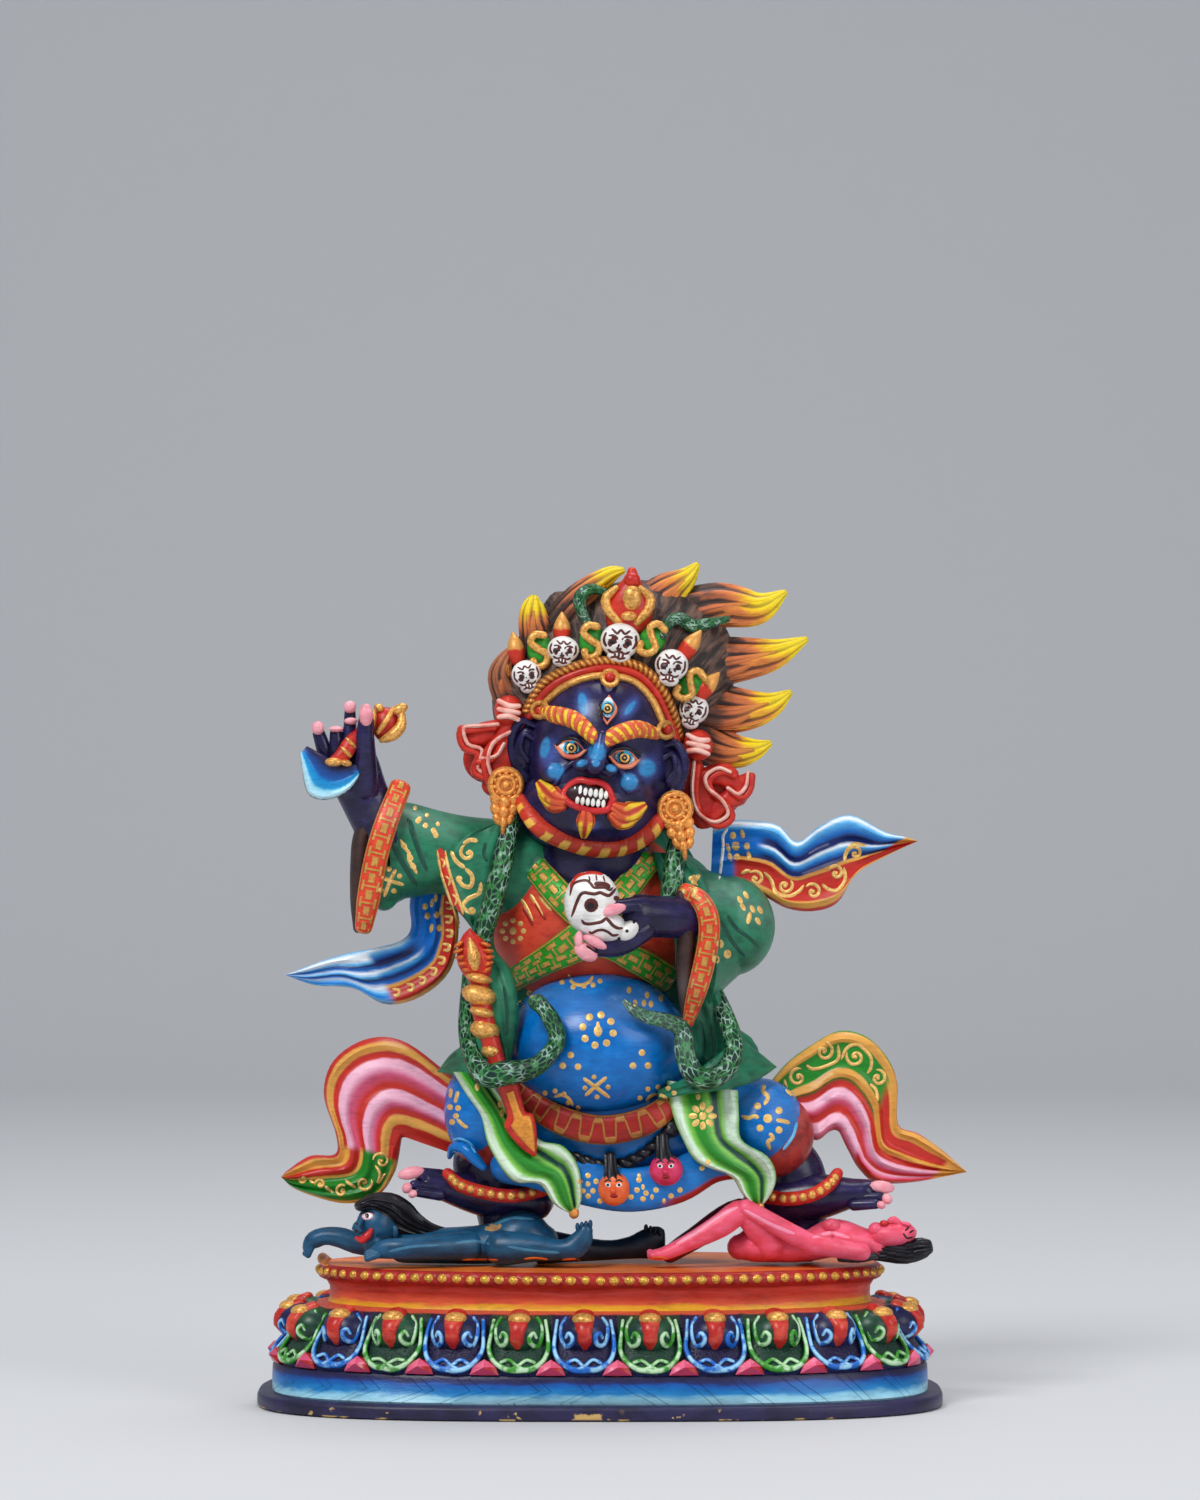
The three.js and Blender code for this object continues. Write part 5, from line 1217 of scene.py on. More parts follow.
    # Red hair with yellow strokes: beard, brows, moustache
    paint = Paint("beard", 0.38)
    beat = paint.across * -0.9 + paint.along * 0.3
    beat = paint.noise(paint.place, 0.4) * 0.35 + beat
    strokes = paint.smooth(paint.wave(beat), 0.5, 0.72)
    low = paint.smooth(paint.across, 0.52, 0.46) * paint.smooth(paint.across, 0.14, 0.2)
    yellow = paint.mix(paint.noise(paint.place, 0.7), tone(238, 150, 60), tone(246, 214, 90))
    paint.done(paint.mix(strokes * low, tone(206, 58, 36), yellow), bump=strokes, height=0.2)
    paint = Paint("brow", 0.38)
    beat = paint.across * 2.2 + paint.along * 0.62
    strokes = paint.wave(beat)
    deep = paint.smooth(strokes, 0.5, 0.72) * paint.smooth(paint.noise(paint.place, 0.9), 0.4, 0.52)
    paint.done(paint.mix(deep, tone(218, 96, 56), tone(246, 206, 50)), bump=strokes, height=0.35)
    paint = Paint("tuft", 0.38)
    strokes = paint.wave(paint.across * 5.0)
    tips = paint.smooth(paint.noise(paint.place, 0.8) * 0.9 + paint.share, 0.7, 0.95)
    colour = paint.mix(tips * paint.smooth(strokes, 0.3, 0.7), tone(220, 92, 50), tone(246, 204, 50))
    paint.done(paint.mix(paint.smooth(strokes, 0.3, 0.05), colour, tone(186, 58, 34)), height=0.15)

    paint = Paint("horn", 0.38, metal=0.2)
    edge = paint.noise(paint.place, 1.0) * 0.2 + paint.share
    paint.done(paint.mix(paint.smooth(edge, 0.42, 0.5), tone(206, 54, 36), tone(226, 160, 82)), height=0.08)

    # Flames of hair: brown at the root, then orange, with yellow tips, and dark between the strands
    flame = [(0.0, (58, 44, 40)), (0.36, (80, 56, 48)), (0.47, (196, 108, 66)), (0.6, (222, 128, 64)),
             (0.69, (240, 178, 44)), (0.8, (252, 216, 22)), (1.0, (252, 224, 40))]
    low_flame = [(0.0, (58, 44, 40)), (0.4, (120, 74, 54)), (0.55, (204, 110, 64)), (0.8, (222, 132, 68)),
                 (1.0, (232, 160, 66))]
    curl = [(0.0, (74, 54, 46)), (0.3, (150, 92, 64)), (1.0, (190, 112, 70))]
    for name, stops, strands in (("lock", flame, 8.0), ("lock_low", low_flame, 5.0), ("lock_curl", curl, 8.0)):
        paint = Paint(name, 0.42)
        patch = paint.noise(paint.joined(paint.along * 0.14, paint.across * 9.0), 1.0, 3.0)
        colour = paint.tones((patch - 0.5) * 0.75 + paint.share, stops)
        hairs = paint.noise(paint.joined(paint.along * 0.12, paint.across * 46.0), 1.0, 2.0)
        twist = 0.5 if strands == 8.0 else 0.4
        phase = paint.across * strands + paint.share * twist
        groove = paint.smooth(paint.wave(phase), 0.42, 0.02)
        groove = paint.math("MAXIMUM", groove, paint.smooth(hairs, 0.43, 0.3))
        early = paint.smooth(paint.share, 0.95, 0.45)
        dark = groove * (early * 0.6 + 0.35)
        paint.done(paint.mix(dark, colour, tone(50, 36, 34)), bump=hairs, height=0.25)
    paint = Paint("hair", 0.45)
    side = paint.z - 112.0
    turn = paint.math("ARCTAN2", paint.x, side)
    reach = paint.math("SQRT", side * side + paint.x * paint.x)
    hairs = paint.noise(paint.joined(turn * 26.0, reach * 0.22, paint.y * 0.12), 1.0, 3.0)
    bend = paint.noise(paint.place, 0.09, 2.0) * 5.0 + paint.x
    down = paint.noise(paint.joined(bend * 1.7, paint.z * 0.11), 1.0, 3.0)
    behind = paint.smooth(paint.y, 2.0, 7.0)
    hairs = hairs * (1.0 - behind) + down * behind
    paint.done(paint.mix(paint.smooth(hairs, 0.4, 0.66), tone(44, 34, 33), tone(116, 88, 76)), bump=hairs, height=0.6)

    paint = Paint("hem", 0.35)
    under = paint.smooth(paint.across, 0.1, 0.14) * paint.smooth(paint.across, 0.4, 0.36)
    under = under * paint.smooth(paint.share, 0.6, 0.68)
    paint.done(paint.mix(under, paint.mix(paint.noise(paint.place, 0.3), tone(6, 100, 184), tone(30, 128, 206)),
                         tone(168, 44, 36)))
    paint = Paint("chopper", 0.3)
    brushed = paint.across + (paint.noise(paint.along, 1.2, 3.0) - 0.5) * 0.1
    paint.done(paint.tones(brushed, [(0.0, (40, 60, 76)), (0.05, (190, 228, 240)), (0.24, (150, 216, 240)),
                                     (0.3, (30, 160, 220)), (0.48, (20, 128, 200)), (0.56, (28, 84, 160)),
                                     (0.74, (36, 62, 124)), (0.86, (40, 38, 78)), (1.0, (36, 34, 66))]))

    white, sky, azure, navy = (236, 244, 250), (90, 180, 236), (14, 112, 204), (20, 34, 92)
    gold, red, pink, light = (226, 164, 76), (196, 44, 34), (226, 98, 136), (240, 180, 204)
    deep = (10, 78, 164)

    def tail(near, far, tilt, stops):
        """Another set of stripes from a share of the way along, earlier on one side by tilt"""

        def over(paint, colour, place):
            where = (place - 0.5) * -tilt + paint.share
            return paint.mix(paint.smooth(where, near, far), colour, paint.tones(place, stops))

        return over

    striped("scarf_blue_left", [(0.0, azure), (0.1, azure), (0.5, azure), (0.58, deep), (0.63, azure), (0.66, gold),
                                (0.69, gold), (0.71, red), (0.93, red), (0.95, gold), (1.0, gold)], 0.03,
            over=tail(0.36, 0.46, 0.1, [(0.0, sky), (0.03, white), (0.09, sky), (0.16, azure), (0.22, navy),
                                        (0.3, navy), (0.35, azure), (0.39, white), (0.43, sky), (0.49, azure),
                                        (0.53, navy), (0.58, deep), (0.63, azure), (0.66, gold), (0.69, gold),
                                        (0.71, red), (0.93, red), (0.95, gold), (1.0, gold)]),
            last=tail(0.59, 0.63, 0.04, [(0.0, sky), (0.06, white), (0.16, white), (0.22, sky), (0.27, navy),
                                         (0.34, azure), (0.4, white), (0.48, sky), (0.54, navy), (0.6, azure),
                                         (0.68, white), (0.78, sky), (0.86, azure), (0.94, sky), (1.0, navy)]))

    def root(paint, colour, place):
        plain_end = [(0.0, sky), (0.04, white), (0.1, sky), (0.14, azure), (1.0, azure)]
        return paint.mix(paint.smooth(paint.share, 0.13, 0.09), colour, paint.tones(place, plain_end))

    tip = tail(0.85, 0.88, -0.12, [(0.0, gold), (0.3, gold), (0.4, red), (0.84, red), (0.92, gold), (1.0, gold)])

    def both(paint, colour, place):
        return root(paint, tip(paint, colour, place), place)

    striped("scarf_blue_right", [
        (0.0, sky), (0.04, white), (0.1, sky), (0.14, azure), (0.46, azure), (0.51, navy), (0.535, gold), (0.56, gold),
        (0.58, red), (0.86, red), (0.885, gold), (0.95, gold), (0.97, red), (1.0, red)], 0.022,
        over=tail(0.2, 0.26, 0.0, [
            (0.0, sky), (0.03, white), (0.08, sky), (0.18, azure), (0.24, navy), (0.3, navy), (0.335, white),
            (0.37, sky), (0.42, azure), (0.46, navy), (0.51, navy), (0.535, gold), (0.56, gold), (0.58, red),
            (0.86, red), (0.885, gold), (0.95, gold), (0.97, red), (1.0, red)]), last=both)
    striped("scarf_pink_left", [
        (0.0, red), (0.03, red), (0.05, gold), (0.12, gold), (0.14, red), (0.19, red), (0.21, light), (0.28, light),
        (0.36, pink), (0.43, (206, 66, 84)), (0.46, red), (0.51, red), (0.53, light), (0.6, light), (0.67, pink),
        (0.71, red), (0.75, red), (0.77, gold), (0.85, gold), (0.87, red), (1.0, red)], 0.025,
        over=tail(0.585, 0.615, -0.12, [
            (0.0, red), (0.04, red), (0.07, gold), (0.22, gold), (0.26, red), (0.4, red), (0.42, gold), (0.46, gold),
            (0.48, (26, 128, 36)), (0.92, (26, 128, 36)), (0.95, gold), (1.0, gold)]))
    striped("scarf_pink_right", [
        (0.0, (40, 140, 36)), (0.015, gold), (0.1, gold), (0.12, (30, 134, 34)), (0.36, (30, 134, 34)), (0.38, gold),
        (0.46, gold), (0.475, (24, 110, 30)), (0.51, red), (0.56, red), (0.58, light), (0.64, light), (0.7, pink),
        (0.75, red), (0.81, red), (0.83, light), (0.9, light), (0.96, pink), (0.985, red), (1.0, red)], 0.02,
        over=tail(0.5, 0.56, 0.1, [
            (0.0, red), (0.015, gold), (0.16, gold), (0.19, red), (0.38, red), (0.4, gold), (0.48, gold), (0.5, red),
            (0.58, red), (0.61, light), (0.67, light), (0.73, pink), (0.76, red), (0.8, red), (0.82, light),
            (0.87, pink), (0.9, red), (1.0, red)]), last=tail(0.91, 0.94, 0.0, [(0.0, gold), (1.0, gold)]))
    milk, lime, green, dark = (216, 240, 214), (130, 200, 78), (40, 140, 40), (20, 66, 60)
    striped("sash_left", [(0.0, lime), (0.05, milk), (0.16, milk), (0.22, lime), (0.32, green), (0.52, green),
                          (0.6, lime), (0.66, dark), (0.72, dark), (0.78, lime), (0.86, milk), (0.94, milk),
                          (1.0, lime)], 0.04)
    striped("sash_right", [(0.0, lime), (0.06, milk), (0.14, milk), (0.2, lime), (0.3, green), (0.46, green),
                           (0.56, lime), (0.62, dark), (0.68, dark), (0.74, lime), (0.82, milk), (0.94, milk),
                           (1.0, lime)], 0.04)


# Ornament: strokes of thin paint, laid on what the camera sees at places of the grid

DEEPEST_FACE = 0.9  # millimetres from front to back, so that no stroke bridges a step in the surface
DOT_POINTS = 13  # round each ring of a dot


class Brush:
    def __init__(self, piece, behind=False):
        faces = [tuple(p.vertices) for p in piece.data.polygons]
        self.tree = BVHTree.FromPolygons((points_of(piece.data) / MM).tolist(), faces)
        self.eye = np.array([0, CAMERA_AWAY if behind else -CAMERA_AWAY, CAMERA_UP])
        self.points, self.faces, self.paints = [], [], []

    def hit(self, x, z):
        ray = at(x, z) - self.eye
        place, normal, _, _ = self.tree.ray_cast(Vector(self.eye), Vector(ray))
        return (np.array(place), np.array(normal)) if place is not None else None

    def patch(self, paint, grid, lifts):
        """A sheet over grid, rows of [x, z], that stands off the surface by lifts"""
        rows, columns = len(grid), len(grid[0])
        hits = [[self.hit(x, z) for x, z in row] for row in grid]
        marks = {}
        for i in range(rows):
            for j in range(columns):
                if hits[i][j]:
                    place, normal = hits[i][j]
                    marks[i, j] = len(self.points)
                    self.points.append(place + normal * lifts[i][j])
        for i in range(rows - 1):
            for j in range(columns - 1):
                corners = [(i, j), (i + 1, j), (i + 1, j + 1), (i, j + 1)]
                if all(c in marks for c in corners):
                    places = np.array([self.points[marks[c]] for c in corners])
                    if np.ptp(places[:, 1]) < DEEPEST_FACE:
                        self.faces.append([marks[c] for c in corners])
                        self.paints.append(paint)

    def stroke(self, paint, path, width, rise=0.07, taper=0.0, pitch=1.6):
        """A line along path. width is its half width on the grid, and taper thins it to its end."""
        path = [list(p) for p in path]
        t = steps_along(path, pitch, 4)
        if len(path) > 2:
            line = curve(path, t)
        else:
            line = np.array(path[0]) + (np.array(path[1]) - path[0]) * (t / t[-1])[:, None]
        ahead = unit(np.gradient(line, axis=0))
        side = np.stack([-ahead[:, 1], ahead[:, 0]], 1)
        share = np.linspace(0, 1, len(line))
        half = width * (1 - taper * share) * np.sqrt(np.clip(1 - (2 * share - 1) ** 8, 0.02, 1))
        across = np.array([-1, -0.55, 0, 0.55, 1])
        grid = line[:, None, :] + side[:, None, :] * (half[:, None] * across)[:, :, None]
        lift = -0.03 + (rise + 0.05) * np.sqrt(np.clip(1 - across**2, 0.06, 1))
        self.patch(paint, grid, np.broadcast_to(lift, grid.shape[:2]))

    def dot(self, paint, x, z, radius, rise=0.07, tall=1.0, lean=0.0, layer=0.0):
        turn = np.linspace(0, 2 * math.pi, DOT_POINTS)
        k = math.radians(lean)
        rings = [0.02, 0.5, 0.85, 1.0]
        grid, lifts = [], []
        for r in rings:
            dx, dz = radius * r * np.cos(turn), radius * tall * r * np.sin(turn)
            grid.append(np.stack([x + dx * math.cos(k) + dz * math.sin(k), z + dz * math.cos(k) - dx * math.sin(k)], 1))
            lifts.append(np.full(DOT_POINTS, layer - 0.03 + (rise + 0.05) * math.sqrt(max(0.1, 1 - r * r))))
        self.patch(paint, grid, lifts)

    def join(self, other):
        first = len(self.points)
        self.points += other.points
        self.faces += [[v + first for v in face] for face in other.faces]
        self.paints += other.paints

    def finished(self, name):
        names = sorted(set(self.paints))
        mesh = bpy.data.meshes.new(name)
        mesh.from_pydata((np.array(self.points) * MM).tolist(), [], self.faces)
        for paint in names:
            mesh.materials.append(PAINTS[paint])
        mesh.polygons.foreach_set("material_index", np.array([names.index(p) for p in self.paints], np.int32))
        mesh.polygons.foreach_set("use_smooth", np.ones(len(mesh.polygons), bool))
        return placed(name, mesh)


# Plinth, in millimetres along its edge from the middle of the front, up, and in from the edge

PLATE_LENGTH, PLATE_DEPTH, PLATE_TOP = 123.0, 70.0, 2.6
BAND_SETBACK, BAND_TOP, LOTUS_TOP = 2.7, 7.6, 17.2
WAIST_SETBACK, RIM_SETBACK = 12.6, 10.8
PETALS, PETAL_SHIFT = 26, -2.8
BEAD_PITCH = 2.56
OVAL_POINTS = 2881  # the line that an oval is read from


class Oval:
    def __init__(self, setback, squareness):
        turn = np.linspace(0, 2 * math.pi, OVAL_POINTS)
        c, s = np.cos(turn), np.sin(turn)
        a, b = PLATE_LENGTH / 2 - setback, PLATE_DEPTH / 2 - setback
        power = 2 / squareness
        self.line = np.stack([a * np.sign(c) * abs(c) ** power, b * np.sign(s) * abs(s) ** power], 1)
        self.reached = travelled(self.line)
        self.length = self.reached[-1]

    def place(self, u, z, inward):
        """Points at u along the edge, each with the direction outwards"""
        u, z, inward = np.broadcast_arrays(np.asarray(u, float), z, inward)
        wanted = (u + self.length * 0.75) % self.length
        span = 0.35
        ends = [np.stack([np.interp((wanted + d) % self.length, self.reached, self.line[:, k]) for k in (0, 1)], -1)
                for d in (-span, 0, span)]
        ahead = unit(ends[2] - ends[0])
        out = np.stack([ahead[..., 1], -ahead[..., 0], np.zeros_like(wanted)], -1)
        points = np.concatenate([ends[1], z[..., None]], -1) - out * inward[..., None]
        return points, out


def around(oval_levels, columns, bottom, top):
    """A closed body through ovals: (oval, height, inward) for each level"""
    rows, reads = [], []
    for n, (oval, z, inward) in enumerate(oval_levels):
        u = np.linspace(0, oval.length, columns + 1)
        points, _ = oval.place(u, z, inward)
        rows.append(points[:-1])
        reads.append(np.stack([u, np.full(columns + 1, z), np.full(columns + 1, n / (len(oval_levels) - 1))], 1))
    return skin(np.array(rows), np.array(reads), np.array([0, 0, bottom]), np.array([0, 0, top]))


def lump(centre, out, sizes, fine):
    """An ellipsoid whose half sizes are along the edge, up and outwards"""
    side = np.array([-out[1], out[0], 0.0])
    frame_of = np.stack([side, np.array([0, 0, 1.0]), out])
    rows, reads = [], []
    count = fine * 2
    turn = 2 * math.pi * np.arange(count + 1) / count
    for n in range(1, fine):
        k = math.pi * n / fine
        ring = np.stack([np.cos(turn) * math.sin(k) * sizes[0], np.full(count + 1, -math.cos(k)) * sizes[1],
                         np.sin(turn) * math.sin(k) * sizes[2]], 1)
        rows.append((centre + ring @ frame_of)[:-1])
        reads.append(np.stack([np.full(count + 1, n / fine), turn / (2 * math.pi), np.full(count + 1, n / fine)], 1))
    low, high = centre - np.array([0, 0, sizes[1]]), centre + np.array([0, 0, sizes[1]])
    return skin(np.array(rows), np.array(reads), low, high)


def petal_ring(edge):
    """The ground of the petals: drawn in towards its top and between the petals"""
    pitch = edge.length / PETALS
    columns = PETALS * 20
    u = np.linspace(0, edge.length, columns + 1)
    turn = u / pitch
    s = abs((turn + 0.5) % 1 - 0.5) * 2
    profile = [(6.4, 1.0, 2.2), (7.9, 0.4, 2.0), (8.4, -0.1, 2.2), (9.4, 0.1, 2.8), (10.6, 1.1, 3.4), (12.2, 2.4, 4.2),
               (13.8, 3.4, 5.2), (15.4, 4.4, 6.2), (16.8, 5.6, 7.2), (17.8, 7.4, 8.4), (18.2, 9.9, 9.9)]
    rows, reads = [], []
    for z, middle, groove in profile:
        dip = middle + (groove - middle) * s**4
        points, _ = edge.place(u + PETAL_SHIFT, z, dip)
        rows.append(points[:-1])
        reads.append(np.stack([turn, s, np.full(columns + 1, z)], 1))
    return skin(np.array(rows), np.array(reads), np.array([0, 0, 6.4]), np.array([0, 0, 18.2]))


LOBE = (4.6, 3.7, 4.3, 14.6, 5.2)  # half width, half height, half depth, middle's height, middle's draw-in


def lobe_face(s, z):
    wide, high, deep, middle, inward = LOBE
    left = 1 - (s / wide) ** 2 - ((z - middle) / high) ** 2
    return inward - deep * np.sqrt(np.maximum(left, 0.04))


def petal(shapes, edge, middle, colour, steady):
    """The raised rim, the hanging lobe, its curls and its drop. steady sets how far the hand drifted."""
    drift = steady.uniform(-0.18, 0.18, 8)

    def raised(paint, path, radius, inward, rise, pitch=0.45, taper=None):
        t = steps_along(path, pitch, 6)
        flat = curve(path, t)
        depth = inward(flat[:, 0], flat[:, 1])
        line, out = edge.place(middle + flat[:, 0], flat[:, 1], depth - rise)
        share = t / t[-1]
        size = radius * (np.ones(len(t)) if taper is None else taper(share))
        shapes.append((tube(line, np.stack([size, size * 0.9], 1), ring=9, facing=out), paint))

    def ground(s, z):
        return np.interp(z, [8.4, 9.4, 10.6, 12.2, 13.8, 15.4, 16.8, 17.6], [-0.2, 0.1, 1.0, 2.3, 3.3, 4.3, 5.5, 6.6])

    a, b, c, d = drift[:4]
    raised("rim_" + colour, [[-4.9 + a, 16.9], [-5.2 + a, 14.6], [-5.3, 12.2 + b], [-4.3, 10.3], [-2.3 + b, 9.0],
                             [-0.6, 8.75], [0.8, 8.75 + c], [2.5, 9.0], [4.4 + c, 10.3], [5.25, 12.2], [5.15, 14.6 + d],
                             [4.8 + d, 16.9]], 0.48, ground, 0.12, taper=lambda f: 1 - 0.25 * np.cos(6.28 * f))
    for side in (-1, 1):
        raised("rim_" + colour, [[2.9 * side, 10.0 + a], [1.5 * side, 10.4 + b], [0.1 * side, 9.5],
                                 [-1.1 * side, 8.95]], 0.36, ground, 0.3)
    centre, out = edge.place(middle, LOBE[3], LOBE[4])
    shapes.append((lump(centre, out, LOBE[:3], 16), "lobe_" + colour))
    for side in (-1, 1):
        k = drift[4 + (side > 0)]
        raised("rim_" + colour, [[3.3 * side, 17.5], [4.05 * side, 16.1 + k], [4.0 * side, 14.2],
                                 [3.3 * side, 12.8 + k], [2.3 * side, 13.2], [2.0 * side, 14.4 + k], [2.7 * side, 15.1],
                                 [3.2 * side, 14.3]], 0.44, lobe_face, 0.12, pitch=0.35,
               taper=lambda f: 0.75 + 0.4 * np.sin(3.14 * f))
    path = [[0, 18.1], [0, 17.4], [0, 16.0], [drift[5], 14.2], [drift[5], 12.9]]
    t = steps_along(path, 0.5, 8)
    flat = curve(path, t)
    depth = np.interp(flat[:, 1], [12.5, 14.4, 16.0, 17.2, 18.1], [2.6, 0.7, 1.0, 2.6, 5.0])
    line, out_line = edge.place(middle + flat[:, 0], flat[:, 1], depth + 0.2)
    wide = np.interp(t / t[-1], [0, 0.3, 0.65, 0.85, 1.0], [1.8, 1.9, 1.25, 1.3, 1.1])
    shapes.append((tube(line, np.stack([wide, np.full(len(t), 0.9)], 1), ring=14, facing=out_line, ends=1.0), "drop"))
    centre, out = edge.place(middle + drift[6], 17.35, 3.1)
    shapes.append((lump(centre, out, (2.0, 1.2, 2.0), 9), "gold"))


def gem(shapes, edge, u):
    """A faceted stone in a red seat between two petals"""
    centre, out = edge.place(u, 8.9, 1.2)
    shapes.append((lump(centre, out, (2.7, 1.35, 1.6), 8), "gem_seat"))
    side = np.array([-out[1], out[0], 0.0])
    base = [(-2.6, -0.95), (2.6, -0.95), (2.0, 0.45), (0.05, 1.85), (-2.0, 0.45)]
    low = centre - np.array([0, 0, 0.1])
    points = [low + side * x + np.array([0, 0, y]) + out * 1.25 for x, y in base]
    points += [low + side * x * 0.8 + np.array([0, 0, y * 0.8]) - out * 0.5 for x, y in base]
    points += [low + np.array([0, 0, 0.55]) + out * 2.45, low - out * 0.5]
    faces, painted_facet_light = [], []
    # Painted light on the stone: the upper left facet lightest, the others darker, its sides and back darkest, as if
    # lit from the upper left
    light = [0.35, 0.15, 0.55, 1.0, 0.75]
    for k in range(5):
        j = (k + 1) % 5
        faces += [[k, j, 10], [k, k + 5, j + 5, j], [j + 5, k + 5, 11]]
        painted_facet_light += [light[k]] * 3 + [0.0] * 7
    corners = np.array([[0, 0, shade] for shade in painted_facet_light], float)
    points = np.array(points)
    volume = sum(np.dot(np.cross(points[f[0]], points[f[k]]), points[f[k + 1]])
                 for f in faces for k in range(1, len(f) - 1))
    shapes.append((Shape(points, faces, corners, turned=volume < 0), "gem"))


def plinth_shapes():
    steady = np.random.default_rng(7)
    edge, waist, rim = Oval(BAND_SETBACK, 2.5), Oval(WAIST_SETBACK, 2.15), Oval(RIM_SETBACK, 2.15)
    foot = Oval(BAND_SETBACK, 3.0)
    shapes = [
        (around([(foot, PLATE_TOP, 0.25), (foot, PLATE_TOP + 0.35, 0.0), (edge, 5.0, -0.1), (edge, 7.0, 0.0),
                 (edge, BAND_TOP, 0.35)], 260, PLATE_TOP, BAND_TOP), "band"),
        (around([(waist, 6.0, 0.0), (waist, 17.6, -0.25), (waist, 18.4, 0.1), (waist, 19.6, 0.35), (waist, 21.0, 0.25),
                 (waist, 22.1, -0.4), (waist, 22.6, -1.0)], 200, 6.0, 22.6), "waist"),
        (around([(rim, 22.3, 0.8), (rim, 22.6, 0.2), (rim, 23.3, -0.15), (rim, 24.2, -0.05), (rim, 24.8, 0.35),
                 (rim, 25.0, 0.7)], 200, 22.3, 25.0), "rim_red"),
        (petal_ring(edge), "petal_ground"),
    ]
    top = Oval(RIM_SETBACK + 1.3, 2.15)
    shapes.append((around([(top, 24.0, 0.0), (top, 25.04, 0.0)], 160, 24.0, 25.04), "orange"))
    pitch = edge.length / PETALS
    for i in range(PETALS):
        petal(shapes, edge, PETAL_SHIFT + i * pitch, "blue" if i % 2 == 0 else "green", steady)
        gem(shapes, edge, PETAL_SHIFT + (i + 0.5) * pitch)
    beads = round(rim.length / BEAD_PITCH)
    for i in range(beads):
        u = i * rim.length / beads + steady.uniform(-0.12, 0.12)
        centre, out = rim.place(u, 23.75 + steady.uniform(-0.08, 0.08), 0.35)
        wide = 0.98 + steady.uniform(-0.1, 0.12)
        shapes.append((lump(centre, out, (wide, 0.82, 0.95), 7), "bead"))
    # The rim's lip curls up at the left end
    t = np.linspace(-0.5, 0.5, 14)
    line, out = rim.place(-rim.length / 4 + t * 13, 24.7 + 1.0 * np.cos(t * 3.0), 0.7)
    size = 0.35 + 0.55 * np.cos(t * 3.0)
    shapes.append((tube(line, np.stack([size * 1.1, size], 1), ring=12, facing=out), "rim_lip"))
    return shapes


def plate_shapes():
    out, corner = Oval(0.0, 3.0), Oval(0.4, 3.0)
    return [(around([(corner, 0.0, 0.35), (out, 0.3, 0.12), (out, 0.8, 0.02), (out, 1.9, 0.06), (out, 2.35, 0.25),
                     (out, PLATE_TOP, 0.7)], 280, 0.0, PLATE_TOP), "plate")]


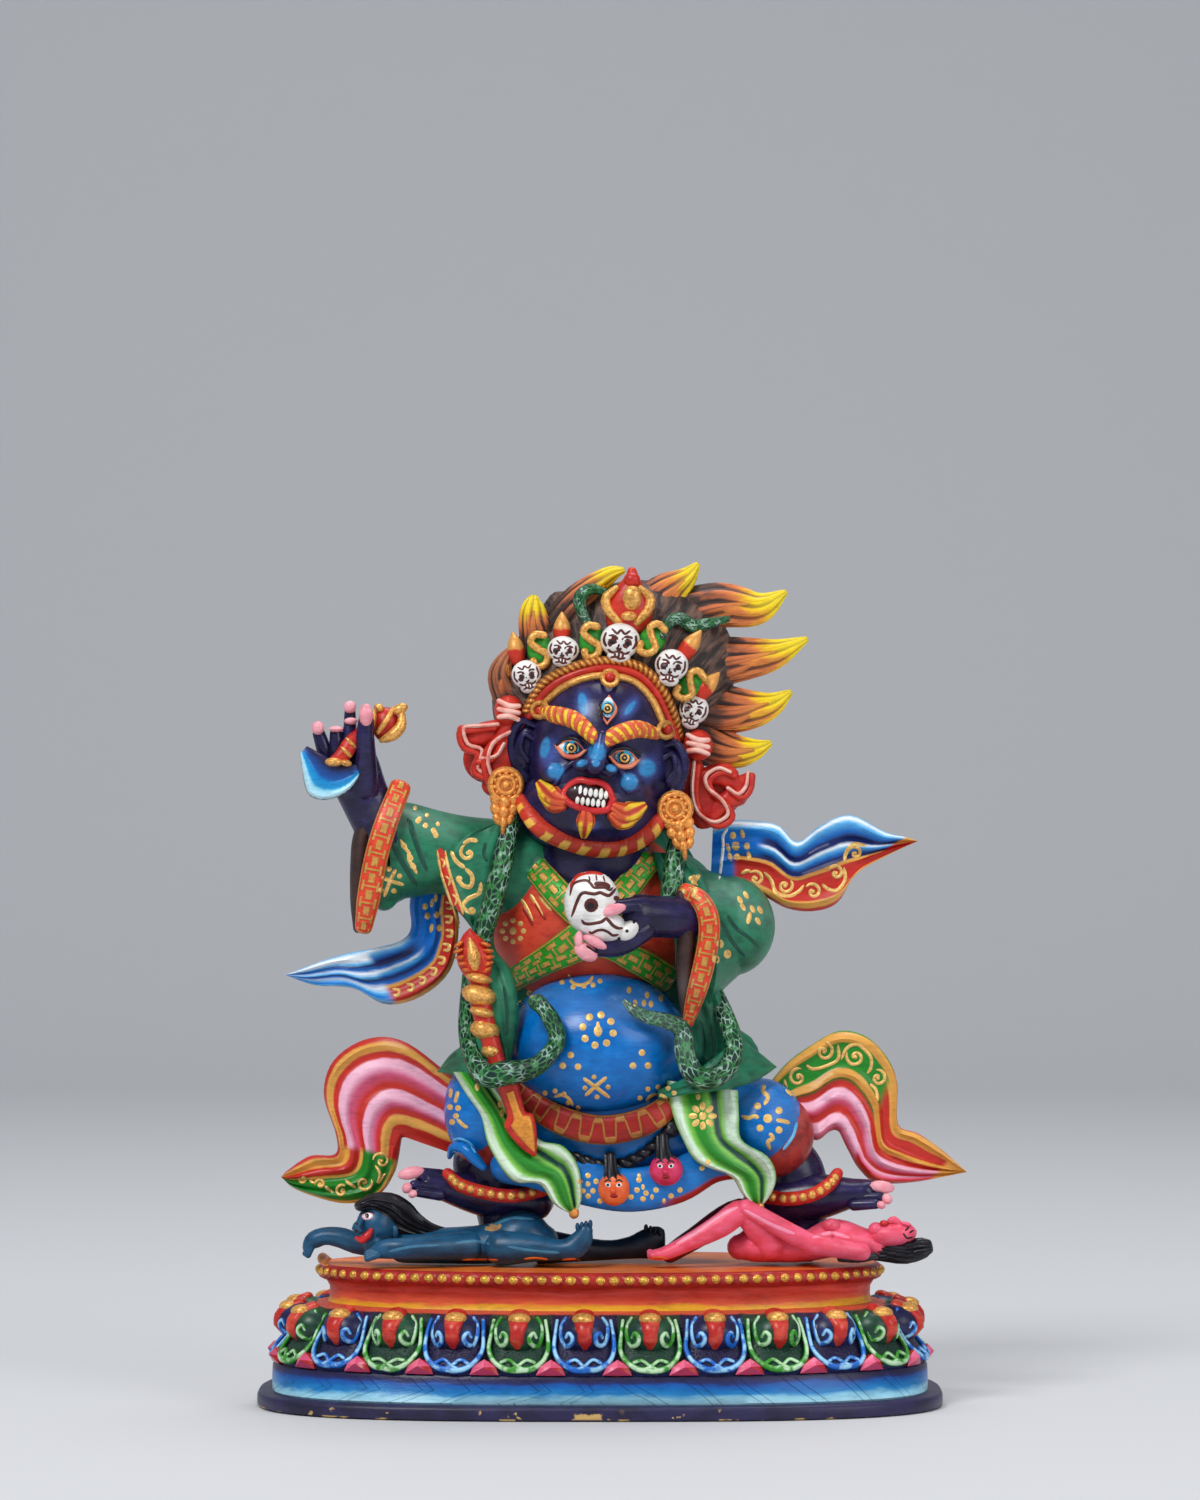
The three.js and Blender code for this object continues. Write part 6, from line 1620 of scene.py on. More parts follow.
def plinth_paints():
    plain("orange", (238, 128, 50), (228, 104, 44), rough=0.42, brush=0.06)
    plain("rim_red", (176, 38, 32), (150, 30, 28), rough=0.36)
    plain("gem_seat", (206, 62, 52), (184, 40, 40), rough=0.36)
    plain("drop", (190, 40, 34), (214, 78, 60), rough=0.3)
    gilded("bead", (240, 190, 84), (186, 112, 40), 0.33)
    gilded("rim_lip", (226, 150, 70), (196, 70, 38), 0.36)
    plain("lobe_blue", (28, 28, 66), (40, 44, 92), rough=0.34)
    plain("lobe_green", (26, 58, 48), (34, 82, 54), rough=0.34)
    # Paler in patches along the outward face of each rim: partly dry-brushed paint, partly painted highlight where the
    # light falls
    for name, base, light in (("rim_green", (56, 146, 38), (196, 230, 190)),
                              ("rim_blue", (22, 102, 196), (158, 214, 244))):
        paint = Paint(name, 0.33)
        front = paint.smooth(abs(paint.across - 0.5), 0.2, 0.06)
        patchy = paint.smooth(paint.noise(paint.place, 0.42, 3.0), 0.4, 0.56)
        paint.done(paint.mix(front * patchy, tone(*base), tone(*light)), height=0.08)
    # The stone's painted light: dark red on its sides, pink to pale pink over its front facets by how each is lit
    paint = Paint("gem", 0.3)
    paint.done(paint.tones(paint.share, [(0.0, (172, 34, 40)), (0.2, (172, 34, 40)), (0.32, (206, 66, 104)),
                                         (1.0, (236, 108, 142))]), brush=0.08)

    paint = Paint("petal_ground", 0.45)
    parity = paint.math("MODULO", paint.math("FLOOR", paint.along + 0.5), 2.0)
    grain = paint.cells(paint.place, 1.9)
    tips = paint.smooth(grain, 0.34, 0.1) * paint.smooth(paint.noise(paint.place, 0.5), 0.38, 0.6)
    ground = paint.mix(parity, tone(34, 28, 62), tone(26, 58, 46))
    light = paint.mix(parity, tone(108, 96, 150), tone(104, 156, 132))
    colour = paint.mix(tips * 0.55, ground, light)
    # A navy strip along the foot of the petals: painted shadow under them
    colour = paint.mix(paint.smooth(paint.share, 9.0, 8.6), colour, tone(28, 34, 84))
    crown_edge = paint.smooth(paint.share, 17.6, 17.9)
    paint.done(paint.mix(crown_edge, colour, tone(214, 88, 62)), bump=paint.smooth(grain, 0.5, 0.0), height=0.3)

    paint = Paint("band", 0.34)
    drift = paint.noise(paint.vector("MULTIPLY", paint.place, (0.4, 0.4, 1.5)), 0.3, 4.0) * 2.2 - 1.1
    height = paint.z + drift
    # Pale blue at the foot, blue in the middle, navy at the top: the navy top is painted shadow under the overhanging
    # petals
    colour = paint.tones(height / 10.0, [(0.26, (168, 214, 230)), (0.38, (140, 202, 226)), (0.45, (30, 130, 196)),
                                         (0.54, (8, 104, 180)), (0.6, (20, 84, 168)), (0.65, (34, 44, 104)),
                                         (0.71, (36, 32, 72))])
    drift = paint.noise(paint.place, 0.05, 1.0) * 9.0
    slant = paint.z * 1.15 + paint.along + drift
    beat = paint.math("MODULO", slant + 300.0, 9.8)
    one = paint.smooth(abs(beat - 3.0), 0.13, 0.05)
    two = paint.smooth(abs(beat - 5.2), 0.13, 0.05)
    lines = paint.math("MAXIMUM", one, two) * paint.smooth(paint.z, 7.2, 6.9)
    colour = paint.mix(lines * 0.6, colour, tone(24, 52, 104))
    paint.done(colour, bump=1.0 - lines, height=0.25)

    paint = Paint("waist", 0.38)
    drift = paint.noise(paint.vector("MULTIPLY", paint.place, (0.25, 0.25, 1.8)), 0.4, 4.0) * 2.6 - 1.3
    height = (paint.z + drift - 17.0) / 6.0
    colour = paint.tones(height, [(0.0, (222, 106, 74)), (0.1, (214, 120, 52)), (0.18, (236, 182, 30)),
                                  (0.32, (228, 160, 34)), (0.4, (222, 92, 56)), (0.6, (208, 62, 44)),
                                  (0.74, (222, 88, 76)), (0.9, (178, 40, 34)), (1.0, (160, 34, 30))])
    paint.done(colour, height=0.1)

    # Navy paint, worn through to the metal along the edge
    paint = Paint("plate", 0.4)
    colour = paint.mix(paint.smooth(paint.noise(paint.place, 0.2, 3.0), 0.4, 0.65), tone(44, 40, 78), tone(34, 32, 60))
    edge = paint.smooth(paint.z, 2.3, 1.9) * paint.smooth(paint.z, 0.2, 0.6)
    large = paint.smooth(paint.noise(paint.place, 0.055, 2.0), 0.66, 0.7)
    small = paint.smooth(paint.noise(paint.place, 0.5, 3.0), 0.67, 0.72)
    patch = paint.math("MAXIMUM", large * paint.smooth(paint.noise(paint.place, 0.6), 0.4, 0.5), small)
    ragged = paint.noise(paint.place, 0.9, 3.0) * 2.4 - 1.2
    chip = paint.smooth(abs(paint.x + 2.1) + ragged, 2.6, 2.2)
    chip = chip * paint.smooth(paint.y, -30.0, -33.0)
    chip = chip * paint.smooth(ragged * 0.5 + paint.z, 1.5, 1.2)
    rubbed = paint.smooth(paint.noise(paint.place, 0.22, 3.0), 0.54, 0.62) * paint.smooth(paint.z, 0.55, 0.35)
    patch = paint.math("MAXIMUM", patch, chip) * edge
    patch = paint.math("MAXIMUM", patch, rubbed)
    paint.done(paint.mix(patch, colour, tone(206, 170, 104)), height=0.1)


# Gold motifs, faces and other hand-painted marks. Places are (across, down) from the top left of the view, which has
# the grid's middle line and its lowest line here.
MIDDLE_ACROSS, FOOT_DOWN = 600, 1262


def px(*points):
    return [(x - MIDDLE_ACROSS, FOOT_DOWN - y) for x, y in points]


def dots(brush, radius, *points, paint="gold_pale", **how):
    for x, z in px(*points):
        brush.dot(paint, x, z, radius, **how)


def lines(brush, width, *paths, paint="gold_pale", **how):
    for path in paths:
        brush.stroke(paint, px(*path), width, **how)


def flower(brush, x, y, reach, count, radius, middle, tall=1.0, turn=0.0):
    """Dots or drops round a middle"""
    (cx, cz), = px((x, y))
    brush.dot("gold_pale", cx, cz, middle, tall=1.15)
    for k in range(count):
        a = 2 * math.pi * k / count + turn
        brush.dot("gold_pale", cx + reach * math.sin(a), cz + reach * math.cos(a), radius, tall=tall,
                  lean=math.degrees(a))


def curl_of(brush, x, y, radius, turns, start, hand, width, rise):
    (cx, cz), = px((x, y))
    brush.stroke("gold_pale", spiral(cx, cz, radius, turns, start, hand), width, rise=rise, taper=0.2, pitch=1.3)
    brush.dot("gold_pale", cx, cz, width * 1.1, rise=rise)


def belly_marks(b):
    flower(b, 598, 1030, 15.5, 8, 3.7, middle=0.1, turn=0.2)
    dots(b, 4.2, (598, 1031), tall=1.35)
    dots(b, 1.8, (598, 1025), tall=2.0)
    dots(b, 3.4, (570.7, 1055), (562.7, 1065.7), (578, 1066.7), (642, 1052.7), (633, 1065.7), (648, 1065.5))
    lines(b, 2.0, [(583, 1078), (594, 1086), (610, 1098)], [(607, 1077), (596, 1086), (585, 1096)])
    dots(b, 2.5, (594, 1077), (608, 1087), (585, 1088), (597, 1097))
    lines(b, 1.7, [(568, 974), (572, 982), (580, 985), (589, 982), (593, 976)],
          [(646, 1102), (651, 1096), (660, 1095), (668, 1099)], [(554, 1097), (562, 1095), (569, 1099), (573, 1106)])
    dots(b, 2.6, (562, 982), (573, 987), (584, 986), (593, 985), (600, 981), (640, 1098), (648, 1089),
         (658, 1087), (668, 1088), (674, 1093), (545, 1093), (555, 1091), (564, 1094), (568, 1103), (578, 1108))
    dots(b, 2.4, (629, 990), (647, 995), (661, 998), (635, 1003), (644, 1003), (651, 1004), tall=1.5)
    dots(b, 4.0, (530, 994), (521, 1004), tall=0.8, lean=40)


def thigh_marks(b):
    dots(b, 3.6, (757.5, 1106), (779, 1110.5), (760, 1128), (779, 1130))
    dots(b, 4.6, (767.7, 1118.5))
    lines(b, 2.1, [(765, 1085), (763, 1091), (768, 1097), (764, 1105)],
          [(741, 1116), (748, 1118), (754, 1116), (759, 1118)], [(776, 1120), (783, 1121), (790, 1123)],
          [(769, 1133), (773, 1138), (768, 1142), (770, 1150)])
    lines(b, 1.9, [(451, 1088), (450, 1098)], [(458, 1091), (455, 1103)], [(457, 1119), (463, 1125), (468, 1128)])
    dots(b, 3.0, (458, 1108), (450, 1107), (452, 1122), (456, 1116))
    lines(b, 1.6, [(451, 1141), (460, 1139), (470, 1144), (476, 1153)], [(797, 1122), (793, 1136), (783, 1150)],
          paint="sky", rise=0.12)
    flower(b, 588, 1184, 8.5, 5, 2.8, middle=2.4)
    dots(b, 2.8, (639, 1180), (637, 1190), (646, 1193), (656, 1190), (643, 1199), (631, 1197), (680, 1190),
         (671, 1196), (588, 1196), (600, 1201), (702, 1168), (708, 1162))
    dots(b, 1.8, (639, 1176), (643, 1187), (652, 1197), (664, 1201), tall=1.6)


def chest_marks(b):
    flower(b, 513, 931, 10.5, 8, 2.7, middle=3.3)
    lines(b, 2.0, [(521, 899), (528, 910), (533, 921)], [(530, 894), (537, 905), (544, 917)],
          [(539, 895), (546, 905), (552, 911)], taper=0.5)
    # Dark red strokes beside the gold ones: painted shade
    lines(b, 1.7, [(523, 908), (529, 918), (533, 926)], [(535, 903), (541, 913), (546, 920)], paint="coat_red_deep")
    flower(b, 702.7, 1116, 9.8, 8, 3.0, tall=1.5, middle=3.8)
    dots(b, 2.4, (477, 1087), (500, 1104), (502, 1113), (698, 1096), tall=1.7)
    # Green sleeve on the right: a flower of strokes, three dots, two folds drawn in painted shade
    dots(b, 2.3, (740, 900), (746, 895), (743, 907), (752.5, 909), (760, 910), (758, 921), tall=1.9, lean=-30)
    dots(b, 2.5, (749, 918), tall=2.6, lean=12)
    dots(b, 3.8, (720, 944), (727.5, 954), (715.8, 959.5), tall=1.2)
    lines(b, 2.4, [(727, 915), (735, 927), (748, 937), (761, 949)], [(721, 920), (728, 935), (737, 948), (746, 957)],
          paint="coat_deep", taper=0.3)
    lines(b, 2.6, [(692, 897), (696, 888), (694, 882), (700, 874)], [(689, 880), (696, 876)])
    # Left sleeve: a cross with dots, a chain of leaves, folds drawn in painted shade; scrolls on the shoulder
    lines(b, 2.0, [(396, 869), (390, 881), (384, 897)], [(381, 877), (391, 881), (404, 885)])
    dots(b, 2.7, (389, 869), (399.5, 876), (381, 890), (394, 891))
    lines(b, 3.4, [(392, 842), (400, 858), (408, 872), (417, 886)], [(408, 818), (414, 836), (420, 854), (427, 871)],
          paint="coat_deep", taper=0.3)
    dots(b, 2.2, (415, 808), (427, 815), (438, 824))
    lines(b, 2.6, [(416, 823), (421, 817)], [(424, 823), (427, 828)], [(432, 828), (435, 833), (437, 838)])
    lines(b, 1.7, [(400, 839), (405, 848), (409, 853), (409, 860), (414, 868), (417, 874)])
    dots(b, 2.7, (404, 846), (410, 857), (413, 866), tall=1.6, lean=-35)
    curl_of(b, 468, 853, 8.5, 0.95, 1.9, 1, 2.0, rise=0.08)
    lines(b, 2.2, [(478, 841), (470, 840), (463, 844)], [(451, 851), (456, 861), (465, 868)],
          [(465, 868), (472, 876), (471, 886), (464, 886), (457, 879)],
          [(481, 882), (479, 893), (468, 899), (463, 906), (469, 912), (476, 912)])
    dots(b, 3.4, (459, 879))
    dots(b, 4.0, (472, 911))
    # Dark green strokes in the coat's folds: painted shade
    lines(b, 1.8, [(486, 842), (484, 853), (487, 862)], [(504, 985), (507, 1010), (506, 1035)],
          [(700, 1020), (704, 1040), (703, 1062)], [(711, 1024), (714, 1044), (711, 1064)], paint="coat_deep")
    lines(b, 4.2, [(440, 848), (444, 868), (452, 892), (461, 918), (464, 936)], paint="red", rise=0.25)
    lines(b, 1.5, [(437, 850), (441, 870), (449, 894), (457, 919), (461, 938)],
          [(445, 850), (449, 870), (456, 892), (464, 914)], [(440, 858), (445, 862), (444, 868)],
          [(446, 876), (450, 880), (449, 886)], [(453, 894), (457, 899), (456, 905)], rise=0.34)


def ribbon_marks(b):
    # Right shoulder: a sun on the blue, five curls along the red trim
    dots(b, 4.6, (735.7, 846))
    dots(b, 3.1, (733, 835.5), (747, 846), (737, 857), tall=1.2)
    dots(b, 2.2, (742.5, 834), (728, 847.5), (730, 857), (749, 855.5), tall=2.1, lean=-14)
    lines(b, 1.6, [(719, 880), (721, 866), (723, 848), (723, 836), (728, 828)], paint="white", rise=0.18)
    for x, y, r, start, hand in [(755.8, 878.5, 8, 2.4, -1), (785, 885.8, 8, 0.8, -1), (813, 891.5, 8.5, 2.6, -1),
                                 (836, 873, 8, 2.8, -1), (855, 853, 8, 3.4, -1)]:
        curl_of(b, x, y, r, 1.15, start, hand, 1.9, rise=0.22)
    lines(b, 1.9, [(741, 874), (746, 871), (751, 871)],
          [(764, 872), (771, 880), (776, 892), (788, 896), (798, 892), (804, 885)],
          [(822, 884), (828, 889), (837, 890), (845, 880), (844, 867)],
          [(844, 862), (847, 850), (855, 844), (866, 846)], rise=0.2)
    # Left shoulder: dots on the blue, scroll strokes on the trim
    dots(b, 2.9, (427.5, 916), (436.5, 914.8), (425, 906.5), (439.5, 928), tall=1.2)
    dots(b, 1.9, (432, 903), (436, 898), (431.5, 928), (441, 911), tall=2.4, lean=8)
    for x, y in [(451, 892), (449, 905), (448, 919), (449, 933), (446, 947), (441, 960), (433, 971), (422, 980),
                 (410, 987), (396, 992)]:
        lines(b, 1.7, [(x - 4, y - 3), (x + 3, y - 2), (x + 2, y + 3), (x - 3, y + 3)], rise=0.2)
    # Left leg: curls on the green tail
    for x, y, r, start, hand in [(381.6, 1161, 9, 3.0, -1), (364, 1183, 8.5, 0.4, -1), (341.6, 1191, 6.5, 1.0, 1),
                                 (320, 1184, 5.5, 3.4, -1), (303, 1179, 4, 2.6, 1)]:
        curl_of(b, x, y, r, 1.15, start, hand, 1.6, rise=0.22)
    lines(b, 1.5, [(386, 1173), (378, 1183), (380, 1174), (375, 1165)], [(356, 1188), (350, 1184), (345, 1180)],
          [(334, 1193), (328, 1189), (325, 1186)], [(314, 1183), (309, 1180)], rise=0.2)
    # Right leg: curls on the green arch
    for x, y, r, start, hand in [(797.9, 1077.5, 9.5, 1.2, 1), (824, 1051.6, 9.5, 1.4, -1), (855.4, 1057, 9.5, 2.6, 1),
                                 (877.9, 1078, 8.5, 1.8, -1)]:
        curl_of(b, x, y, r, 1.2, start, hand, 1.9, rise=0.24)
    lines(b, 1.8, [(784, 1079), (787, 1090), (793, 1096)],
          [(806, 1065), (813, 1069), (826, 1066), (838, 1059), (838, 1044)],
          [(841, 1060), (847, 1048), (858, 1045), (870, 1056), (871, 1067), (867, 1074)],
          [(870, 1084), (876, 1090), (878, 1101)], rise=0.22)


def eye_marks(b, x, y, size):
    (cx, cz), = px((x, y))
    for n, (paint, r) in enumerate([("cyan", 8.2), ("ink", 6.3), ("gold_pale", 4.9), ("ink", 2.9), ("gold_pale", 1.2)]):
        b.dot(paint, cx + 0.3, cz, r * size, rise=0.03, tall=1.02, layer=0.05 + 0.035 * n)


def face_marks(b):
    eye_marks(b, 571, 748, 0.98)
    eye_marks(b, 624.3, 757.8, 0.98)
    eye_marks(b, 607.3, 708.5, 0.9)
    lines(b, 1.5, [(556, 746), (564, 739), (574, 738), (584, 742), (589, 747)],
          [(608, 756), (615, 749), (625, 748), (636, 752), (641, 757)], [(603, 699), (600, 708), (603, 719)],
          paint="ink", rise=0.14)


def skull_marks(b, x, y, wide, high, lean):
    """Sockets, nose, brow lines and the lines of the mouth, drawn in brown"""
    (cx, cz), = px((x, y))
    k = math.radians(lean)

    def to(dx, dz):
        return (cx + dx * wide * math.cos(k) + dz * high * math.sin(k),
                cz + dz * high * math.cos(k) - dx * wide * math.sin(k))

    for side in (-0.4, 0.36):
        b.dot("brown", *to(side, 0.04), wide * 0.24, rise=0.03, tall=1.15, lean=lean)
        b.dot("ink", *to(side, 0.04), wide * 0.13, rise=0.02, layer=0.05)
    thin = wide * 0.075
    for path in [[(-0.62, 0.34), (-0.34, 0.36), (-0.12, 0.2)], [(0.62, 0.34), (0.3, 0.38), (0.06, 0.2)],
                 [(-0.5, 0.7), (-0.2, 0.5), (-0.02, 0.66), (0.2, 0.5), (0.46, 0.7)],
                 [(-0.03, 0.02), (-0.12, -0.2), (0.0, -0.26), (0.1, -0.18)],
                 [(-0.6, -0.3), (-0.34, -0.44), (-0.03, -0.36), (0.3, -0.44), (0.54, -0.3)],
                 [(-0.42, -0.7), (-0.16, -0.62), (0.06, -0.7), (0.36, -0.62)],
                 [(-0.2, -0.44), (-0.19, -0.64)], [(0.0, -0.4), (0.0, -0.66)], [(0.2, -0.44), (0.19, -0.64)],
                 [(-0.74, 0.5), (-0.82, 0.1), (-0.66, -0.2)], [(0.74, 0.5), (0.8, 0.1), (0.64, -0.2)]]:
        b.stroke("brown", [to(*p) for p in path], thin, rise=0.03, pitch=1.0)


def cup_marks(b):
    dots(b, 7.2, (591.2, 905.2), paint="brown", rise=0.1)
    dots(b, 3.6, (590.8, 906), paint="ink", rise=0.06, layer=0.12)
    dots(b, 3.2, (616.4, 898.4), paint="brown", rise=0.12, tall=0.85, lean=30)
    lines(b, 1.7, [(571.5, 917), (574, 910), (576.5, 903), (580, 895.5), (584, 892.6), (590, 893.5), (595, 894),
                   (600, 892.6), (605, 894.6), (609, 895.5), (613, 892), (616, 888)],
          [(581.5, 919.5), (584, 923), (589, 924), (596, 923), (602, 921.5), (606, 918.6), (609.5, 921.5), (613, 925.5),
           (618, 928.2), (623.5, 928)], paint="brown", rise=0.1)
    lines(b, 1.4, [(588.5, 931.6), (592, 933), (597, 930.6), (603, 930), (608, 932), (613, 935.4), (619, 934.4)],
          [(570, 896), (571.5, 888), (574, 883.4), (580, 881), (587, 880.6), (591, 884), (594, 887.4), (600, 887.6),
           (605, 887.6), (610, 890), (613, 887)], paint="brown", rise=0.1)
    lines(b, 2.6, [(594, 884), (600, 884), (606, 885), (610, 888)], paint="brown", rise=0.12)
    lines(b, 0.8, [(589, 876), (590, 881)], [(596, 875), (597, 881)], [(603, 876), (605, 882)], paint="brown",
          rise=0.12)
    lines(b, 1.8, [(571, 889), (572.4, 882), (577, 876.4), (584, 873.4), (593, 872.6), (603, 874.4)], paint="red",
          rise=0.12)
    dots(b, 1.7, (627, 931), (619, 938.6), (634, 922), paint="ink", rise=0.12)
    lines(b, 1.1, [(586, 945.6), (592, 949.4), (598, 953.4)], paint="ink", rise=0.12)


def small_heads(b):
    for x, y in [(614, 1189), (666, 1170)]:
        for dx in (-6, 5):
            dots(b, 3.0, (x + dx, y - 4), paint="white", rise=0.03, tall=0.7, lean=-dx * 4)
            dots(b, 1.5, (x + dx, y - 4), paint="ink", rise=0.03, layer=0.05)
            lines(b, 0.9, [(x + dx - 4, y - 7), (x + dx, y - 9), (x + dx + 4, y - 7)], paint="ink", rise=0.05)
        dots(b, 4.2, (x, y + 7), paint="lips", rise=0.05, tall=0.55, lean=4)
        lines(b, 0.6, [(x - 3, y + 7), (x, y + 7.6), (x + 3, y + 7)], paint="ink", rise=0.1)


def prone_marks(b):
    # Eyes and brows of the two faces
    dots(b, 6.0, (367.5, 1216), paint="nail", rise=0.04, tall=0.66, lean=-14)
    dots(b, 4.4, (367.5, 1216), paint="white", rise=0.04, tall=0.62, lean=-14, layer=0.05)
    dots(b, 2.4, (367, 1216), paint="ink", rise=0.03, layer=0.1)
    lines(b, 1.1, [(361, 1214.5), (367, 1211.6), (375, 1213)], [(359, 1208), (367, 1203.6), (377, 1205)], paint="ink",
          rise=0.08)
    dots(b, 1.6, (357, 1224), (356, 1231), paint="ink")
    lines(b, 1.0, [(903, 1233), (907, 1238), (913, 1237)], [(905, 1231), (909, 1227)], [(909, 1233), (914, 1230)],
          [(906, 1242), (911, 1243)], paint="ink", rise=0.06)
    dots(b, 3.0, (832, 1236), paint="rose_deep", rise=0.05)
    # Orange from the plinth's top, dragged up along the bodies
    lines(b, 1.0, [(462, 1260), (480, 1259.5), (498, 1260)], [(524, 1259), (535, 1258), (548, 1259.5)],
          [(562, 1260), (572, 1259), (580, 1260)], [(652, 1258), (660, 1257.5), (668, 1259)], paint="orange_dab",
          rise=0.06)
    dots(b, 9.0, (493, 1227), paint="tan", rise=0.05, tall=0.45, lean=-10)
    lines(b, 1.6, [(388, 1252), (410, 1247), (440, 1245)], [(492, 1225), (512, 1218), (534, 1219)],
          [(455, 1243), (475, 1241), (490, 1244)], [(508, 1247), (535, 1251), (560, 1253)], paint="teal_light",
          rise=0.03)
    lines(b, 2.0, [(676, 1244), (700, 1229), (722, 1214), (738, 1207)], [(744, 1210), (770, 1224), (795, 1234)],
          [(812, 1238), (830, 1233), (850, 1238)], paint="pink_light", rise=0.03)


def back_marks(b):
    """A few flowers on the coat's back, which the photo doesn't show"""
    for x, z, reach in [(0, 250, 15), (-70, 180, 13), (72, 184, 13), (-60, 300, 11), (64, 304, 11), (4, 140, 12)]:
        b.dot("gold_pale", x, z, 4.4)
        for k in range(8):
            a = k / 8 * 2 * math.pi
            b.dot("gold_pale", x + reach * math.sin(a), z + reach * math.cos(a), 3.4, tall=1.3, lean=math.degrees(a))
    for x, z in [(-104, 240), (104, 236), (-34, 210), (38, 214), (-110, 140), (112, 142)]:
        for dx, dz in [(0, 5), (-5, -4), (5, -4)]:
            b.dot("gold_pale", x + dx, z + dz, 2.8)


def ornament(piece):
    # The first two are darker coat colours, for painted shade in the coat's folds
    for name, one, two in [("coat_deep", (18, 72, 58), (22, 82, 64)), ("coat_red_deep", (150, 34, 26), (160, 40, 30)),
                           ("sky", (90, 176, 232), (120, 196, 240)), ("white", (240, 244, 246), (224, 234, 240)),
                           ("lips", (190, 36, 34), (170, 30, 34)), ("orange_dab", (236, 122, 40), (224, 100, 34)),
                           ("tan", (176, 140, 96), (150, 114, 74)), ("teal_light", (66, 128, 160), (54, 112, 146)),
                           ("pink_light", (250, 150, 178), (244, 130, 160)),
                           ("rose_deep", (214, 60, 84), (200, 50, 70))]:
        plain(name, one, two, rough=0.36, brush=0.08)
    b = Brush(piece)
    for marks in (belly_marks, thigh_marks, chest_marks, ribbon_marks, face_marks, cup_marks, small_heads, prone_marks):
        marks(b)
    for x, y, wide, high, lean in [(527, 677, 15, 17, -12), (563, 652, 16, 16, 6), (620, 644, 20, 21, 6),
                                   (671, 668, 17, 19, 10), (693, 712, 15, 18, 16)]:
        skull_marks(b, x, y, wide, high, lean)
    back = Brush(piece, behind=True)
    back_marks(back)
    b.join(back)
    return b.finished("hand_painted_marks")


# Broad strokes of painted shade and painted highlight on the statue, darker in folds, under the beard and where the
# bodies meet the plinth, lighter where the light falls: [points, half width, darker or lighter]
PAINTED_LIGHT_SHADE_STROKES = [([(548, 838), (600, 850), (652, 838)], 10, -0.5), ([(520, 985), (600, 1004), (690, 985)], 12, 0.16),
          ([(620, 1012), (660, 1022), (684, 1050)], 14, 0.22),
          ([(520, 1060), (545, 1095), (600, 1114), (650, 1100)], 12, -0.4),
          ([(506, 1000), (512, 1040), (520, 1070)], 10, -0.35), ([(715, 890), (740, 900), (765, 915)], 14, 0.28),
          ([(712, 965), (735, 968), (758, 955)], 10, -0.3), ([(380, 810), (410, 820), (450, 830)], 10, 0.25),
          ([(390, 895), (410, 893), (436, 886)], 8, -0.4), ([(445, 1000), (448, 1040), (452, 1062)], 9, -0.45),
          ([(700, 1000), (712, 1040), (716, 1080)], 10, -0.45), ([(744, 1000), (752, 1040), (762, 1062)], 8, -0.25),
          ([(745, 1100), (770, 1100), (795, 1120)], 10, 0.2), ([(748, 1145), (770, 1160), (780, 1166)], 8, -0.3),
          ([(560, 1138), (600, 1150), (650, 1136)], 7, -0.55), ([(470, 1205), (500, 1214), (530, 1206)], 8, -0.4),
          ([(780, 1212), (820, 1218), (850, 1210)], 7, -0.4), ([(640, 900), (660, 940), (650, 960)], 8, -0.35),
          ([(400, 1250), (470, 1256), (560, 1258)], 5, -0.45), ([(700, 1255), (800, 1260), (860, 1256)], 5, -0.3),
          ([(540, 700), (548, 690), (560, 684)], 8, -0.3), ([(545, 800), (560, 822), (580, 838)], 9, -0.35)]


# Lays the broad strokes of painted shade and painted highlight on the statue's points, below zero darker and above zero
# lighter
def painted_light_shade(piece):
    mesh = piece.data
    x, z = grid_of(points_of(mesh) / MM)
    values = np.zeros(len(x))
    for path, width, strength in PAINTED_LIGHT_SHADE_STROKES:
        path = px(*path)
        line = curve(path, np.linspace(0, len(path) - 1, 24))
        near = np.min((x[:, None] - line[None, :, 0]) ** 2 + (z[:, None] - line[None, :, 1]) ** 2, axis=1)
        values += strength * np.exp(-near / width**2)
    normals = np.zeros(len(x) * 3, np.float32)
    mesh.vertices.foreach_get("normal", normals)
    # Only points that face the front take the painted shade and highlights
    values *= normals.reshape(-1, 3)[:, 1] < -0.15
    layer = mesh.attributes.new("painted_light_shade", "FLOAT", "POINT")
    layer.data.foreach_set("value", np.clip(values, -1, 1).astype(np.float32))


# Setting

SENSOR = 36  # height, in millimetres
VIEW_HEIGHT = 270  # what the camera takes in at the middle plane, in millimetres
LIT_HEIGHT = 0.08  # the place that the lamps point at, in metres up


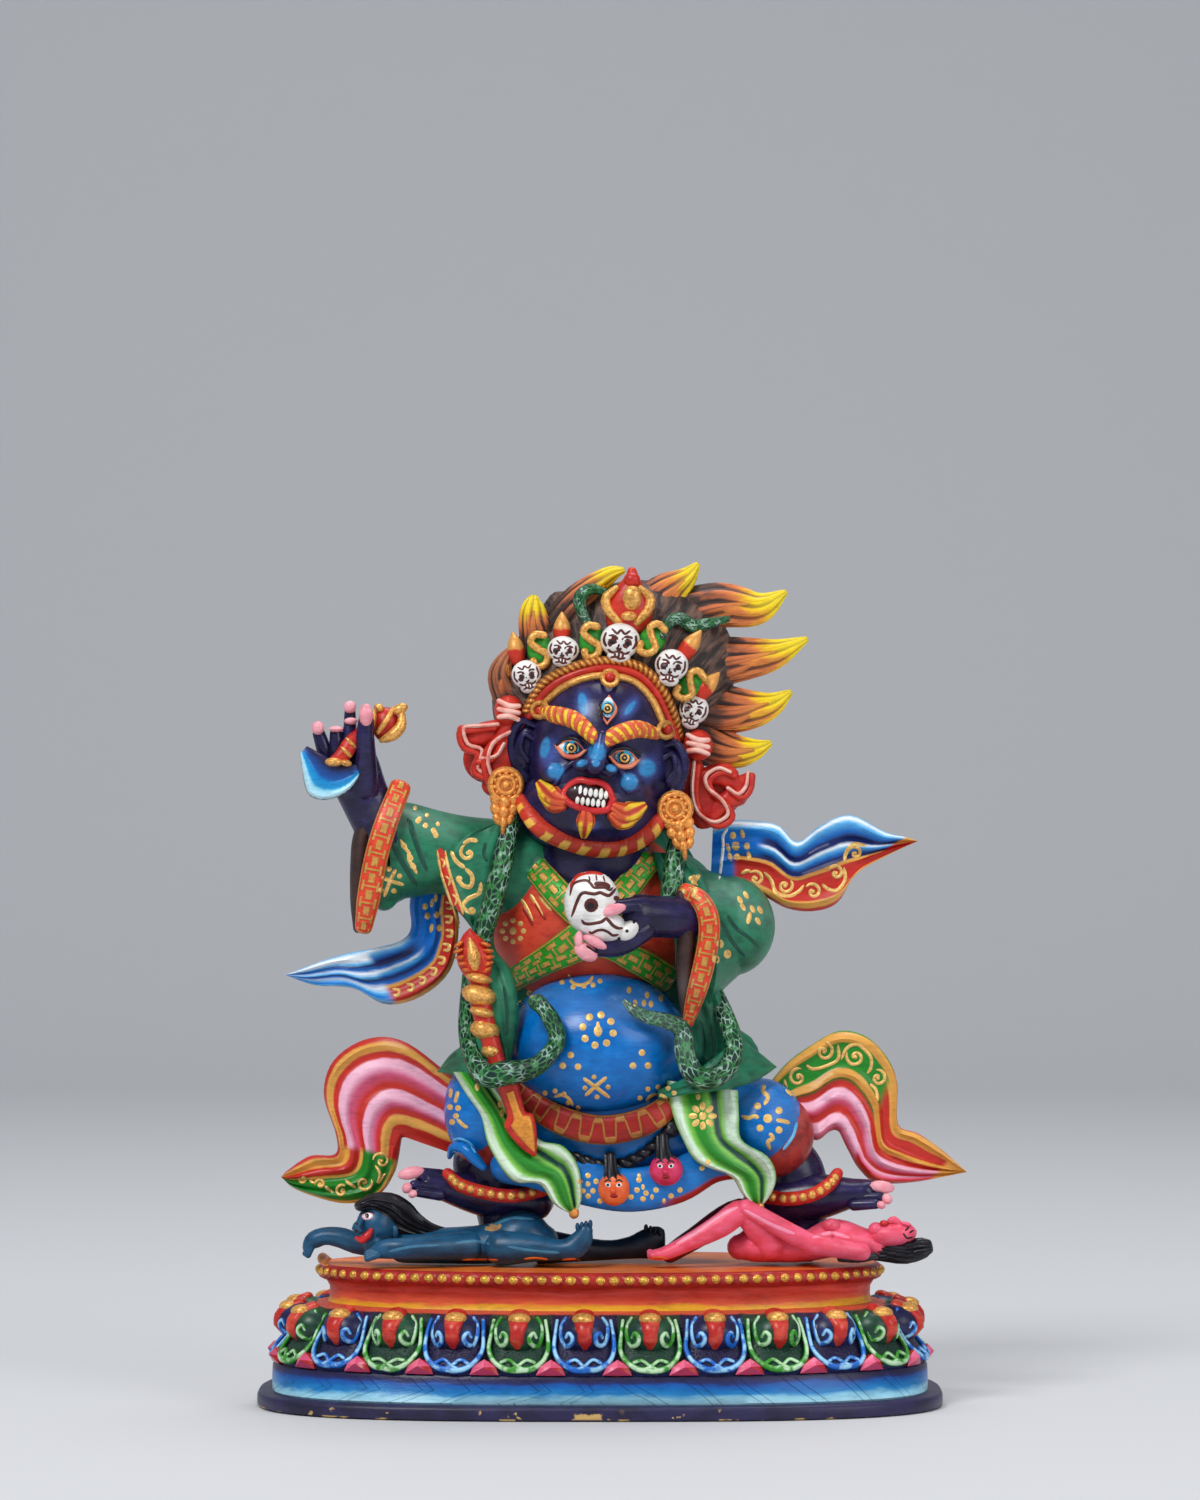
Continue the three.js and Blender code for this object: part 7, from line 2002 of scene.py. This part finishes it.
def setting():
    """A pale floor and wall, soft light from above and both sides, and the camera"""
    bpy.context.scene.view_settings.view_transform = "Standard"
    world = bpy.data.worlds.new("air")
    world.use_nodes = True
    world.node_tree.nodes["Background"].inputs[0].default_value = (0.9, 0.93, 1.0, 1)
    world.node_tree.nodes["Background"].inputs[1].default_value = 0.34
    bpy.context.scene.world = world
    mesh = bpy.data.meshes.new("floor")
    reach, rise, wall, radius, steps = 3.0, 2.4, 1.0, 0.5, 12
    bend = [math.pi / 2 * n / steps for n in range(1, steps + 1)]
    rows = [(-reach, 0.0), (wall, 0.0)]
    rows += [(wall + radius * math.sin(k), radius - radius * math.cos(k)) for k in bend]
    rows += [(wall + radius, rise)]
    points = [(x, y, z) for y, z in rows for x in (-reach, reach)]
    faces = [(2 * n, 2 * n + 1, 2 * n + 3, 2 * n + 2) for n in range(len(rows) - 1)]
    mesh.from_pydata(points, [], faces)
    mesh.polygons.foreach_set("use_smooth", np.ones(len(faces), bool))
    floor = placed("floor", mesh)
    shade = bpy.data.materials.new("floor")
    shade.use_nodes = True
    shader = shade.node_tree.nodes["Principled BSDF"]
    shader.inputs["Base Color"].default_value = (0.62, 0.63, 0.65, 1)
    shader.inputs["Roughness"].default_value = 0.7
    mesh.materials.append(shade)

    def lamp(name, place, size, power):
        light = bpy.data.lights.new(name, "AREA")
        light.shape, light.size, light.energy = "DISK", size, power
        piece = placed(name, light)
        piece.location = place
        piece.rotation_euler = (Vector((0, 0, LIT_HEIGHT)) - Vector(place)).to_track_quat("-Z", "Y").to_euler()

    lamp("key", (-0.55, -0.85, 1.05), 0.5, 11)
    lamp("fill", (0.8, -0.75, 0.55), 0.7, 4)
    lamp("top", (0.1, 0.25, 1.1), 0.6, 5)

    camera = bpy.data.cameras.new("camera")
    camera.sensor_fit, camera.sensor_height = "VERTICAL", SENSOR
    camera.lens = SENSOR * CAMERA_AWAY / VIEW_HEIGHT
    camera.clip_start = 0.05
    piece = placed("camera", camera)
    piece.location = (0, -CAMERA_AWAY * MM, CAMERA_UP * MM)
    piece.rotation_euler = (math.pi / 2, 0, 0)
    bpy.context.scene.camera = piece


# The pieces

paints()
plinth_paints()
for shapes, name, node, slot in [(plinth_shapes(), "lotus", "lotus_plinth", "plinth_paint"),
                                 (plate_shapes(), "foot", "foot_plate", "plate_paint")]:
    piece = united(shapes, name)
    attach(piece, "root")
    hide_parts(node)
coarseness = 1.5  # the statue is one large piece, which stays under 200,000 triangles
figure()
statue = united(built, "statue", PLINTH_TOP)
coarseness = 1.0
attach(statue, "root")
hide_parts("deity_and_prone_figures")
painted_light_shade(statue)
marks = ornament(statue)
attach(marks, "root")
setting()
